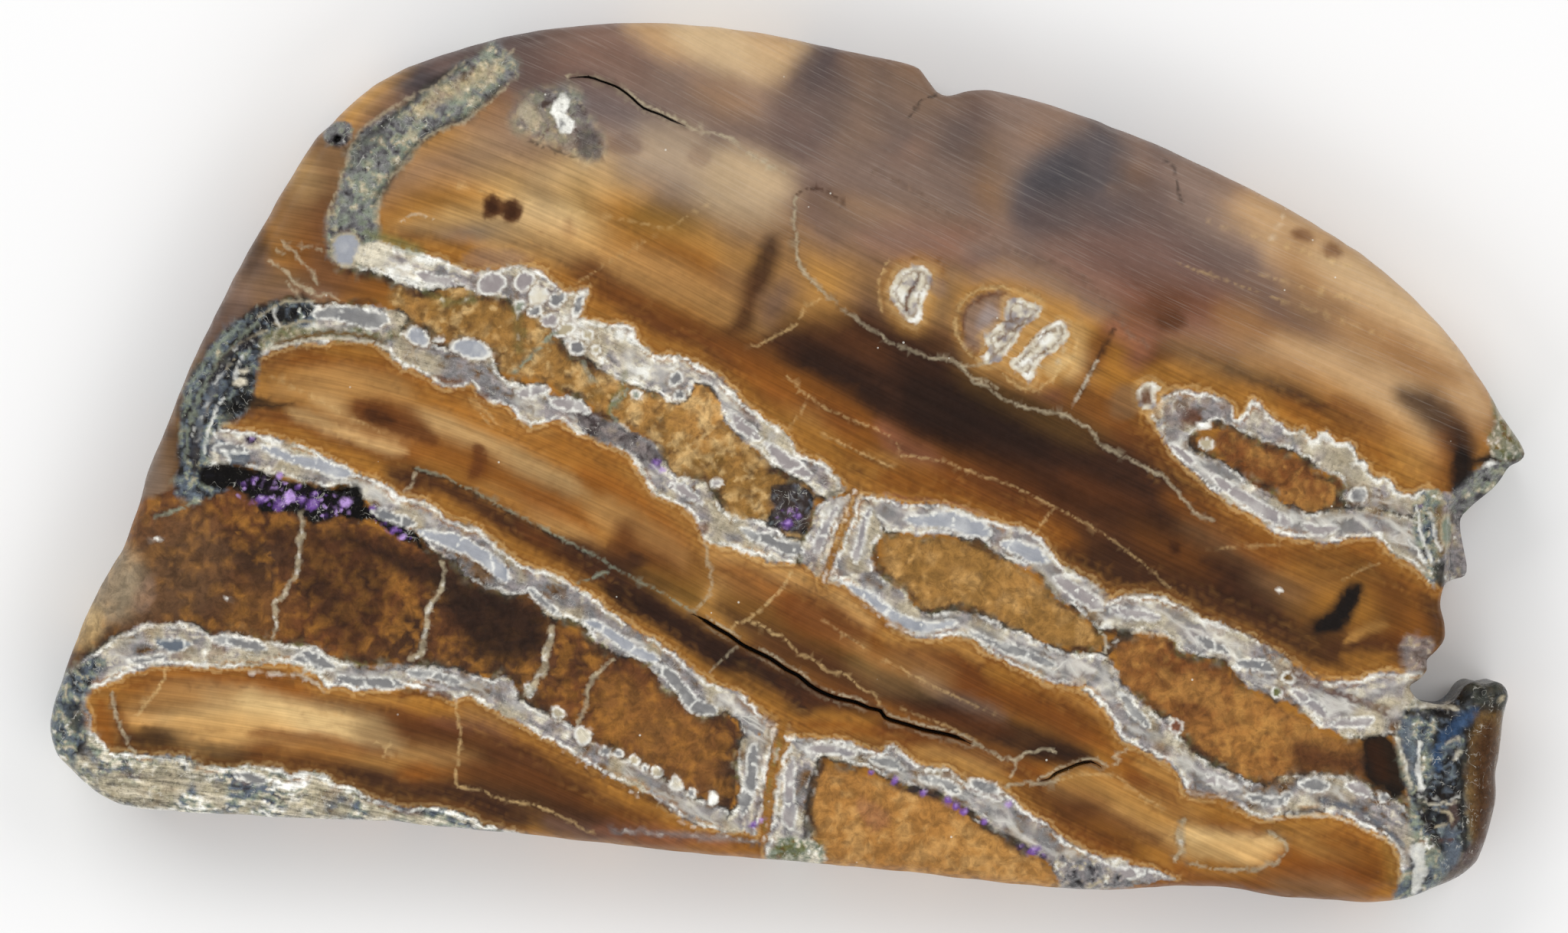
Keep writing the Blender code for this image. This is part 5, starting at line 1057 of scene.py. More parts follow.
# thin lines: colour, width, strength, path
thinVeins = [
    ("bone", .12, .8, [-27, 10.6, -26.5, 10.2, -26, 9.9, -25.7, 9.4, -25.2, 9.1, -24.8, 8.9]),
    ("bone", .12, .8, [-26.3, 11.6, -26, 11.2, -25.6, 10.9, -25.3, 10.5, -24.9, 10.1, -24.6, 9.6,
        -24.4, 9.3]),
    ("bone", .1, .7, [-25.4, 11.1, -24.9, 11.3, -24.3, 11.1]),
    ("bone", .1, .7, [-26.7, 11.2, -26.3, 10.9]), ("bone", .1, .7, [-26.1, 9.5, -25.6, 8.9, -25.4, 8.6]),
    ("bone", .1, .7, [-25.1, 9, -24.4, 8.7, -23.8, 8.8, -23.4, 8.4]),
    ("sage", .18, .8, [-31.2, -2.1, -32, -2.5, -33, -2.9]),
    ("bone", .2, .85, [-25.4, -2.6, -25.3, -3.3, -25.45, -4.3, -25.5, -5.1, -25.6, -5.7, -26, -6.3,
        -26.2, -6.9, -26.7, -7.3, -26.75, -8, -26.7, -8.6, -26.9, -9.1]),
    ("bone", .22, .85, [-18, -5.2, -17.9, -6.2, -18.2, -6.9, -18.7, -7.6, -18.8, -8.5, -19, -9.3,
        -19.1, -9.9, -19.6, -10.3]),
    ("bone", .34, .9, [-12.3, -8.6, -12.3, -9.3, -12.6, -10, -12.7, -10.8, -13.2, -11.4, -13.5, -12]),
    ("bone", .18, .85, [-9.1, -10.3, -9.6, -10.7, -10.1, -11.2, -10.4, -12, -10.4, -12.6, -10.9, -13.5]),
    ("sage", .16, .9, [-14.2, 4.8, -13.8, 5.2, -13.3, 5.7, -12.9, 6, -12.5, 6.4, -12, 6.8]),
    ("sage", .14, .9, [-8.2, 4, -8.8, 3.2, -9.3, 2.8, -8.9, 2.3]),
    ("moss", .5, .4, [-14.1, 8, -13.9, 7, -14, 6]),
    ("moss", .35, .6, [-18.8, 8.9, -17.6, 8.4, -16.4, 8.6]),
    ("moss", .3, .55, [-8.5, 4.6, -8.8, 3.6, -9.3, 2.7]), ("sage", .25, .6, [-10.6, 5.3, -10.2, 4.3]),
    ("straw", .09, .6, [-5.2, .8, -4.6, 1.2, -4, 1.6]),
    ("straw", .09, .6, [-4.8, .6, -4.4, 1.3, -4.1, 1.9]),
    ("straw", .09, .6, [-2.4, -1, -2.2, -.5, -2.3, 0]),
    ("straw", .09, .6, [-2.8, -1, -2.2, -.7, -1.6, -.9]),
    ("bone", .12, .7, [-4.2, -4.1, -4.1, -5.2, -3.9, -6, -4, -6.8, -4.4, -7.4, -4.9, -7.8]),
    ("sage", .13, .85, [-10.9, -6.3, -10.2, -6, -9.5, -5.7, -9, -5.4]),
    ("bone", .1, .8, [-19.4, -.4, -19.7, -1.2, -20, -1.4]),
    ("straw", .1, .8, [-3, -8.9, -2.6, -8.4, -2, -8.2, -1.3, -7.6, -.5, -6.8, 0, -6.2, .2, -5.6]),
    ("sage", .09, .75, [-19.5, -.2, -18, -.7, -16.5, -1.4, -15, -2.2, -13.5, -3, -12, -3.8, -10.5, -4.6,
        -9.2, -5.3, -8, -6, -6.5, -6.8, -5.5, -7.4, -4.7, -7.9]),
    ("soot", .08, .8, [-19.5, -.32, -18, -.82, -16.5, -1.52, -15, -2.32, -13.5, -3.12, -12, -3.92,
        -10.5, -4.72]),
    ("straw", .11, .8, [-2, -8.2, -1.3, -8.5, -.7, -8.9, 0, -9.2, .6, -9.9, 1.3, -10.2, 1.9, -10.7,
        2.6, -11, 3.1, -11, 3.4, -11.4, 4, -11.8, 4.5, -12, 4.9, -12.6]),
    ("bone", .08, .6, [-2.6, -9.6, -3.3, -10.2, -4, -10.9]),
    ("bone", .13, .85, [9.8, -14.7, 10.5, -15, 11.3, -15.4, 11.9, -15.4, 12.5, -15.2, 13.3, -15,
        14, -15.05]),
    ("bone", .1, .8, [11.9, -15.5, 12, -16, 11.7, -16.4]),
    ("bone", .14, .85, [11.4, -16.9, 12, -16.75, 13, -16.7, 13.6, -16.75, 14.1, -16.45]),
    ("bone", .12, .85, [16.4, -15.6, 16.9, -15.8, 17.3, -15.7, 17.4, -15.5, 17.1, -15.3, 17.7, -15]),
    ("straw", .07, .5, [1.9, -8.2, 4, -9.6]),
    ("straw", .07, .5, [5, -10.2, 7, -11.3, 9, -12.3, 11, -13.2]),
    ("straw", .07, .5, [5.9, -12.8, 8, -13.6, 10, -14.5]),
    ("straw", .07, .5, [14, -16.5, 17, -16.3, 18.5, -17.3, 20, -18.2]),
    ("bone", .14, .85, [-35.3, -12, -35.1, -13, -34.8, -13.8, -34.4, -14.6, -34.1, -15.15]),
    ("straw", .11, .75, [-32.4, -10.7, -32.5, -11.2, -33, -12, -33.5, -12.6, -33.9, -13.1]),
    ("straw", .08, .75, [-17.4, -12.2, -17.3, -12.9, -17.1, -13.5, -17.05, -14.5, -17.2, -15.6,
        -17.2, -16.8, -16, -17.1, -14.5, -17.6, -13, -17.9, -11.5, -18.6, -10, -19.4]),
    ("straw", .1, .7, [-21.4, -14.6, -21, -14.9, -21.1, -15.4]),
    ("straw", .09, .7, [-20.6, -14.5, -21, -15, -20.7, -15.2]),
    ("pewter", .3, .6, [-9, -19.2, -6, -19.4, -3, -19.6, -1, -19.9]),
    ("bone", .1, .75, [0, 15, -1.5, 15.9, -2.3, 16.5, -3, 17, -4.2, 17.3, -5.3, 17.6]),
    ("bone", .07, .6, [-11, 20.3, -9.6, 20, -8.2, 19.2, -6.8, 18.4, -5.3, 17.8]),
    ("soot", .08, .7, [-13.4, 16.8, -12.6, 16.5, -11.6, 16.1, -10.8, 15.9]),
    ("bone", .15, .75, [.5, 13.9, .35, 12.9, .5, 12, .45, 11.2, .7, 10.3, .9, 10, 1.5, 9.3, 2.2, 8.7, 3, 8,
        3.8, 7.4, 4.6, 6.9, 5.3, 6.4, 6, 6.1, 6.6, 5.8, 7.4, 5.55, 8.2, 5.5, 8.8, 5.3, 9.3, 4.9, 9.8, 4.3,
        10.5, 3.9, 11.3, 3.4, 12, 3, 13, 2.75, 14, 2.6, 14.8, 2.3, 15.4, 2, 15.9, 1.7, 16.3, 1.1, 17, .7,
        17.7, .3, 18.5, -.1, 19.2, -.5, 19.8, -.8, 20.5, -1.6, 21.3, -2.5, 22.2, -3]),
    ("straw", .09, .6, [1.8, 8.6, 1, 8.1, .6, 7.3, 0, 6.9, -1, 6.4, -1.9, 6]),
    ("bone", .1, .7, [9.1, 5, 10, 5.1, 10.5, 5.3]),
    ("bone", .1, .7, [9.1, 5, 9.6, 4.6, 10.3, 4.3, 11.1, 3.9]),
    ("bark", .12, .7, [.5, 14, 1, 14.35, 1.7, 14.3, 2.4, 14.05, 2.9, 13.7]),
    ("taupe", .16, .5, [4.5, 15.3, 6, 14.6, 8, 13.2, 10.5, 12, 12, 11, 15, 10, 16.3, 8.8, 17, 7.9, 18, 6.7,
        19, 6]),
    ("soot", .12, .8, [7.8, 19.2, 7, 18.8, 6.4, 18.1]),
    ("soot", .1, .6, [19.8, 15.9, 20.2, 15.4, 20.4, 14.5, 20.7, 13.5]),
    ("bone", .09, .7, [13.2, 5, 14.2, 5.4, 14.6, 5.9]),
    ("straw", .07, .55, [6, .4, 8, .1, 10, -.6, 12, -1.3, 15, -2.8, 17, -4, 19, -5.6, 20, -6.5]),
    ("straw", .06, .5, [22, -4.5, 26, -4.2, 30, -3.8]), ("straw", .06, .5, [29, -6.1, 31, -5.2]),
    ("straw", .07, .55, [0, 4.5, 2, 2.9, 5, 1.6, 6, .6]), ("straw", .06, .5, [.1, 1.8, 1.2, 3.5]),
    ("straw", .07, .6, [1.8, 1.6, 3.5, .7, 5.5, -.2]), ("straw", .07, .6, [12.8, -3.8, 13.9, -2.5]),
    ("rose", .12, .6, [5, -1.6, 6, -1.8, 8, -2, 10.5, -2.7]),
    ("soot", .1, .7, [3.5, -1.4, 2.3, -1.6, 1.5, -1.9]), ("soot", .08, .7, [4, -1.7, 5.1, -3.5]),
    ("gold", .3, .9, [3.6, -1.4, 3, -3, 2.6, -4.3, 2.2, -5.4, 1.9, -6.2]),
    ("straw", .08, .6, [3.5, -1.8, 2.9, -3.2, 2.5, -4.4]),
    ("gold", .4, .9, [-.1, -13.6, -.6, -15.2, -.9, -17, -1.1, -19, -1.3, -19.8]),
    ("moss", .1, .6, [-.3, -14.2, -.75, -15.8, -1, -17.6, -1.2, -19.2]),
    ("bone", .14, .8, [25.2, -19.2, 26, -19.7, 26.15, -20.2, 25.6, -20.8, 24.9, -21.1, 24, -21.2,
        23, -21.3, 22, -21.1, 21, -20.9]),
    ("bone", .26, .8, [20.7, -18.6, 20.5, -19.3, 20.6, -20.1, 20.3, -20.6]),
    ("char", .5, .85, [16.7, -9.8, 17.3, -9.2, 17.8, -8.9]),
    ("cream", .1, .8, [16.3, -8.7, 16.7, -9.2, 16.6, -9.9]),
    ("cream", .1, .8, [17.9, -8.8, 19, -8.9, 20, -9.1]),
    ("steel", .22, .8, [28, -17.6, 29.5, -18, 30.7, -18.7, 31.5, -19.3, 32.2, -20]),
    ("umber", .2, .8, [26, -18.3, 27, -18.25, 28, -18.1]),
    ("cream", .12, .7, [25, -18.6, 28, -18.4, 30, -19, 31.7, -19.9]),
    ("char", .4, .7, [1.7, -15.7, 1.3, -17, 1.1, -18.5, 1, -19.5]),
    ("ink", .25, .9, [6.5, -17, 7.2, -17.1, 7.8, -17.3]),
    ("char", .3, .85, [9.5, -18.3, 11, -19.3, 12.5, -20]),
    ("rust", .35, .8, [-20, -12.1, -18.8, -12, -17.6, -12.2]),
    ("amber", .3, .7, [-28, -11, -26, -11.1, -24.6, -11.5]),
    ("cream", .1, .7, [-28, -10.9, -26, -11, -24.9, -11.3, -24.2, -12]),
    ("chestnut", .22, .8, [-10.5, -15.9, -8.6, -16.9, -7, -17.6, -6, -18.2]),
    ("gold", .3, .8, [-12, -14.9, -10.4, -15.9, -9, -16.7, -7.6, -17.5, -6.5, -18.3, -4.5, -19.2]),
    ("ochre", .3, .7, [3.5, -7, 5, -8.2, 6.5, -8.9]),
    ("gold", .3, .8, [21, -17.2, 22.5, -17.5, 23.5, -17.9]),
    ("chestnut", .12, .8, [21, -7.6, 23, -8.4, 25, -9.5, 27, -10.7, 28.7, -11.5]),
    ("rust", .3, .6, [26.5, -10.9, 28.4, -11.9, 30, -12.4, 31.4, -13]),
]

# the same for scratches, which don't waver
straightScratches = [
    ("umber", .14, .7, [17.1, 7, 16.1, 5.15, 15.2, 3.4]),
    ("cream", .12, .8, [16.2, 5.3, 15.7, 4.4, 15.05, 3.2]), ("straw", .06, .5, [-16.6, 3.4, -15.4, 1.8]),
    ("straw", .06, .5, [-16.2, 3.2, -14.8, 1.7]),
    ("cream", .06, .5, [-20.2, 12.6, -19.4, 13, -18.4, 12.7]), ("cream", .05, .5, [26, 13.1, 25.2, 11.4]),
    ("straw", .05, .45, [29.5, 10.2, 22, 12.6]), ("straw", .05, .45, [31.5, 8, 24, 10]),
    ("straw", .05, .4, [-12, 8.8, -4, 13.6]), ("straw", .05, .4, [33, 6, 20.5, 10.4]),
    ("straw", .05, .4, [-19, 14.8, -6, 12.2]), ("straw", .05, .4, [-27, 4.6, -20, 1]),
]

# stained spots with soft edges: colour, softness, strength, outline
softSpots = [
    ("chestnut", .3, .95, [-15.9, 13.1, -15.8, 13.8, -15.4, 14.1, -15, 13.8, -14.8, 13.6, -14.2, 13.8,
        -13.8, 13.3, -14, 12.7, -14.6, 12.5, -15, 12.9, -15.4, 12.8, -15.8, 12.8]),
    ("bark", .3, .9, [-15.7, 13.1, -15.6, 13.7, -15.3, 13.8, -15.1, 13.4, -15.3, 13]),
    ("bark", .3, .9, [-14.8, 13.2, -14.6, 13.6, -14.2, 13.5, -14, 13.1, -14.2, 12.8, -14.6, 12.7]),
    ("coffee", .7, .9, [29.1, -6.6, 29.6, -6.25, 30.1, -6.3, 30.2, -6.7, 29.9, -7.3, 29.5, -8, 29.1, -8.7,
        28.6, -8.9, 27.8, -9, 27.3, -8.6, 27.5, -8.2, 28.1, -7.9, 28.6, -7.3]),
    ("soot", .3, .95, [29.2, -6.7, 29.6, -6.4, 30, -6.4, 30.1, -6.8, 29.8, -7.3, 29.4, -8, 29, -8.6,
        28.4, -8.8, 27.8, -8.8, 27.5, -8.5, 28.2, -8, 28.8, -7.4]),
    ("russet", .5, .7, [26.3, 11.9, 26.7, 12.3, 27.3, 12.2, 27.6, 11.8, 27.1, 11.5, 26.6, 11.6]),
    ("russet", .5, .7, [27.9, 11.1, 28.3, 11.5, 28.9, 11.4, 29.2, 11, 28.7, 10.7, 28.2, 10.8]),
    ("chestnut", .6, .8, [19.2, 7.4, 19.8, 7.9, 20.8, 7.7, 20.9, 7.2, 20.2, 6.9, 19.5, 7]),
    ("bark", .3, .8, [20, -4.2, 20.5, -4.2, 20.5, -4.7, 20, -4.8]),
    ("umber", .3, .7, [21.6, -5.1, 22.6, -5.2, 23, -5.5, 22.2, -5.6]),
    ("russet", .35, .75, [-22.5, 3.3, -21, 3.1, -19.6, 2.2, -18.2, 1.3, -18.2, .8, -19.8, 1.3, -21.4, 2,
        -22.5, 2.5]),
    ("bark", .3, .7, [-22, 3, -21, 2.7, -20.4, 2.2, -21.2, 2, -21.9, 2.3]),
    ("coffee", .8, .5, [-28.4, 9.7, -27.4, 10.2, -27, 11.6, -27.5, 12.3, -28.2, 11.2]),
    ("russet", .25, .8, [-16.4, 1, -15.8, .8, -15.9, -.6, -16.6, -.7, -16.4, 0]),
    ("umber", .3, .8, [-8.2, -4.7, -7.6, -4.8, -7.4, -5.3, -8, -5.4]),
    ("taupe", .35, .6, [9.3, 6, 9.4, 7, 9.8, 8.2, 10.3, 8.3, 10, 7.2, 10, 6.2]),
    ("coffee", .6, .65, [6.3, 4.4, 7.6, 4.3, 8.8, 3.8, 9.8, 2.9, 9.6, 1.5, 8, 1.8, 6.2, 2.5]),
    ("coffee", .8, .4, [2, 5, 4, 4.4, 5.4, 3.4, 5, 2.6, 3.2, 3.2, 1.8, 4.2]),
    ("taupe", .6, .6, [-17, 10.5, -16, 11.2, -14.2, 11.1, -13.4, 10.6, -14.4, 10.3, -16, 10.2]),
    ("mauve", .4, .45, [-9.5, 16.4, -8.6, 17.2, -7.7, 16.9, -7.6, 16.3, -8.6, 16.1]),
    ("taupe", .4, .5, [-5.2, 16, -4.8, 16.6, -4.1, 16.4, -4, 15.8, -4.6, 15.5]),
    ("clay", .5, .7, [16.8, 2.6, 17, 3.8, 18, 4.1, 18.5, 3.4, 18.2, 2.5, 17.4, 2.3]),
    ("rust", .35, .8, [20.5, 2.1, 20.9, 2.8, 21.5, 2.8, 21.7, 2.2, 21.2, 1.9]),
    ("rust", .3, .8, [18.5, 3.2, 18.6, 3.7, 19, 3.7, 19.1, 3.2]),
    ("soot", .3, .95, [30.1, -14.3, 31, -14.3, 31.7, -14.6, 32, -15.3, 32.3, -16.3, 32.4, -17, 32, -17.6,
        31.5, -17.7, 31, -17.1, 30.2, -16.3, 30.1, -15.5]),
    ("bark", .4, .6, [30.3, -14.6, 31, -14.7, 31.4, -15.6, 31.4, -16.6, 30.6, -16.1]),
    ("amber", .4, .8, [-36.1, -12.4, -35.7, -12.3, -35.4, -13.4, -35.2, -14.6, -35.9, -14.4, -36.1, -13.4]),
    ("rose", .3, .5, [3.6, -17.6, 4.6, -17.8, 5.4, -18.6, 4.8, -19.2, 3.9, -18.6]),
    ("taupe", .4, .6, [-34.2, -7.6, -33.7, -6.5, -33.3, -5.9, -32.95, -6.3, -33.1, -7, -33.6, -7.8]),
]

# lighter and darker areas in the cement: colour, softness, strength, outline
pocketShades = [
    ("chestnut", 1.2, .95, [26.4, -14.4, 28.4, -14.8, 30.2, -15, 30.4, -16.4, 28.6, -16.2, 26.6, -16]),
    ("coffee", 1.2, .9, [-23.6, -3.6, -20, -4.6, -17, -6, -13, -7.7, -12.6, -9.6, -15, -10.4, -17, -9,
        -18.6, -6.6, -21, -5.4]),
    ("coffee", 1.2, .5, [-27, -3.4, -23.6, -3.6, -21, -5.6, -21, -8, -23, -9.6, -25, -7, -25.6, -5]),
    ("clay", 1.6, .3, [-34.4, -3.4, -31, -2.4, -29.4, -4, -29.6, -7, -32, -8.2, -35, -8.6, -35.4, -6]),
    ("ochre", 1.4, .4, [-9.6, -11.2, -6.6, -12.2, -4, -14, -4, -16.6, -6.6, -15.8, -9.4, -13.8]),
    # the pale rim left of the great pocket: its translucent colour, with the sheen of the rounded rim painted
    # in
    ("bone", 1.4, .45, [-36.5, -4.5, -34.5, -4.4, -33.6, -6, -34.6, -8, -37.5, -8.5, -37.5, -6.5]),
    ("straw", .8, .55, [-37.4, -7.8, -36, -7.6, -35.8, -9, -37, -9.8, -38, -9.4]),
    ("ochre", 1.6, .22, [-29, -6.6, -26.6, -6.8, -26.4, -9, -29.4, -8.6]),
]

crystalSpots = [  # x, y, size, colour
    (-27.8, -.85, .17, "violet"), (-26.5, -.7, .2, "lilac"), (-27.5, -1.9, .28, "violet"),
    (-26.5, -2.2, .38, "violet"), (-25.9, -1.8, .4, "lilac"), (-25.3, -1.9, .3, "violet"),
    (-24.7, -2.1, .33, "violet"), (-23.1, -2.05, .33, "lilac"), (-24.6, -1.6, .2, "violet"),
    (-21.6, -2.4, .13, "violet"), (-20.6, -3.5, .2, "violet"), (-20.1, -3.9, .18, "lilac"),
    (-28.4, -1.1, .14, "violet"), (-26.9, -1.4, .2, "plum"), (-25.4, -1.2, .16, "violet"),
    (-23.7, -2.4, .14, "plum"), (-28, 1.25, .3, "plum"), (-6.8, 0, .25, "violet"),
    (-6.5, -.3, .16, "lilac"), (.1, -3.2, .3, "violet"), (.6, -2.8, .16, "violet"),
    (-.3, -3.3, .18, "plum"), (-1.7, -18.9, .2, "violet"), (-1.3, -18.7, .12, "lilac"),
    (4.5, -16.2, .16, "violet"), (5.6, -16.65, .2, "violet"), (8.5, -17.6, .24, "violet"),
    (8.9, -17.9, .24, "violet"), (9.3, -18.15, .2, "violet"), (10.3, -18.7, .16, "violet"),
    (11.6, -17.9, .22, "lilac"), (12.3, -20, .26, "plum"), (12.9, -20.2, .28, "violet"),
    (13.4, -20.5, .22, "plum"), (7.2, -17.2, .14, "violet"), (33, -2.2, .14, "plum"),
]

# warm rings around the islands, and thin lines across them
islandRings = [
    ("straw", .13, [10.2, 5.3, 9.4, 5.9, 8.9, 7, 9, 8.1, 9.7, 8.9, 10.8, 9.2, 12, 9.1, 13.2, 8.6]),
    ("russet", .14, [10.3, 5.7, 9.6, 6.2, 9.25, 7.1, 9.4, 8, 9.9, 8.5, 10.8, 8.85, 11.6, 8.8]),
    ("straw", .1, [14.7, 7.5, 15.1, 6.6, 14.9, 5.6, 14.1, 4.7, 13.2, 3.9, 12.2, 3.9, 11.3, 4.7]),
    ("russet", .12, [5.2, 8.2, 5.1, 9.4, 5.7, 10.4, 6.8, 10.8, 8, 10.4, 8.2, 9.4]),
    ("straw", .08, [5, 8, 4.8, 9.4, 5.4, 10.7]),
]

islandCracks = [
    [10.8, 7.5, 11.4, 7.4, 12.1, 7.6],
    [11, 6.4, 11.6, 6.9, 12.4, 7.3],
    [12.6, 6.2, 13.2, 6.7, 14.3, 6.9],
    [12.4, 5.1, 12.9, 5.6, 13.6, 5.9],
    [18.7, 3.8, 19, 3.5],
]


def island(canvas, body, halo, seed):  # a closed island of enamel in the dentine, with its warm halo
    loop = curve(body, True)
    k = canvas.near(loop, halo + 0.4)
    d = fromEdge(canvas.wx[k], canvas.wy[k], loop)
    canvas.lay(k, "honey", 0.45 * (1 - smooth(halo * 0.3, halo, d)))
    canvas.lay(k, "straw", 0.3 * (1 - smooth(0.03, 0.2, np.abs(d - 0.2))))
    cover = 1 - smooth(-0.04, 0.06, d)
    x, y = canvas.x[k], canvas.y[k]
    strands = grain(x * 2 + y, (y - x * 0.5) * 3, 0.7, seed)
    tone = 0.8 + 0.4 * (0.5 * strands + 0.7 * cloud(x, y, 0.6, seed + 1))
    mixIn(canvas, k, rampColour(ramps["white"], tone), cover)
    canvas.lay(k, "clay", 0.6 * cover * (1 - smooth(0.02, 0.1, np.abs(d + 0.3))))
    canvas.enamel[k] = np.maximum(canvas.enamel[k], cover)


def paintIslands(canvas):  # closed ends of plates, cut off near their tips
    canvas.patch("honey", 1.0, .6, [8.7, 7, 9, 8.6, 10.4, 9.5, 12.4, 9.4, 14.6, 8.2, 15.4, 6.6, 14.8, 4.8,
        13.2, 3.7, 11.4, 4.1, 9.6, 5])
    canvas.patch("taupe", .25, .9, [9.2, 7.1, 9.4, 8.2, 10.2, 8.8, 11.4, 8.9, 11.7, 8.4, 11.1, 7.4,
        10.6, 6.4, 10.2, 5.7, 9.6, 6.1])
    canvas.patch("lavender", .3, .6, [9.9, 7.5, 10.4, 8.2, 11, 8, 10.9, 7.2, 10.4, 6.6, 10, 6.9])
    canvas.patch("straw", .3, .6, [13.9, 5.4, 14.5, 6, 14.8, 5.4, 14.3, 4.7, 13.6, 4.6, 13.4, 5])
    for name, width, row in islandRings:
        vein(canvas, name, width, row, .7)
    island(canvas, [5.6, 9.5, 6, 10, 6.6, 10.25, 7.3, 10.2, 7.6, 9.8, 7.5, 9.2, 7.1, 8.6, 7, 7.9, 6.8, 7.3,
        6.4, 7.4, 6, 7.8, 5.6, 8.3, 5.4, 8.9], 1, 985)
    vein(canvas, "rust", .14, [6.9, 9.8, 6.6, 9.1, 6.3, 8.6, 6.2, 8])
    canvas.patch("taupe", .15, .6, [7.5, 9.6, 8.2, 9.7, 8.5, 9.2, 8.1, 8.7, 7.5, 8.9])
    island(canvas, [11.5, 8.5, 12.3, 8.6, 13.3, 8.1, 13.1, 7.6, 12.3, 7, 12, 6.4, 11.7, 6, 11, 5.3,
        10.3, 5.2, 10.6, 6, 10.3, 6.7, 10.9, 7.1, 11.3, 7.5], .6, 990)
    island(canvas, [13.6, 7.2, 14.4, 7.3, 14.7, 6.7, 14.1, 5.9, 13.3, 5.4, 13, 4.7, 12.8, 4.2, 12.3, 4.6,
        11.6, 5.2, 12.2, 5.7, 12.8, 6.4], .6, 995)
    island(canvas, [18.3, 3.4, 18.5, 4.1, 19.1, 4.2, 19.5, 3.9, 19.2, 3.6, 19.3, 3, 18.9, 2.8,
        18.5, 3], .5, 998)
    for row in islandCracks:
        vein(canvas, "clay", .1, row)


# blue and grey streaks of the flap, and its thin lines: colour, width, path
flapStrokes = [
    ("cobalt", .7, [34, -14.8, 35, -13.8, 36, -12.9]),
    ("cobalt", .5, [33.9, -15, 34, -16]),
    ("steel", .6, [32.6, -13.4, 32.4, -14.2, 32.6, -15.5, 32.9, -16.5]),
    ("steel", .9, [34.6, -19.4, 34.8, -20.4, 34.4, -21.4]),
    ("mauve", .5, [34.8, -17.6, 34.8, -19]),
]

flapVeins = [
    ("cream", .2, [31.9, -14.4, 32.3, -15.8, 32.6, -17]),
    ("chalk", .24, [33, -14.6, 33, -16.2, 33.2, -17.1]),
    ("cream", .14, [34.4, -14.6, 35.2, -14.4]),
    ("cream", .2, [34.9, -15.4, 35.3, -15]),
    ("soot", .22, [32.9, -17.4, 34, -17.5, 35.1, -17.4]),
    ("cream", .12, [33, -17.7, 34.2, -17.8, 35, -17.7]),
    ("soot", .3, [33, -17.8, 33.3, -18.4, 33.5, -19]),
    ("rust", .12, [33, -19.7, 34.8, -19.7]),
    ("chalk", .7, [32.9, -20.2, 33.1, -21.2, 33, -22.4]),
    ("cream", .2, [32.3, -12.8, 33.6, -12.7, 35, -12.9]),
    ("soot", .2, [32.4, -13.1, 33.8, -13, 34.8, -13.2]),
    ("bone", .12, [33.9, -18.1, 34.6, -18.2, 34.7, -18.8, 34, -18.9]),
]


def paintFlap(canvas):  # the curled flap at the lower right end, grey-blue enamel with a smooth brown rim
    speckle(canvas, "mottled", .5, .55, [32, -13.2, 33, -12.4, 34.6, -12.6, 35.6, -11.6, 37.9, -11.3,
        38, -13, 37.8, -16, 37.6, -19, 36.8, -21.6, 34.6, -23, 32, -23.2, 32.6, -20, 32.4, -17.4,
        31.8, -15], seed=930, soft=.3)
    speckle(canvas, "dark", .42, .4, [34, -12.8, 35.4, -12, 36, -13.4, 35.6, -15, 35.3, -17, 35.5, -19.4,
        34.6, -20.6, 33.6, -19.6, 33.4, -17.4, 33.8, -15], seed=940, soft=.5)
    # the rim's own brown, painted darker as shade where the rounded rim turns away
    canvas.patch("olive", .5, .9, [35.9, -13, 37.4, -12.7, 38, -15, 37.9, -18, 37.4, -20.6, 36.2, -21.4,
        35.8, -19.6, 35.4, -17, 35.6, -15])
    canvas.patch("chestnut", .8, .8, [36.2, -14, 37.2, -13.8, 37.5, -17, 37.2, -20, 36.2, -20.6, 35.9, -17])
    canvas.patch("mauve", .6, .8, [35.3, -20.4, 36.6, -19.9, 37, -21, 35.6, -22.4, 34.4, -22.8, 34.6, -21.4])
    canvas.patch("char", .4, .8, [35.3, -11.4, 37.9, -11.2, 38, -12.8, 36.6, -13.1, 35.7, -12.7])
    canvas.stroke("char", .35, .25, .85, [35.9, -13.4, 35.6, -14.6, 35.3, -16, 35.2, -17.4, 35.5, -19.2,
        35.4, -20.4])
    for name, width, row in flapStrokes:
        canvas.stroke(name, width, .3, .8, row)
    for name, width, row in flapVeins:
        vein(canvas, name, width, row)
    pod(canvas, 37.4, -12.3, .25, .16, 20, "bone", None)


def openCrack(canvas, half, row):  # painted shade inside the crack with a darker rim around it, and a pale lip painted as a highlight, brighter on one side
    half = half * 1.1
    line = curve(row)
    k = canvas.near(line, 0.8)
    d, side, along, _, _, length = nearLine(canvas.x[k], canvas.y[k], line)
    x, y = canvas.x[k], canvas.y[k]
    canvas.lay(k, "umber", 0.35 * (1 - smooth(half, half + 0.3, d)))
    lipHighlight = (1 - smooth(0.03, 0.1, np.abs(d - half * 1.5 - 0.05))) * smooth(-0.3, 0.4, grain(x, y, 0.9, 41))
    canvas.lay(k, "bone", 0.7 * lipHighlight * (0.4 + 0.6 * (side > 0)))
    ends = np.clip(np.minimum(along, length - along) / 0.8, 0.3, 1)
    canvas.lay(k, "soot", 0.97 * (1 - smooth(half * ends * 0.7, half * ends, d)))


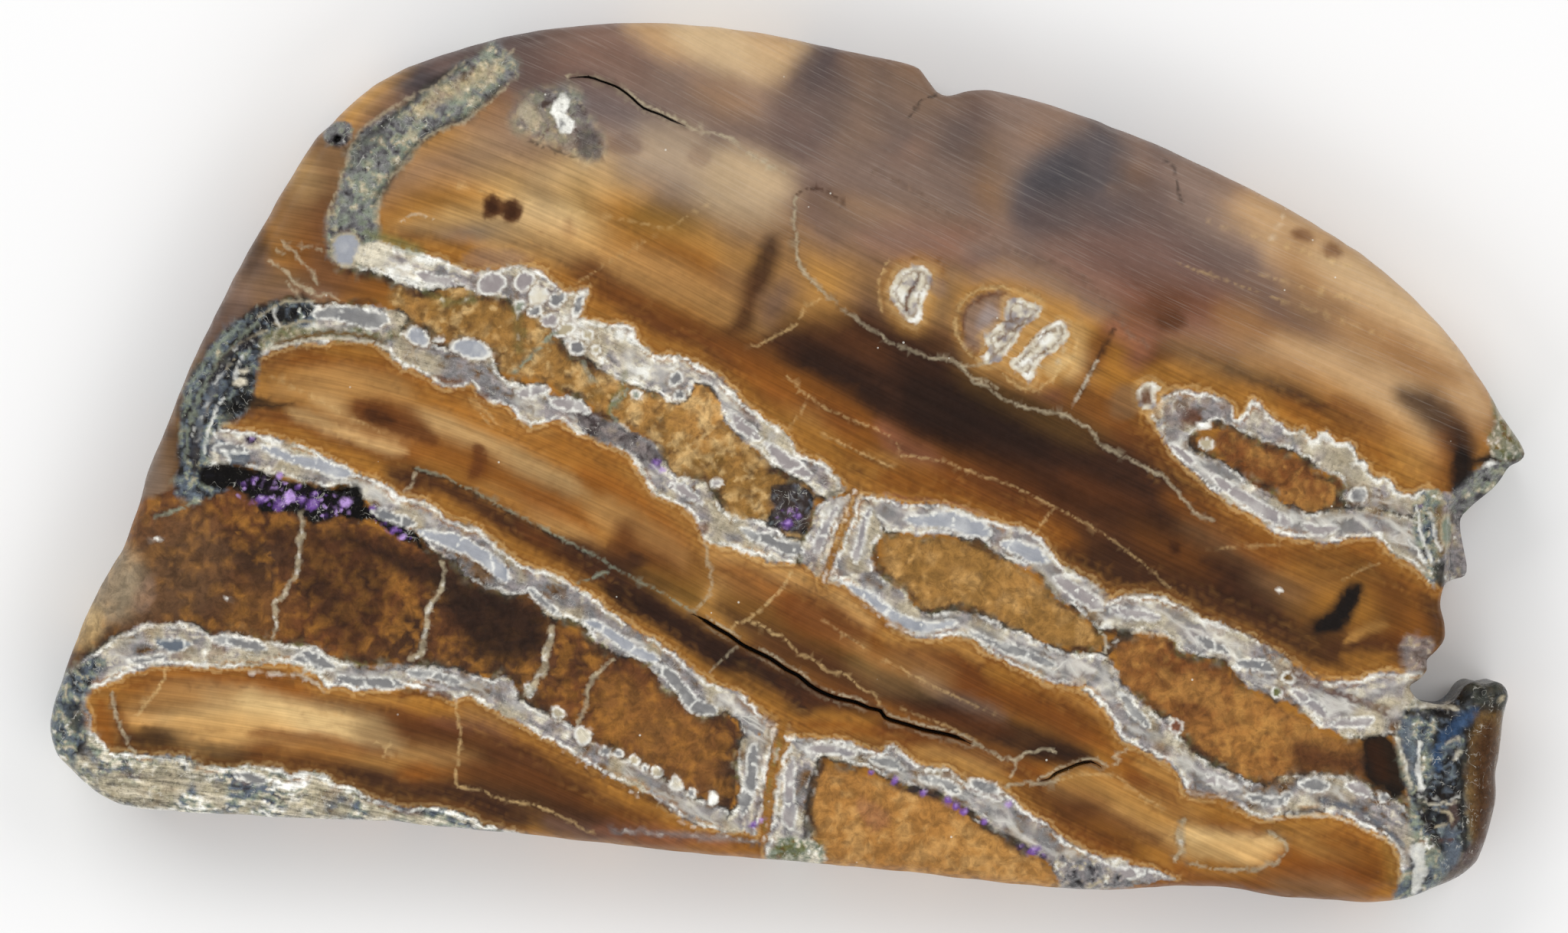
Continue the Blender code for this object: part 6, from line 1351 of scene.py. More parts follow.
# pale edges of the rope-like end of the third loop
ropeEdges = [
    [-14.1, 20.3, -14.9, 19.4, -15.9, 18.6, -16.8, 17.9, -18.2, 17.4, -19.2, 16.7, -20, 15.7, -20.8, 14.7,
        -21.3, 13.6, -21.4, 12.6],
    [-16.9, 20.9, -18.3, 19.8, -19.8, 19, -21.4, 18.1, -22.5, 17, -23, 15.6, -23.8, 13.4, -24, 12.2],
    [-14.3, 21.6, -15.3, 20.8, -16.8, 19.6, -18.2, 18.7, -19.6, 17.6],
]

# white lines where the island's enamel meets the broken end
brokenEndLines = [
    [33, -2.3, 33, -3.2, 33.4, -4.3, 33.7, -5.3],
    [33.6, -2.5, 33.9, -3.8, 34.2, -4.6],
    [32.5, -4, 32.9, -4.6, 33.3, -5.2],
]


def paintMarks(canvas):  # everything that lies over the dentine, the enamel and the cement
    for name, soft, strength, row in pocketShades:
        canvas.patch(name, soft, strength, row)
    # the rope-like end of the third loop, its strokes lie across it
    speckle(canvas, "rope", .5, .5, [-14, 20.9, -14.7, 21.6, -15.4, 21.9, -16.9, 20.9, -18.3, 19.8,
        -19.7, 18.9, -21.4, 18, -22.6, 16.8, -23.1, 15.4, -23.8, 13.4, -24.1, 11.6, -23.6, 10.5,
        -22.6, 10.2, -21.8, 10.8, -21.3, 11.8, -21.4, 13.4, -20.8, 14.7, -20, 15.7, -19.2, 16.6,
        -18.2, 17.4, -16.8, 17.9, -15.7, 18.9, -14.6, 19.7, -14.1, 20.4],
        seed=910, soft=.45)
    canvas.stroke("straw", .7, .6, .4, [-19.4, 18.3, -17.8, 19.4, -16, 20.4, -15, 20.6])
    canvas.stroke("char", .3, .3, .6, [-23, 16.4, -21.4, 17.4, -20, 18.6, -18.4, 19.9, -16.6, 21])
    canvas.stroke("char", .4, .3, .6, [-21.6, 13.6, -20.6, 14.9, -19.4, 16.5, -18, 17.5, -16.5, 18.2,
        -14.8, 19.8])
    canvas.stroke("slate", .9, .8, .4, [-22.8, 15.6, -22, 16.4, -21, 17.2])
    canvas.stroke("moss", .5, .4, .6, [-21.9, 12, -20.9, 11.7, -20, 11.3, -19, 11])
    for row in ropeEdges:
        vein(canvas, "bone", .1, row, .7)
    speckle(canvas, "rope", .38, .5, [-24.3, 17.2, -23.4, 17.9, -22.7, 17.3, -23, 16.5,
        -23.9, 16.6], seed=915)
    # the speckled patch under the upper crack
    speckle(canvas, "rope", .5, .6, [-14.4, 18.4, -13.4, 19.4, -12.2, 19.6, -10.8, 19.4, -10.2, 18,
        -9.6, 16.8, -9.8, 15.9, -11, 16, -12.6, 16.6, -14.2, 17.2], seed=920, soft=.9, strength=.65)
    canvas.patch("bone", .3, .7, [-14, 18.6, -13.4, 18.9, -12.8, 18.2, -13.2, 17.7, -13.9, 17.9])
    canvas.patch("slate", .5, .6, [-11, 17.3, -10, 17.2, -9.7, 16, -10.8, 16])
    canvas.patch("chalk", .14, .95, [-11.6, 19.4, -11.35, 19, -11.4, 18.5, -11.6, 18.2, -11, 17.8,
        -11, 17.5, -11.3, 17.2, -11.9, 17.4, -12.1, 17.9, -12.4, 18.2, -12.3, 18.6, -12, 19])
    canvas.patch("pewter", .12, .8, [-11.9, 17.9, -11.6, 17.9, -11.5, 17.6, -11.8, 17.5])
    # dark ends on the left, where the loops turn
    speckle(canvas, "mottled", .33, .5, [-31.8, -1.6, -31.7, 1.6, -31.5, 3.4, -30.8, 5.2, -29.4, 6.8,
        -27.7, 8.1, -25.6, 8.5, -24.6, 8.3, -24.7, 7.2, -26.6, 6.7, -27.5, 5.6, -27.8, 4.6, -27.9, 3.4,
        -28.6, 2.4, -30, 1.6, -30, .4, -30.2, -.6, -29.4, -1.4, -30.6, -2], seed=951, soft=.3)
    speckle(canvas, "dark", .28, .6, [-29.4, 2.4, -29.3, 3.6, -28.9, 4.6, -28.2, 5.3, -27.9, 4.9, -28, 3.9,
        -28.3, 2.6, -28.8, 2.2], seed=953, soft=.9)
    canvas.patch("soot", .3, .8, [-29.6, 3, -28.9, 3.4, -28, 3.5, -26.4, 3.1, -25.4, 3.1, -26.6, 2.9,
        -28, 2.8, -29.2, 2.7])
    speckle(canvas, "dark", .4, .7, [-28.6, 7, -27.4, 8, -26, 8.3, -24.8, 8.2, -24.8, 7.5, -26, 7.2,
        -27.4, 6.7, -28.2, 6.2],
        seed=955, soft=.8)
    speckle(canvas, "border", .6, .5, [-27.4, 6.7, -25.6, 7.1, -23, 7, -21, 6.9, -20.2, 6.5, -21.6, 6.4,
        -24, 6.5, -26, 6.2, -27.4, 5.9],
        seed=957, soft=.3, strength=.8)
    for name, width, row in leftArcFibres:
        vein(canvas, name, width, row)
    strip(canvas, "pewter", .8, [-24.6, 7.75, -23.4, 7.8, -22.2, 7.6, -21, 7.5])
    speckle(canvas, "mottled", .4, .6, [-39, -14, -38, -11.4, -36.6, -10.2, -35.4, -10.2, -36.4, -11.6,
        -36.9, -13, -36.5, -14.4, -37.4, -15.6, -38.6, -16], seed=965, soft=.5)
    canvas.patch("ink", .4, .7, [-37.6, -12.5, -36.9, -12.6, -36.8, -13.8, -37.3, -14])
    # black crystal pocket with violet crystals
    speckle(canvas, "crystal", .1, .3, [-30.5, -.2, -28.5, -.1, -27, -.7, -25.5, -1, -24.2, -1.3,
        -22.6, -1.3, -22, -2, -21.6, -2.6, -20, -3.3, -18.9, -4.5, -20, -4.1, -22.3, -2.9, -23.5, -2.8,
        -24.7, -3.1, -25.5, -2.6, -26.8, -2.6, -27.7, -2.2, -28.5, -1.5, -30.5, -1.3], seed=970)
    speckle(canvas, "dark", .35, .45, [-.9, -1.2, 0, -1, .6, -1, 1, -1.3, 1.3, -1.7, 1.2, -2.3, 1, -3.5,
        .5, -3.7, -.9, -3.4, -.6, -2.4],
        seed=975)
    sprinkle(canvas, ("violet", "plum", "lilac", "ink"), .26, .75, [-29, -1.6, -28, -.8, -26.4, -.9,
        -24.4, -1.5, -22.6, -1.8, -22.6, -2.6, -24.4, -2.9, -26, -2.5, -27.8, -2.2], 971)
    sprinkle(canvas, ("violet", "plum"), .2, .5, [-22, -2.1, -21, -2.6, -19.6, -3.6, -19.6, -4.2,
        -21.2, -3.4], 972)
    sprinkle(canvas, ("violet", "plum", "lilac"), .22, .5, [-.5, -2.4, .6, -2.2, .9, -3.2, 0, -3.6,
        -.6, -3.4], 973)
    # gaps and stains in the second loop's upper enamel
    speckle(canvas, "grey", .42, .45, [-11, 3, -10, 2.4, -9, 2, -8, 1.6, -7, 1, -6.5, .2, -6.6, -.3,
        -7.4, 0, -8.2, .6, -9.6, 1.2, -10.8, 1.9], seed=980)
    canvas.patch("mauve", .3, .35, [-11, 2.9, -9, 1.9, -7, .9, -6.6, -.2, -8.2, .7, -10.8, 2])
    canvas.patch("mauve", .3, .35, [-.8, -1.3, .6, -1.1, 1.2, -1.8, 1, -3.4, 0, -3.6, -.7, -3.2])
    canvas.patch("rust", .2, .7, [-18.5, 4.6, -17.6, 4.5, -17, 4.3, -17.8, 4.1])
    canvas.patch("rust", .2, .7, [-16.3, 3.7, -15.7, 3.7, -15.6, 3.3, -16.1, 3.3])
    canvas.patch("rust", .2, .7, [-4.6, -3.1, -4, -3.1, -4, -3.6, -4.5, -3.7])
    for name, width, row in greyStrips:
        strip(canvas, name, width, row)
    paintIslands(canvas)
    for name, soft, strength, row in softSpots:
        canvas.patch(name, soft, strength, row)
    # broken end on the right
    speckle(canvas, "mottled", .48, .6, [32.7, -2, 33.6, -1.4, 34.3, -1.8, 34.4, -4, 34.2, -6.2,
        33.6, -6.2, 33, -4.6], seed=1000)
    canvas.patch("olive", .3, .7, [33.9, -2.2, 34.4, -2.2, 34.4, -5.2, 34, -5])
    for row in brokenEndLines:
        vein(canvas, "chalk", .16, row)
    speckle(canvas, "grey", .55, .5, [34.4, -1.6, 35.4, -2.4, 36.2, -4, 36.2, -6.4, 34.2, -6.4,
        34.4, -4], seed=1005)
    speckle(canvas, "rope", .45, .6, [35, -1.2, 36.2, -.3, 37.4, .1, 39, .2, 38, -2, 36, -3,
        34.8, -2.4], seed=1010)
    canvas.patch("soot", .4, .85, [34.8, -1.4, 35.6, -.8, 36, 0, 35.2, .8, 34.8, 0])
    canvas.patch("soot", .25, .85, [36, 0, 38.6, .2, 38.8, .6, 37, .4, 36, .3])
    # painted shade: a dark patch along the left edge of the broken ground, where the face steps down
    canvas.patch("char", .3, .8, [33.8, -5.3, 34.4, -5.3, 34.5, -6.4, 33.9, -6.4])
    speckle(canvas, "green", .55, .5, [37, 3.5, 36.9, 2, 36.7, .8, 37.4, .2, 38.6, .3, 38.6, 1,
        38, 2.2], seed=1012, strength=.7)
    speckle(canvas, "grey", .4, .5, [32.3, -9.3, 33.6, -9.2, 33.7, -10.9,
        32.4, -10.9], seed=1015, soft=.4, strength=.7)
    # the ends of the lowest plate
    speckle(canvas, "grey", .5, .6, [14, -20.6, 15.6, -20.6, 17.4, -21.4, 18, -22.4, 15, -22.6,
        14.2, -21.8], seed=1020)
    speckle(canvas, "green", .55, .5, [0, -19.6, 1.6, -19.8, 1.8, -21.4, -.6, -21.2, -.6, -20], seed=1025)
    paintFlap(canvas)
    for item in singlePods:
        pod(canvas, *item)
    for name, width, strength, row in thinVeins:
        vein(canvas, name, width, row, strength)
    for name, width, strength, row in straightScratches:
        vein(canvas, name, width, row, strength, 0)
    for x, y, size, name in crystalSpots:
        pod(canvas, x, y, size, size * .8, 30, name, None)
        # a painted highlight: a lighter lilac spot set off to the upper right on each crystal
        pod(canvas, x + .05, y + .06, size * .45, size * .35, 30, "lilac", None, strength=.8)
    # painted shade in the open cracks, with a highlight on their lips
    for half, _, row in openCracks:
        openCrack(canvas, half, row)


# open cracks, cut into the face: half width, depth, path
openCracks = [
    (0.10, 0.6, [-4.9, -7.9, -4.4, -8.15, -3.7, -8.6, -3, -9, -2.3, -9.5, -1.5, -9.9, -.8, -10.25,
        0, -10.8, .6, -11.1, 1.2, -11.6, 1.9, -12, 2.7, -12.3, 3.6, -12.5, 4.3, -12.8, 4.9, -12.95,
        5.15, -13.3, 5.7, -13.5, 6.4, -13.7, 7.2, -13.95, 8, -14.1, 8.8, -14.3, 9.6, -14.65]),
    (0.08, 0.5, [13.3, -16.6, 13.7, -16.5, 14.1, -16.2, 14.6, -16, 15.2, -15.75, 15.9, -15.6, 16.4, -15.85]),
    (0.055, 0.3, [-11.3, 20.1, -10.9, 20.15, -10.3, 20.15, -9.7, 19.95, -9, 19.7, -8.5, 19.4, -8, 19,
        -7.5, 18.55, -6.6, 18.2, -6, 17.9, -5.3, 17.6]),
]


growth = {
    "slopes": [  # of the growth lines, from the left end to the right: x, slope
        (-40, -.05), (-25, -.17), (-15, -.4), (-5, -.55), (5, -.5), (15, -.5), (25, -.45), (40, -.4)],
    "paintedSheenTop": [  # outline of the top of the arch, where a sheen is painted in
        -16, 20, -9, 15.5, -3, 12.5, 3, 11.5, 9, 10, 15, 8.6, 21, 6, 28, 4, 36, 1, 42, 10, 30, 24, 0, 30,
        -20, 26],
    "paintedSheenEdge": 1.5,
    "paintedSheenGrey": 0.22,  # how far the painted sheen greys the top
    "paintedSheenHue": (1.12, 0.94, 0.94),
    "lineStrength": 0.32,
    "linesLostInPaintedSheen": 0.22,  # how much weaker the lines are under the painted sheen
    "softStrength": 0.3,
}

contrast = {  # grey value that stays as it is, and how strongly the others move away from it
    "middle": 0.17,
    "middleAddedInEnamel": 0.22,
    "power": 0.14,
    "powerAddedInEnamel": 0.2,
}


def flowOf(x, y):  # how far along and across the growth lines a place lies
    xs = np.linspace(-40, 40, 321)
    rise = np.cumsum(np.interp(xs, *zip(*growth["slopes"]))) * (xs[1] - xs[0])
    return x, y - np.interp(x, xs, rise)


def paintLayers(canvas):  # the painted sheen that greys the top, then the thin growth lines of the dentine, faint under it
    top, edge = curve(growth["paintedSheenTop"], True), growth["paintedSheenEdge"]
    d = nearLine(canvas.x, canvas.y, top)[0]
    canvas.paintedSheen = smooth(-edge, edge, np.where(insideLoop(canvas.x, canvas.y, top), d, -d))
    # painted sheen: the colours of the top greyed and tinted
    grey = canvas.colour.mean(1, keepdims=True) * np.array(growth["paintedSheenHue"])
    canvas.colour += (grey - canvas.colour) * growth["paintedSheenGrey"] * canvas.paintedSheen[:, None]
    along, across = flowOf(canvas.wx, canvas.wy)
    line = 0.45 * grain(along * 0.1, across, 1.1, 21) + 0.4 * grain(along * 0.12, across, 0.5, 22)
    line = line + 0.3 * grain(along * 0.2, across, 0.24, 23)
    soft = 0.35 * cloud(along * 0.35, across, 1.6, 27) + 0.2 * cloud(along * 0.5, across, 0.6, 29)
    strength = growth["lineStrength"] - growth["linesLostInPaintedSheen"] * canvas.paintedSheen
    canvas.colour *= (1 + strength * line + growth["softStrength"] * soft)[:, None]


def paintSlice(canvas):  # the whole pattern, from the ground up
    canvas.lay(slice(None), "gold", np.ones(len(canvas.x)))
    for name, width, soft, strength, row in dentineStrokes:
        canvas.stroke(name, width, soft, strength, row)
    for name, soft, strength, row in glazes:
        canvas.patch(name, soft, strength, row)
    paintLayers(canvas)
    for seed, pocket in enumerate(cementPockets.values()):
        paintCement(canvas, pocket, 100 + 10 * seed)
    for seed, band in enumerate(enamelBands.values()):
        paintEnamel(canvas, band, 300 + 50 * seed)
    paintMarks(canvas)
    # more contrast: the darks darker and the lights lighter, most of all in the enamel
    bright = canvas.colour @ np.array([0.3, 0.6, 0.1])
    middle = contrast["middle"] + contrast["middleAddedInEnamel"] * canvas.enamel
    power = contrast["power"] + contrast["powerAddedInEnamel"] * canvas.enamel
    canvas.colour *= (((bright + 0.004) / middle) ** power)[:, None]


# the slice itself, sizes in millimetres
sliceShape = {
    "faceHeight": 7.0,  # the polished face above the floor
    "wallRows": 13,
    "backRounding": 0.8,
    "outlineStep": 0.22,
    "backLean": (0.5, -0.7),  # how far the plates shift on their way down to the back
    "crackStep": 0.13,
    "crackArea": (9, 6),  # only places this near to the middle of a crack are looked at
    "crackTaper": 0.8,  # over this length a crack gets narrow and shallow towards its ends
    "faceUnevenness": 0.012,
    "brokenCorner": (33.9, -7.0, 0.6),  # the broken ground lies right of x, between the two y values
    "brokenEdge": 0.45,
    "brokenSpread": 0.16,  # how far apart the frame's broken ground is felt for
    "pits": [  # open pits: middle, half lengths, turn and depth
        (-23.5, 16.95, 0.34, 0.24, 30, 0.8),
        (-11.75, 18.95, 0.5, 0.3, 75, 0.3),
        (-23.2, -1.3, 0.5, 0.28, 10, 0.45),
    ],
}

# how closely the points of a face stand: the finest spacing, the shares of the face that get it and twice it,
# how many fine steps apart they stand in the calm rest, the clear edge, and a seed
showFace = {"step": 0.13, "sharp": 0.27, "middle": 0.42, "calm": 3, "clearEdge": 0.1, "seed": 81}
backFace = {"step": 0.27, "sharp": 0.2, "middle": 0.5, "calm": 3, "clearEdge": 0.16, "seed": 91}


def readOutline(node):  # the wall of the frame's slice: x, y and the height where it ends, in millimetres
    shell = bmesh.new()
    shell.from_mesh(node.data)
    bmesh.ops.remove_doubles(shell, verts=shell.verts, dist=1e-6)
    low = sliceShape["backRounding"] * mm
    ring = [v for v in shell.verts if abs(v.co.z - low) < 2e-5]
    top = {}
    for v in ring:
        for e in v.link_edges:
            w = e.other_vert(v)
            if w.co.z > low + 1e-4 and (w.co.xy - v.co.xy).length < 2e-6:
                top[v] = w.co.z
    ring = [v for v in ring if v in top]
    inRing = set(ring)
    path, here, before = [ring[0]], ring[0], None
    while True:
        around = [e.other_vert(here) for e in here.link_edges]
        following = [v for v in around if v in inRing and v != before][0]
        if following == path[0]:
            break
        path.append(following)
        before, here = here, following
    points = [(v.co.x / mm, v.co.y / mm, top[v] / mm) for v in path]
    shell.free()
    area = sum(a[0] * b[1] - b[0] * a[1] for a, b in zip(points, points[1:] + points[:1]))
    return points if area > 0 else points[::-1]


def faceHeights(x, y, loop, tree):  # the height of the polished face, in millimetres, at every place
    closed = np.vstack([loop, loop[:1]])
    d, _, _, index, share, _ = nearLine(x, y, closed)
    endHeight = closed[index, 2] * (1 - share) + closed[np.minimum(index + 1, len(closed) - 1), 2] * share
    full = sliceShape["faceHeight"]
    cornerX, lowY, highY = sliceShape["brokenCorner"]
    broken = (x > cornerX) & (y > lowY) & (y < highY)
    radius = np.where(broken, sliceShape["brokenEdge"], full - endHeight)
    t = np.clip(1 - d / radius, 0, 1)
    z = full - radius * (1 - np.sqrt(np.maximum(0, 1 - t * t)))
    z += sliceShape["faceUnevenness"] * cloud(x, y, 1.3, 11) * np.clip(1 - t, 0, 1)
    areaX, areaY = sliceShape["crackArea"]
    for half, depth, row in openCracks:
        line = curve(row)
        middleX, middleY = line.mean(0)
        k = np.nonzero((abs(x - middleX) < areaX) & (abs(y - middleY) < areaY))[0]
        dist, _, s, _, _, total = nearLine(x[k], y[k], line)
        opening = np.clip(np.minimum(s, total - s) / sliceShape["crackTaper"], 0.3, 1)
        z[k] -= depth * opening * (1 - smooth(0.45, 1.0, dist / (half * opening)))
    for px, py, long, short, turn, depth in sliceShape["pits"]:
        a = math.radians(turn)
        lx = (x - px) * math.cos(a) + (y - py) * math.sin(a)
        ly = -(x - px) * math.sin(a) + (y - py) * math.cos(a)
        z -= depth * (1 - smooth(0.45, 1.0, np.sqrt((lx / long) ** 2 + (ly / short) ** 2)))
    roughness = 0.16 * cloud(x, y, 0.8, 51) + 0.05 * grain(x, y, 0.25, 52)
    reach = sliceShape["brokenSpread"]
    for i in np.nonzero(broken)[0]:  # broken ground: the frame's own surface, softened and with a fine grain
        total, hits = 0.0, 0
        for ox, oy in ((0, 0), (reach, 0), (-reach, 0), (0, reach), (0, -reach)):
            above = Vector(((x[i] + ox) * mm, (y[i] + oy) * mm, 0.02))
            hit = tree.ray_cast(above, Vector((0, 0, -1)))[0]
            if hit is not None and hit.z > 0.002:
                total += hit.z / mm
                hits += 1
        if hits:
            low = total / hits
            if low < z[i] - 0.1:
                z[i] = min(low + roughness[i], full - 0.02)
    return np.minimum(z, full)


def alongCracks(x, y):  # rows of points beside each open crack take the place of the loose ones there
    rows = []
    for half, _, row in openCracks:
        line = curve(row, step=sliceShape["crackStep"])
        apart = nearLine(x, y, line)[0] > half * 1.5
        x, y = x[apart], y[apart]
        ahead = np.gradient(line, axis=0)
        ahead /= np.linalg.norm(ahead, axis=1)[:, None]
        for share in (-1.2, -0.75, -0.35, 0, 0.35, 0.75, 1.2):
            rows.append(line + share * half * np.stack([-ahead[:, 1], ahead[:, 0]], 1))
    rows = np.vstack(rows)
    return np.append(x, rows[:, 0]), np.append(y, rows[:, 1])


def asItIs(x, y):  # the show face has the pattern where it was painted
    return x, y


def throughToBack(x, y):  # the plates lean a little as they run down through the slice
    leanX, leanY = sliceShape["backLean"]
    return x + leanX + 0.25 * grain(x, y, 6, 71), y + leanY + 0.25 * grain(x, y, 7, 72)


def spreadPoints(loop, values, place):  # places for the mesh, closest where the pattern is busy
    step, calm, seed = values["step"], values["calm"], values["seed"]
    lowX, highX = loop[:, 0].min(), loop[:, 0].max()
    lowY, highY = loop[:, 1].min(), loop[:, 1].max()
    xs, ys = np.arange(lowX, highX, step), np.arange(lowY, highY, step)
    gx, gy = np.meshgrid(xs, ys)
    shape = gx.shape
    px, py = gx.ravel(), gy.ravel()
    canvas = Canvas(*place(px, py))
    paintSlice(canvas)
    tone = np.sqrt(np.clip(canvas.colour, 0, 1)).reshape(shape + (3,))
    change = np.zeros(shape)
    for axis in (0, 1):
        diff = np.abs(np.diff(tone, axis=axis)).sum(2)
        pad = [(0, 1), (0, 0)] if axis == 0 else [(0, 0), (0, 1)]
        behind = [(1, 0), (0, 0)] if axis == 0 else [(0, 0), (1, 0)]
        change = np.maximum(change, np.maximum(np.pad(diff, pad), np.pad(diff, behind)))
    inside = insideLoop(px, py, loop).reshape(shape)
    levels = np.sort(change[inside])
    sharp = levels[int(len(levels) * (1 - values["sharp"]))]
    middle = levels[int(len(levels) * (1 - values["sharp"] - values["middle"]))]
    i, j = np.meshgrid(np.arange(shape[1]), np.arange(shape[0]))
    everySecond = (change >= middle) & (i % 2 == 0) & (j % 2 == 0)
    keep = inside & ((change >= sharp) | everySecond | ((i % calm == 0) & (j % calm == 0)))
    px = px + 0.3 * step * latticeValue(i.ravel(), j.ravel(), seed)
    py = py + 0.3 * step * latticeValue(i.ravel(), j.ravel(), seed + 1)
    px, py = px[keep.ravel()], py[keep.ravel()]
    clear = fromEdge(px, py, loop) < -values["clearEdge"]
    return px[clear], py[clear]


def sewFace(loop, x, y):  # triangles between the outline and the points inside it
    flat = [Vector((p[0], p[1])) for p in loop[:, :2]] + [Vector((a, b)) for a, b in zip(x, y)]
    count = len(loop)
    edges = [(i, (i + 1) % count) for i in range(count)]
    _, _, triangles, sources, _, _ = delaunay_2d_cdt(flat, edges, [], 1, 1e-6)
    return [[sources[v][0] for v in t] for t in triangles if all(sources[v] for v in t)]


def buildSlice(node):  # one closed mesh: the wall around, the show face and the back sewn to it
    corners = [v.co.copy() for v in node.data.vertices]
    tree = BVHTree.FromPolygons(corners, [tuple(p.vertices) for p in node.data.polygons])
    outline = curve(readOutline(node), True, sliceShape["outlineStep"])
    count = len(outline)
    full, low = sliceShape["faceHeight"], sliceShape["backRounding"]
    print("outline", count, "points")

    fx, fy = alongCracks(*spreadPoints(outline, showFace, asItIs))
    fz = faceHeights(fx, fy, outline, tree)
    print("show face", len(fx), "points")

    bx, by = spreadPoints(outline, backFace, throughToBack)
    t = np.clip(1 + fromEdge(bx, by, outline) / low, 0, 1)
    bz = low * (1 - np.sqrt(np.maximum(0, 1 - t * t)))
    print("back", len(bx), "points")

    places, faces = [], []
    rows = sliceShape["wallRows"]
    for r in range(rows):
        z = outline[:, 2] + (low - outline[:, 2]) * r / (rows - 1)
        places.append(np.stack([outline[:, 0], outline[:, 1], z], 1))
    for r in range(rows - 1):
        for i in range(count):
            j = (i + 1) % count
            faces.append((r * count + i, (r + 1) * count + i, (r + 1) * count + j, r * count + j))
    start = rows * count
    places.append(np.stack([fx, fy, fz], 1))
    for triangle in sewFace(outline, fx, fy):
        faces.append(tuple(v if v < count else start + v - count for v in triangle))
    start += len(fx)
    lastRow = (rows - 1) * count
    places.append(np.stack([bx, by, bz], 1))
    for triangle in sewFace(outline, bx, by):
        faces.append(tuple((lastRow + v) if v < count else start + v - count for v in reversed(triangle)))
    places = np.vstack(places)
    mesh = bpy.data.meshes.new("toothSlice")
    mesh.from_pydata((places * mm).tolist(), [], faces)
    mesh.validate()
    mesh.shade_smooth()
    print("mesh", len(mesh.vertices), "points", sum(len(p.vertices) - 2 for p in mesh.polygons), "triangles")
    return mesh, places


def giveAttribute(mesh, name, columns, kind="FLOAT_VECTOR", field="vector"):  # one value for every point
    attribute = mesh.attributes.new(name, kind, "POINT")
    attribute.data.foreach_set(field, np.column_stack(columns).astype(np.float32).ravel())


def colourSlice(mesh, places):  # the pattern runs through the thickness, so the wall and the back show it too
    x, y, z = places.T
    depth = np.clip(1 - z / sliceShape["faceHeight"], 0, 1)
    backX, backY = throughToBack(x, y)
    canvas = Canvas(x + (backX - x) * depth, y + (backY - y) * depth)
    paintSlice(canvas)
    tint = (np.clip(canvas.colour, 0, 1), np.ones(len(x)))
    giveAttribute(mesh, "tint", tint, "FLOAT_COLOR", "color")
    # the finish holds the enamel, the cement and the painted sheen
    giveAttribute(mesh, "finish", (canvas.enamel, canvas.cement, canvas.paintedSheen))
    giveAttribute(mesh, "structure", (canvas.pods, canvas.fibre, canvas.crumb))
    giveAttribute(mesh, "flow", flowOf(x, y) + (z,))


class NodeMaker:  # makes the nodes of one material; what is handed to a socket is linked or set there
    def __init__(self, tree):
        self.tree = tree

    def feed(self, socket, value):
        if hasattr(value, "is_output"):
            self.tree.links.new(value, socket)
        else:
            socket.default_value = value

    def add(self, kind, inputs, **settings):
        node = self.tree.nodes.new(kind)
        for key, value in settings.items():
            setattr(node, key, value)
        for key, value in inputs.items():
            self.feed(node.inputs[key], value)
        return node.outputs

    def reckon(self, operation, a, b=0.5, clamp=False):
        return self.add("ShaderNodeMath", {0: a, 1: b}, operation=operation, use_clamp=clamp)[0]

    def times(self, product, *others):
        for value in others:
            product = self.reckon("MULTIPLY", product, value)
        return product

    def plus(self, total, *others):
        for value in others:
            total = self.reckon("ADD", total, value)
        return total

    def minus(self, a, b, clamp=False):
        return self.reckon("SUBTRACT", a, b, clamp)

    def between(self, value, low, high, toLow=0.0, toHigh=1.0):  # a soft step from low to high
        steps = {0: value, 1: low, 2: high, 3: toLow, 4: toHigh}
        return self.add("ShaderNodeMapRange", steps, interpolation_type="SMOOTHSTEP")[0]

    def swing(self, value, low, high):  # the same step, from -0.5 to 0.5
        return self.minus(self.between(value, low, high), 0.5)

    def mix(self, share, a, b, blend="MIX"):
        return self.add("ShaderNodeMix", {0: share, 6: a, 7: b}, data_type="RGBA", blend_type=blend)[2]

    def noise(self, place, scale, detail, roughness=0.5, distortion=0.0):
        values = {"Vector": place, "Scale": scale, "Detail": detail, "Roughness": roughness,
                  "Distortion": distortion}
        return self.add("ShaderNodeTexNoise", values)

    def scaled(self, place, scale, wander=0.0, wanderSize=0.9):  # places scaled, and bent a little by noise
        smaller = self.add("ShaderNodeMapping", {"Vector": place, "Scale": scale})[0]
        if not wander:
            return smaller
        bend = {0: self.noise(place, wanderSize, 2)[1], 1: (wander, wander, wander), 2: smaller}
        return self.add("ShaderNodeVectorMath", bend, operation="MULTIPLY_ADD")[0]

    def cells(self, place, feature="F1"):
        return self.add("ShaderNodeTexVoronoi", {"Vector": place, "Scale": 1}, feature=feature)

    def split(self, vector):
        return self.add("ShaderNodeSeparateXYZ", {0: vector})

    def painted(self, name, output="Vector"):  # an attribute of the mesh
        return self.add("ShaderNodeAttribute", {}, attribute_name=name)[output]


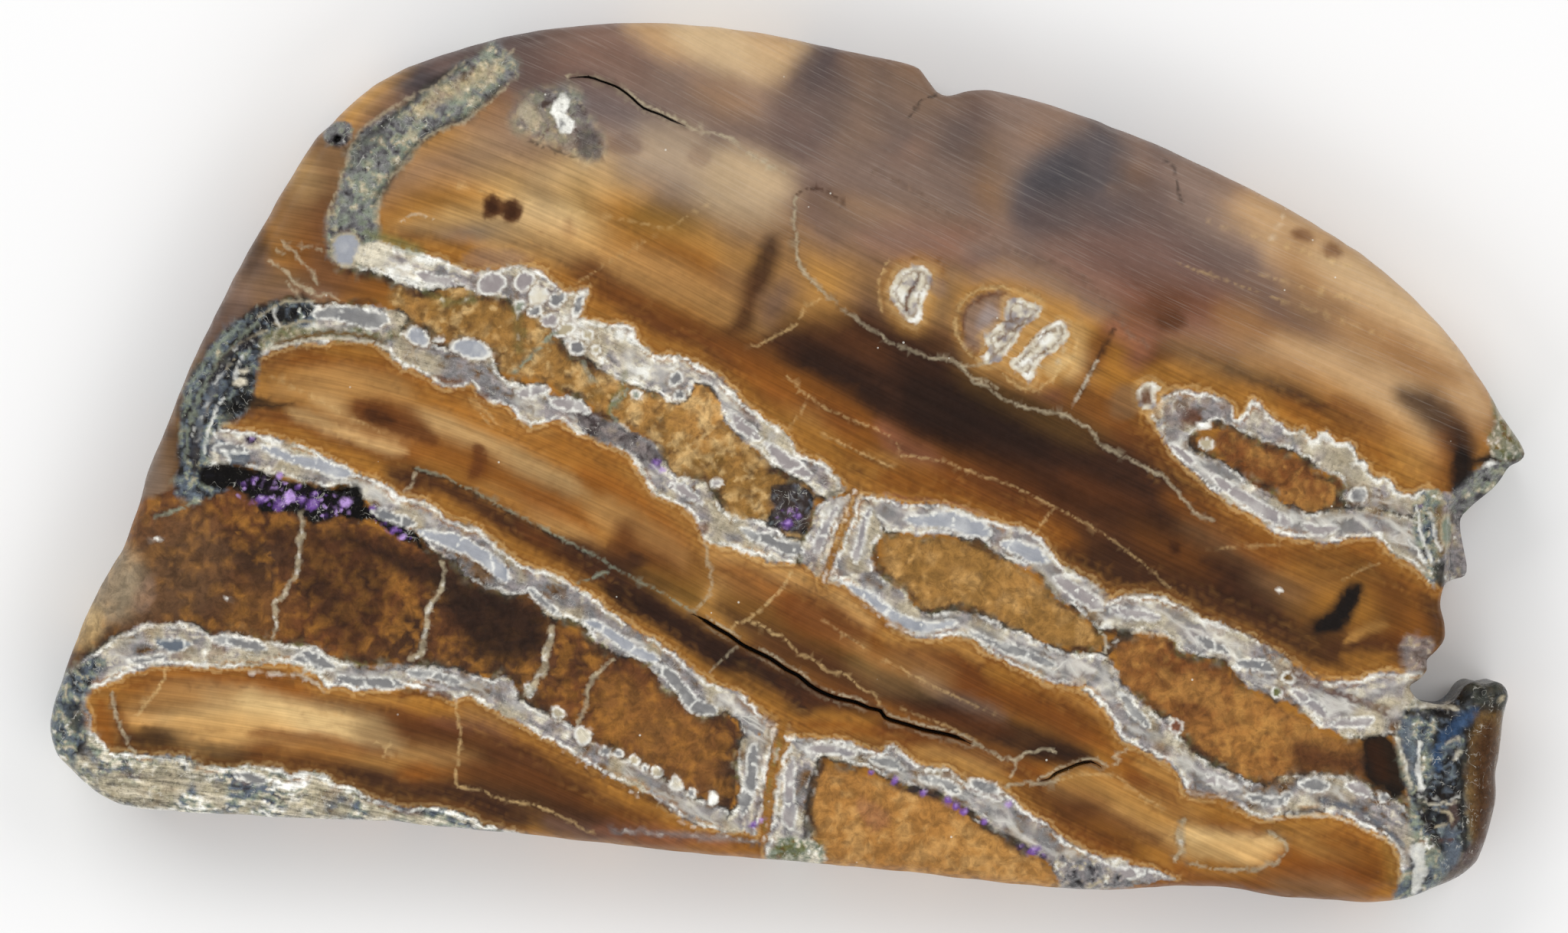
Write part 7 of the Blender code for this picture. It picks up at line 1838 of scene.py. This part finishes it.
# the finish; what ends in Strength is a share, 0 to leave that detail out
polish = {
    "tone": (0.85, 0.86, 0.88, 1),  # all painted colours are multiplied by this
    "dentineRoughness": 0.36,
    "enamelRoughness": 0.28,
    "cementRoughness": 0.45,
    "specular": 0.14,
    "relief": 0.25,
    "reliefHeight": 0.00012,  # metres
    "streakStrength": 0.26,
    "fineLineStrength": 0.14,
    "crumbStrength": 0.8,
    "strandStrength": 0.8,
    "podStrength": 0.3,
    "swirlStrength": 0.5,
    "pitStrength": 0.6,
    "glassStrength": 0.5,
    "seamStrength": 0.7,
    "scratchSheenStrength": 0.10,
    "speckStrength": 0.6,
    "chalk": (0.80, 0.78, 0.70, 1),
    "glass": (0.22, 0.212, 0.20, 1),
    "dirt": (0.028, 0.024, 0.018, 1),
    # colour of the scratches where they catch the painted sheen, a painted highlight
    "scratchSheenColour": (0.62, 0.56, 0.50, 1),
}


def polishedTooth():
    # the painted colours and masks, with the detail that is too fine for the mesh
    material = bpy.data.materials.new("polishedTooth")
    material.use_nodes = True
    shader = material.node_tree.nodes["Principled BSDF"]
    n = NodeMaker(material.node_tree)
    place = n.scaled(n.add("ShaderNodeTexCoord", {})["Object"], (1000, 1000, 1000))  # in millimetres
    flow = n.painted("flow")
    # the third channel of the finish is the painted sheen of the top
    enamel, cement, paintedSheen = n.split(n.painted("finish"))
    pods, fibre, crumb = n.split(n.painted("structure"))

    # growth lines in the dentine
    streaks = n.noise(n.scaled(flow, (0.16, 3.2, 0.3)), 1, 4, 0.6, 0.35)[0]
    lines = n.noise(n.scaled(flow, (0.07, 8.5, 0.3)), 1, 2, 0.5, 0.2)[0]
    dentine = n.minus(1, n.reckon("MAXIMUM", enamel, cement), True)
    layered = n.times(dentine, n.minus(1, n.times(paintedSheen, 0.6)))
    streakShift = n.times(n.swing(streaks, 0.3, 0.7), layered)
    lineShift = n.times(n.swing(lines, 0.35, 0.65), layered)

    # crumbs, fibres and seams in the enamel and the cement
    fine = n.noise(place, 3.1, 5, 0.68)[0]
    fineShift = n.swing(fine, 0.32, 0.68)
    fineAmount = n.plus(n.times(crumb, polish["crumbStrength"]), 0.05)
    strands = n.noise(n.scaled(flow, (0.6, 5.5, 0.6), 1.0, 0.8), 1, 4, 0.62)[0]
    strandShift = n.times(n.swing(strands, 0.32, 0.68), fibre)
    podPlace = n.scaled(flow, (0.40, 1.05, 0.3), 0.8, 0.7)
    podShift = n.times(n.minus(n.split(n.cells(podPlace)[1])[0], 0.5), pods)
    podEdge = n.cells(podPlace, "DISTANCE_TO_EDGE")[0]
    clouds = n.noise(n.scaled(place, (1, 1, 1), 0.8, 1.1), 1.3, 4, 0.6, 0.6)[0]
    fringe = n.plus(podEdge, n.times(n.minus(clouds, 0.5), 0.5))
    fringe = n.between(fringe, 0.02, 0.24, 0.85, 0)
    seams = n.reckon("MAXIMUM", n.between(podEdge, 0.01, 0.045, 1, 0), fringe)
    wisps = n.noise(n.scaled(place, (1, 1, 1), 0.6, 1.4), 1.7, 2, 0.5, 0.8)[0]
    wisps = n.between(n.reckon("ABSOLUTE", n.minus(wisps, 0.5)), 0.004, 0.022, 1, 0)
    swirl = n.noise(n.scaled(place, (1, 1, 1), 0.9, 0.6), 1.5, 5, 0.66, 0.6)[0]
    swirlShift = n.times(n.minus(n.between(swirl, 0.36, 0.64), 0.42), cement)

    gain = n.plus(
        n.times(streakShift, polish["streakStrength"]), 1, n.times(lineShift, polish["fineLineStrength"]),
        n.times(fineShift, fineAmount), n.times(strandShift, polish["strandStrength"]),
        n.times(podShift, polish["podStrength"]), n.times(swirlShift, polish["swirlStrength"]))
    grey = n.add("ShaderNodeCombineColor", {0: gain, 1: gain, 2: gain})[0]
    colour = n.mix(1, n.painted("tint", "Color"), polish["tone"], "MULTIPLY")
    colour = n.mix(1, colour, grey, "MULTIPLY")
    pits = n.between(n.noise(place, 4.3, 3, 0.6)[0], 0.56, 0.66)
    colour = n.mix(n.times(pits, crumb, polish["pitStrength"]), colour, polish["dirt"])
    glassy = n.times(n.between(podEdge, 0.05, 0.3), pods, polish["glassStrength"])
    colour = n.mix(glassy, colour, polish["glass"])
    colour = n.mix(n.times(seams, pods, polish["seamStrength"]), colour, polish["chalk"])
    wispy = n.times(wisps, crumb, n.between(clouds, 0.45, 0.65, 0, 0.6), enamel)
    colour = n.mix(wispy, colour, polish["chalk"])

    # fine scratches of the polish, painted lighter as highlights of the sheen on the top, and white specks
    scratchSheen = n.noise(n.scaled(flow, (0.45, 13, 0.5), 0.4, 0.3), 1, 4, 0.6)[0]
    scratchSheen = n.times(n.between(scratchSheen, 0.52, 0.68), paintedSheen, polish["scratchSheenStrength"])
    colour = n.mix(scratchSheen, colour, polish["scratchSheenColour"])
    speckCells = n.cells(n.scaled(place, (0.8, 0.8, 0.8)))
    picked = n.between(n.split(speckCells[1])[0], 0.7, 0.8)
    specks = n.times(n.between(speckCells[0], 0.03, 0.06, 1, 0), picked, polish["speckStrength"])
    colour = n.mix(specks, colour, polish["chalk"])
    n.feed(shader.inputs["Base Color"], colour)

    plain = polish["dentineRoughness"]
    rough = n.plus(
        n.times(enamel, polish["enamelRoughness"] - plain), plain,
        n.times(cement, polish["cementRoughness"] - plain), n.times(fineShift, 0.12))
    n.feed(shader.inputs["Roughness"], rough)
    n.feed(shader.inputs["Specular IOR Level"], polish["specular"])

    grainy = n.times(fine, n.plus(cement, crumb, 0.2))
    relief = n.plus(grainy, n.times(streaks, 0.4))
    bump = {"Strength": polish["relief"], "Distance": polish["reliefHeight"], "Height": relief}
    n.feed(shader.inputs["Normal"], n.add("ShaderNodeBump", bump)[0])
    return material


mesh, places = buildSlice(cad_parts["tooth_slice"])
colourSlice(mesh, places)
mesh.materials.append(polishedTooth())
toothSlice = bpy.data.objects.new("toothSlice", mesh)
bpy.context.scene.collection.objects.link(toothSlice)
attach(toothSlice, "root")
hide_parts("tooth_slice")
print("slice painted")

# the stage: a pale floor, soft light from the sides and a camera straight above
stage = {
    "floorHalf": 0.6,  # metres, like the places and sizes of the lights
    "floorTone": (0.9, 0.9, 0.9, 1),
    "floorRoughness": 0.9,
    "floorSpecular": 0.1,
    "photoMiddle": (-0.14, -0.18),  # millimetres, where the middle of the photograph falls
    "frameWidth": 81.92,  # millimetres across the picture at the height of the polished face
    "lens": 150,
    "sensor": 36,
    "worldStrength": 0.50,
    "sideLight": 0.95,  # watts
    "softboxes": [(35, 1.0), (125, 1.25), (215, 0.9), (305, 0.8)],  # turn in degrees, share of the power
    "softboxSize": (0.5, 0.3),
    "softboxAway": 0.45,
    "softboxHeight": 0.42,
}


def paleFloor():
    material = bpy.data.materials.new("paleFloor")
    material.use_nodes = True
    shader = material.node_tree.nodes["Principled BSDF"]
    shader.inputs["Base Color"].default_value = stage["floorTone"]
    shader.inputs["Roughness"].default_value = stage["floorRoughness"]
    shader.inputs["Specular IOR Level"].default_value = stage["floorSpecular"]
    return material


def addStage():
    half = stage["floorHalf"]
    floorMesh = bpy.data.meshes.new("floor")
    corners = [(-half, -half, 0), (half, -half, 0), (half, half, 0), (-half, half, 0)]
    floorMesh.from_pydata(corners, [], [(0, 1, 2, 3)])
    floorMesh.materials.append(paleFloor())
    floor = bpy.data.objects.new("floor", floorMesh)
    bpy.context.scene.collection.objects.link(floor)

    world = bpy.data.worlds.new("studio")
    world.use_nodes = True
    world.node_tree.nodes["Background"].inputs[0].default_value = (1, 1, 1, 1)
    world.node_tree.nodes["Background"].inputs[1].default_value = stage["worldStrength"]
    bpy.context.scene.world = world
    for turn, share in stage["softboxes"]:
        light = bpy.data.lights.new("softbox", "AREA")
        light.shape = "RECTANGLE"
        light.size, light.size_y = stage["softboxSize"]
        light.energy = stage["sideLight"] * share
        holder = bpy.data.objects.new("softbox", light)
        a, away = math.radians(turn), stage["softboxAway"]
        holder.location = (away * math.cos(a), away * math.sin(a), stage["softboxHeight"])
        holder.rotation_euler = (-holder.location).to_track_quat("-Z", "Y").to_euler()
        bpy.context.scene.collection.objects.link(holder)

    camera = bpy.data.cameras.new("photoCamera")
    camera.lens, camera.sensor_width = stage["lens"], stage["sensor"]
    camera.clip_start, camera.clip_end = 0.01, 5
    eye = bpy.data.objects.new("photoCamera", camera)
    middleX, middleY = stage["photoMiddle"]
    above = sliceShape["faceHeight"] + stage["frameWidth"] * stage["lens"] / stage["sensor"]
    eye.location = (middleX * mm, middleY * mm, above * mm)
    bpy.context.scene.collection.objects.link(eye)
    bpy.context.scene.camera = eye
    bpy.context.scene.view_settings.view_transform = "Standard"  # the photograph's own plain contrast
    print("stage set")


addStage()
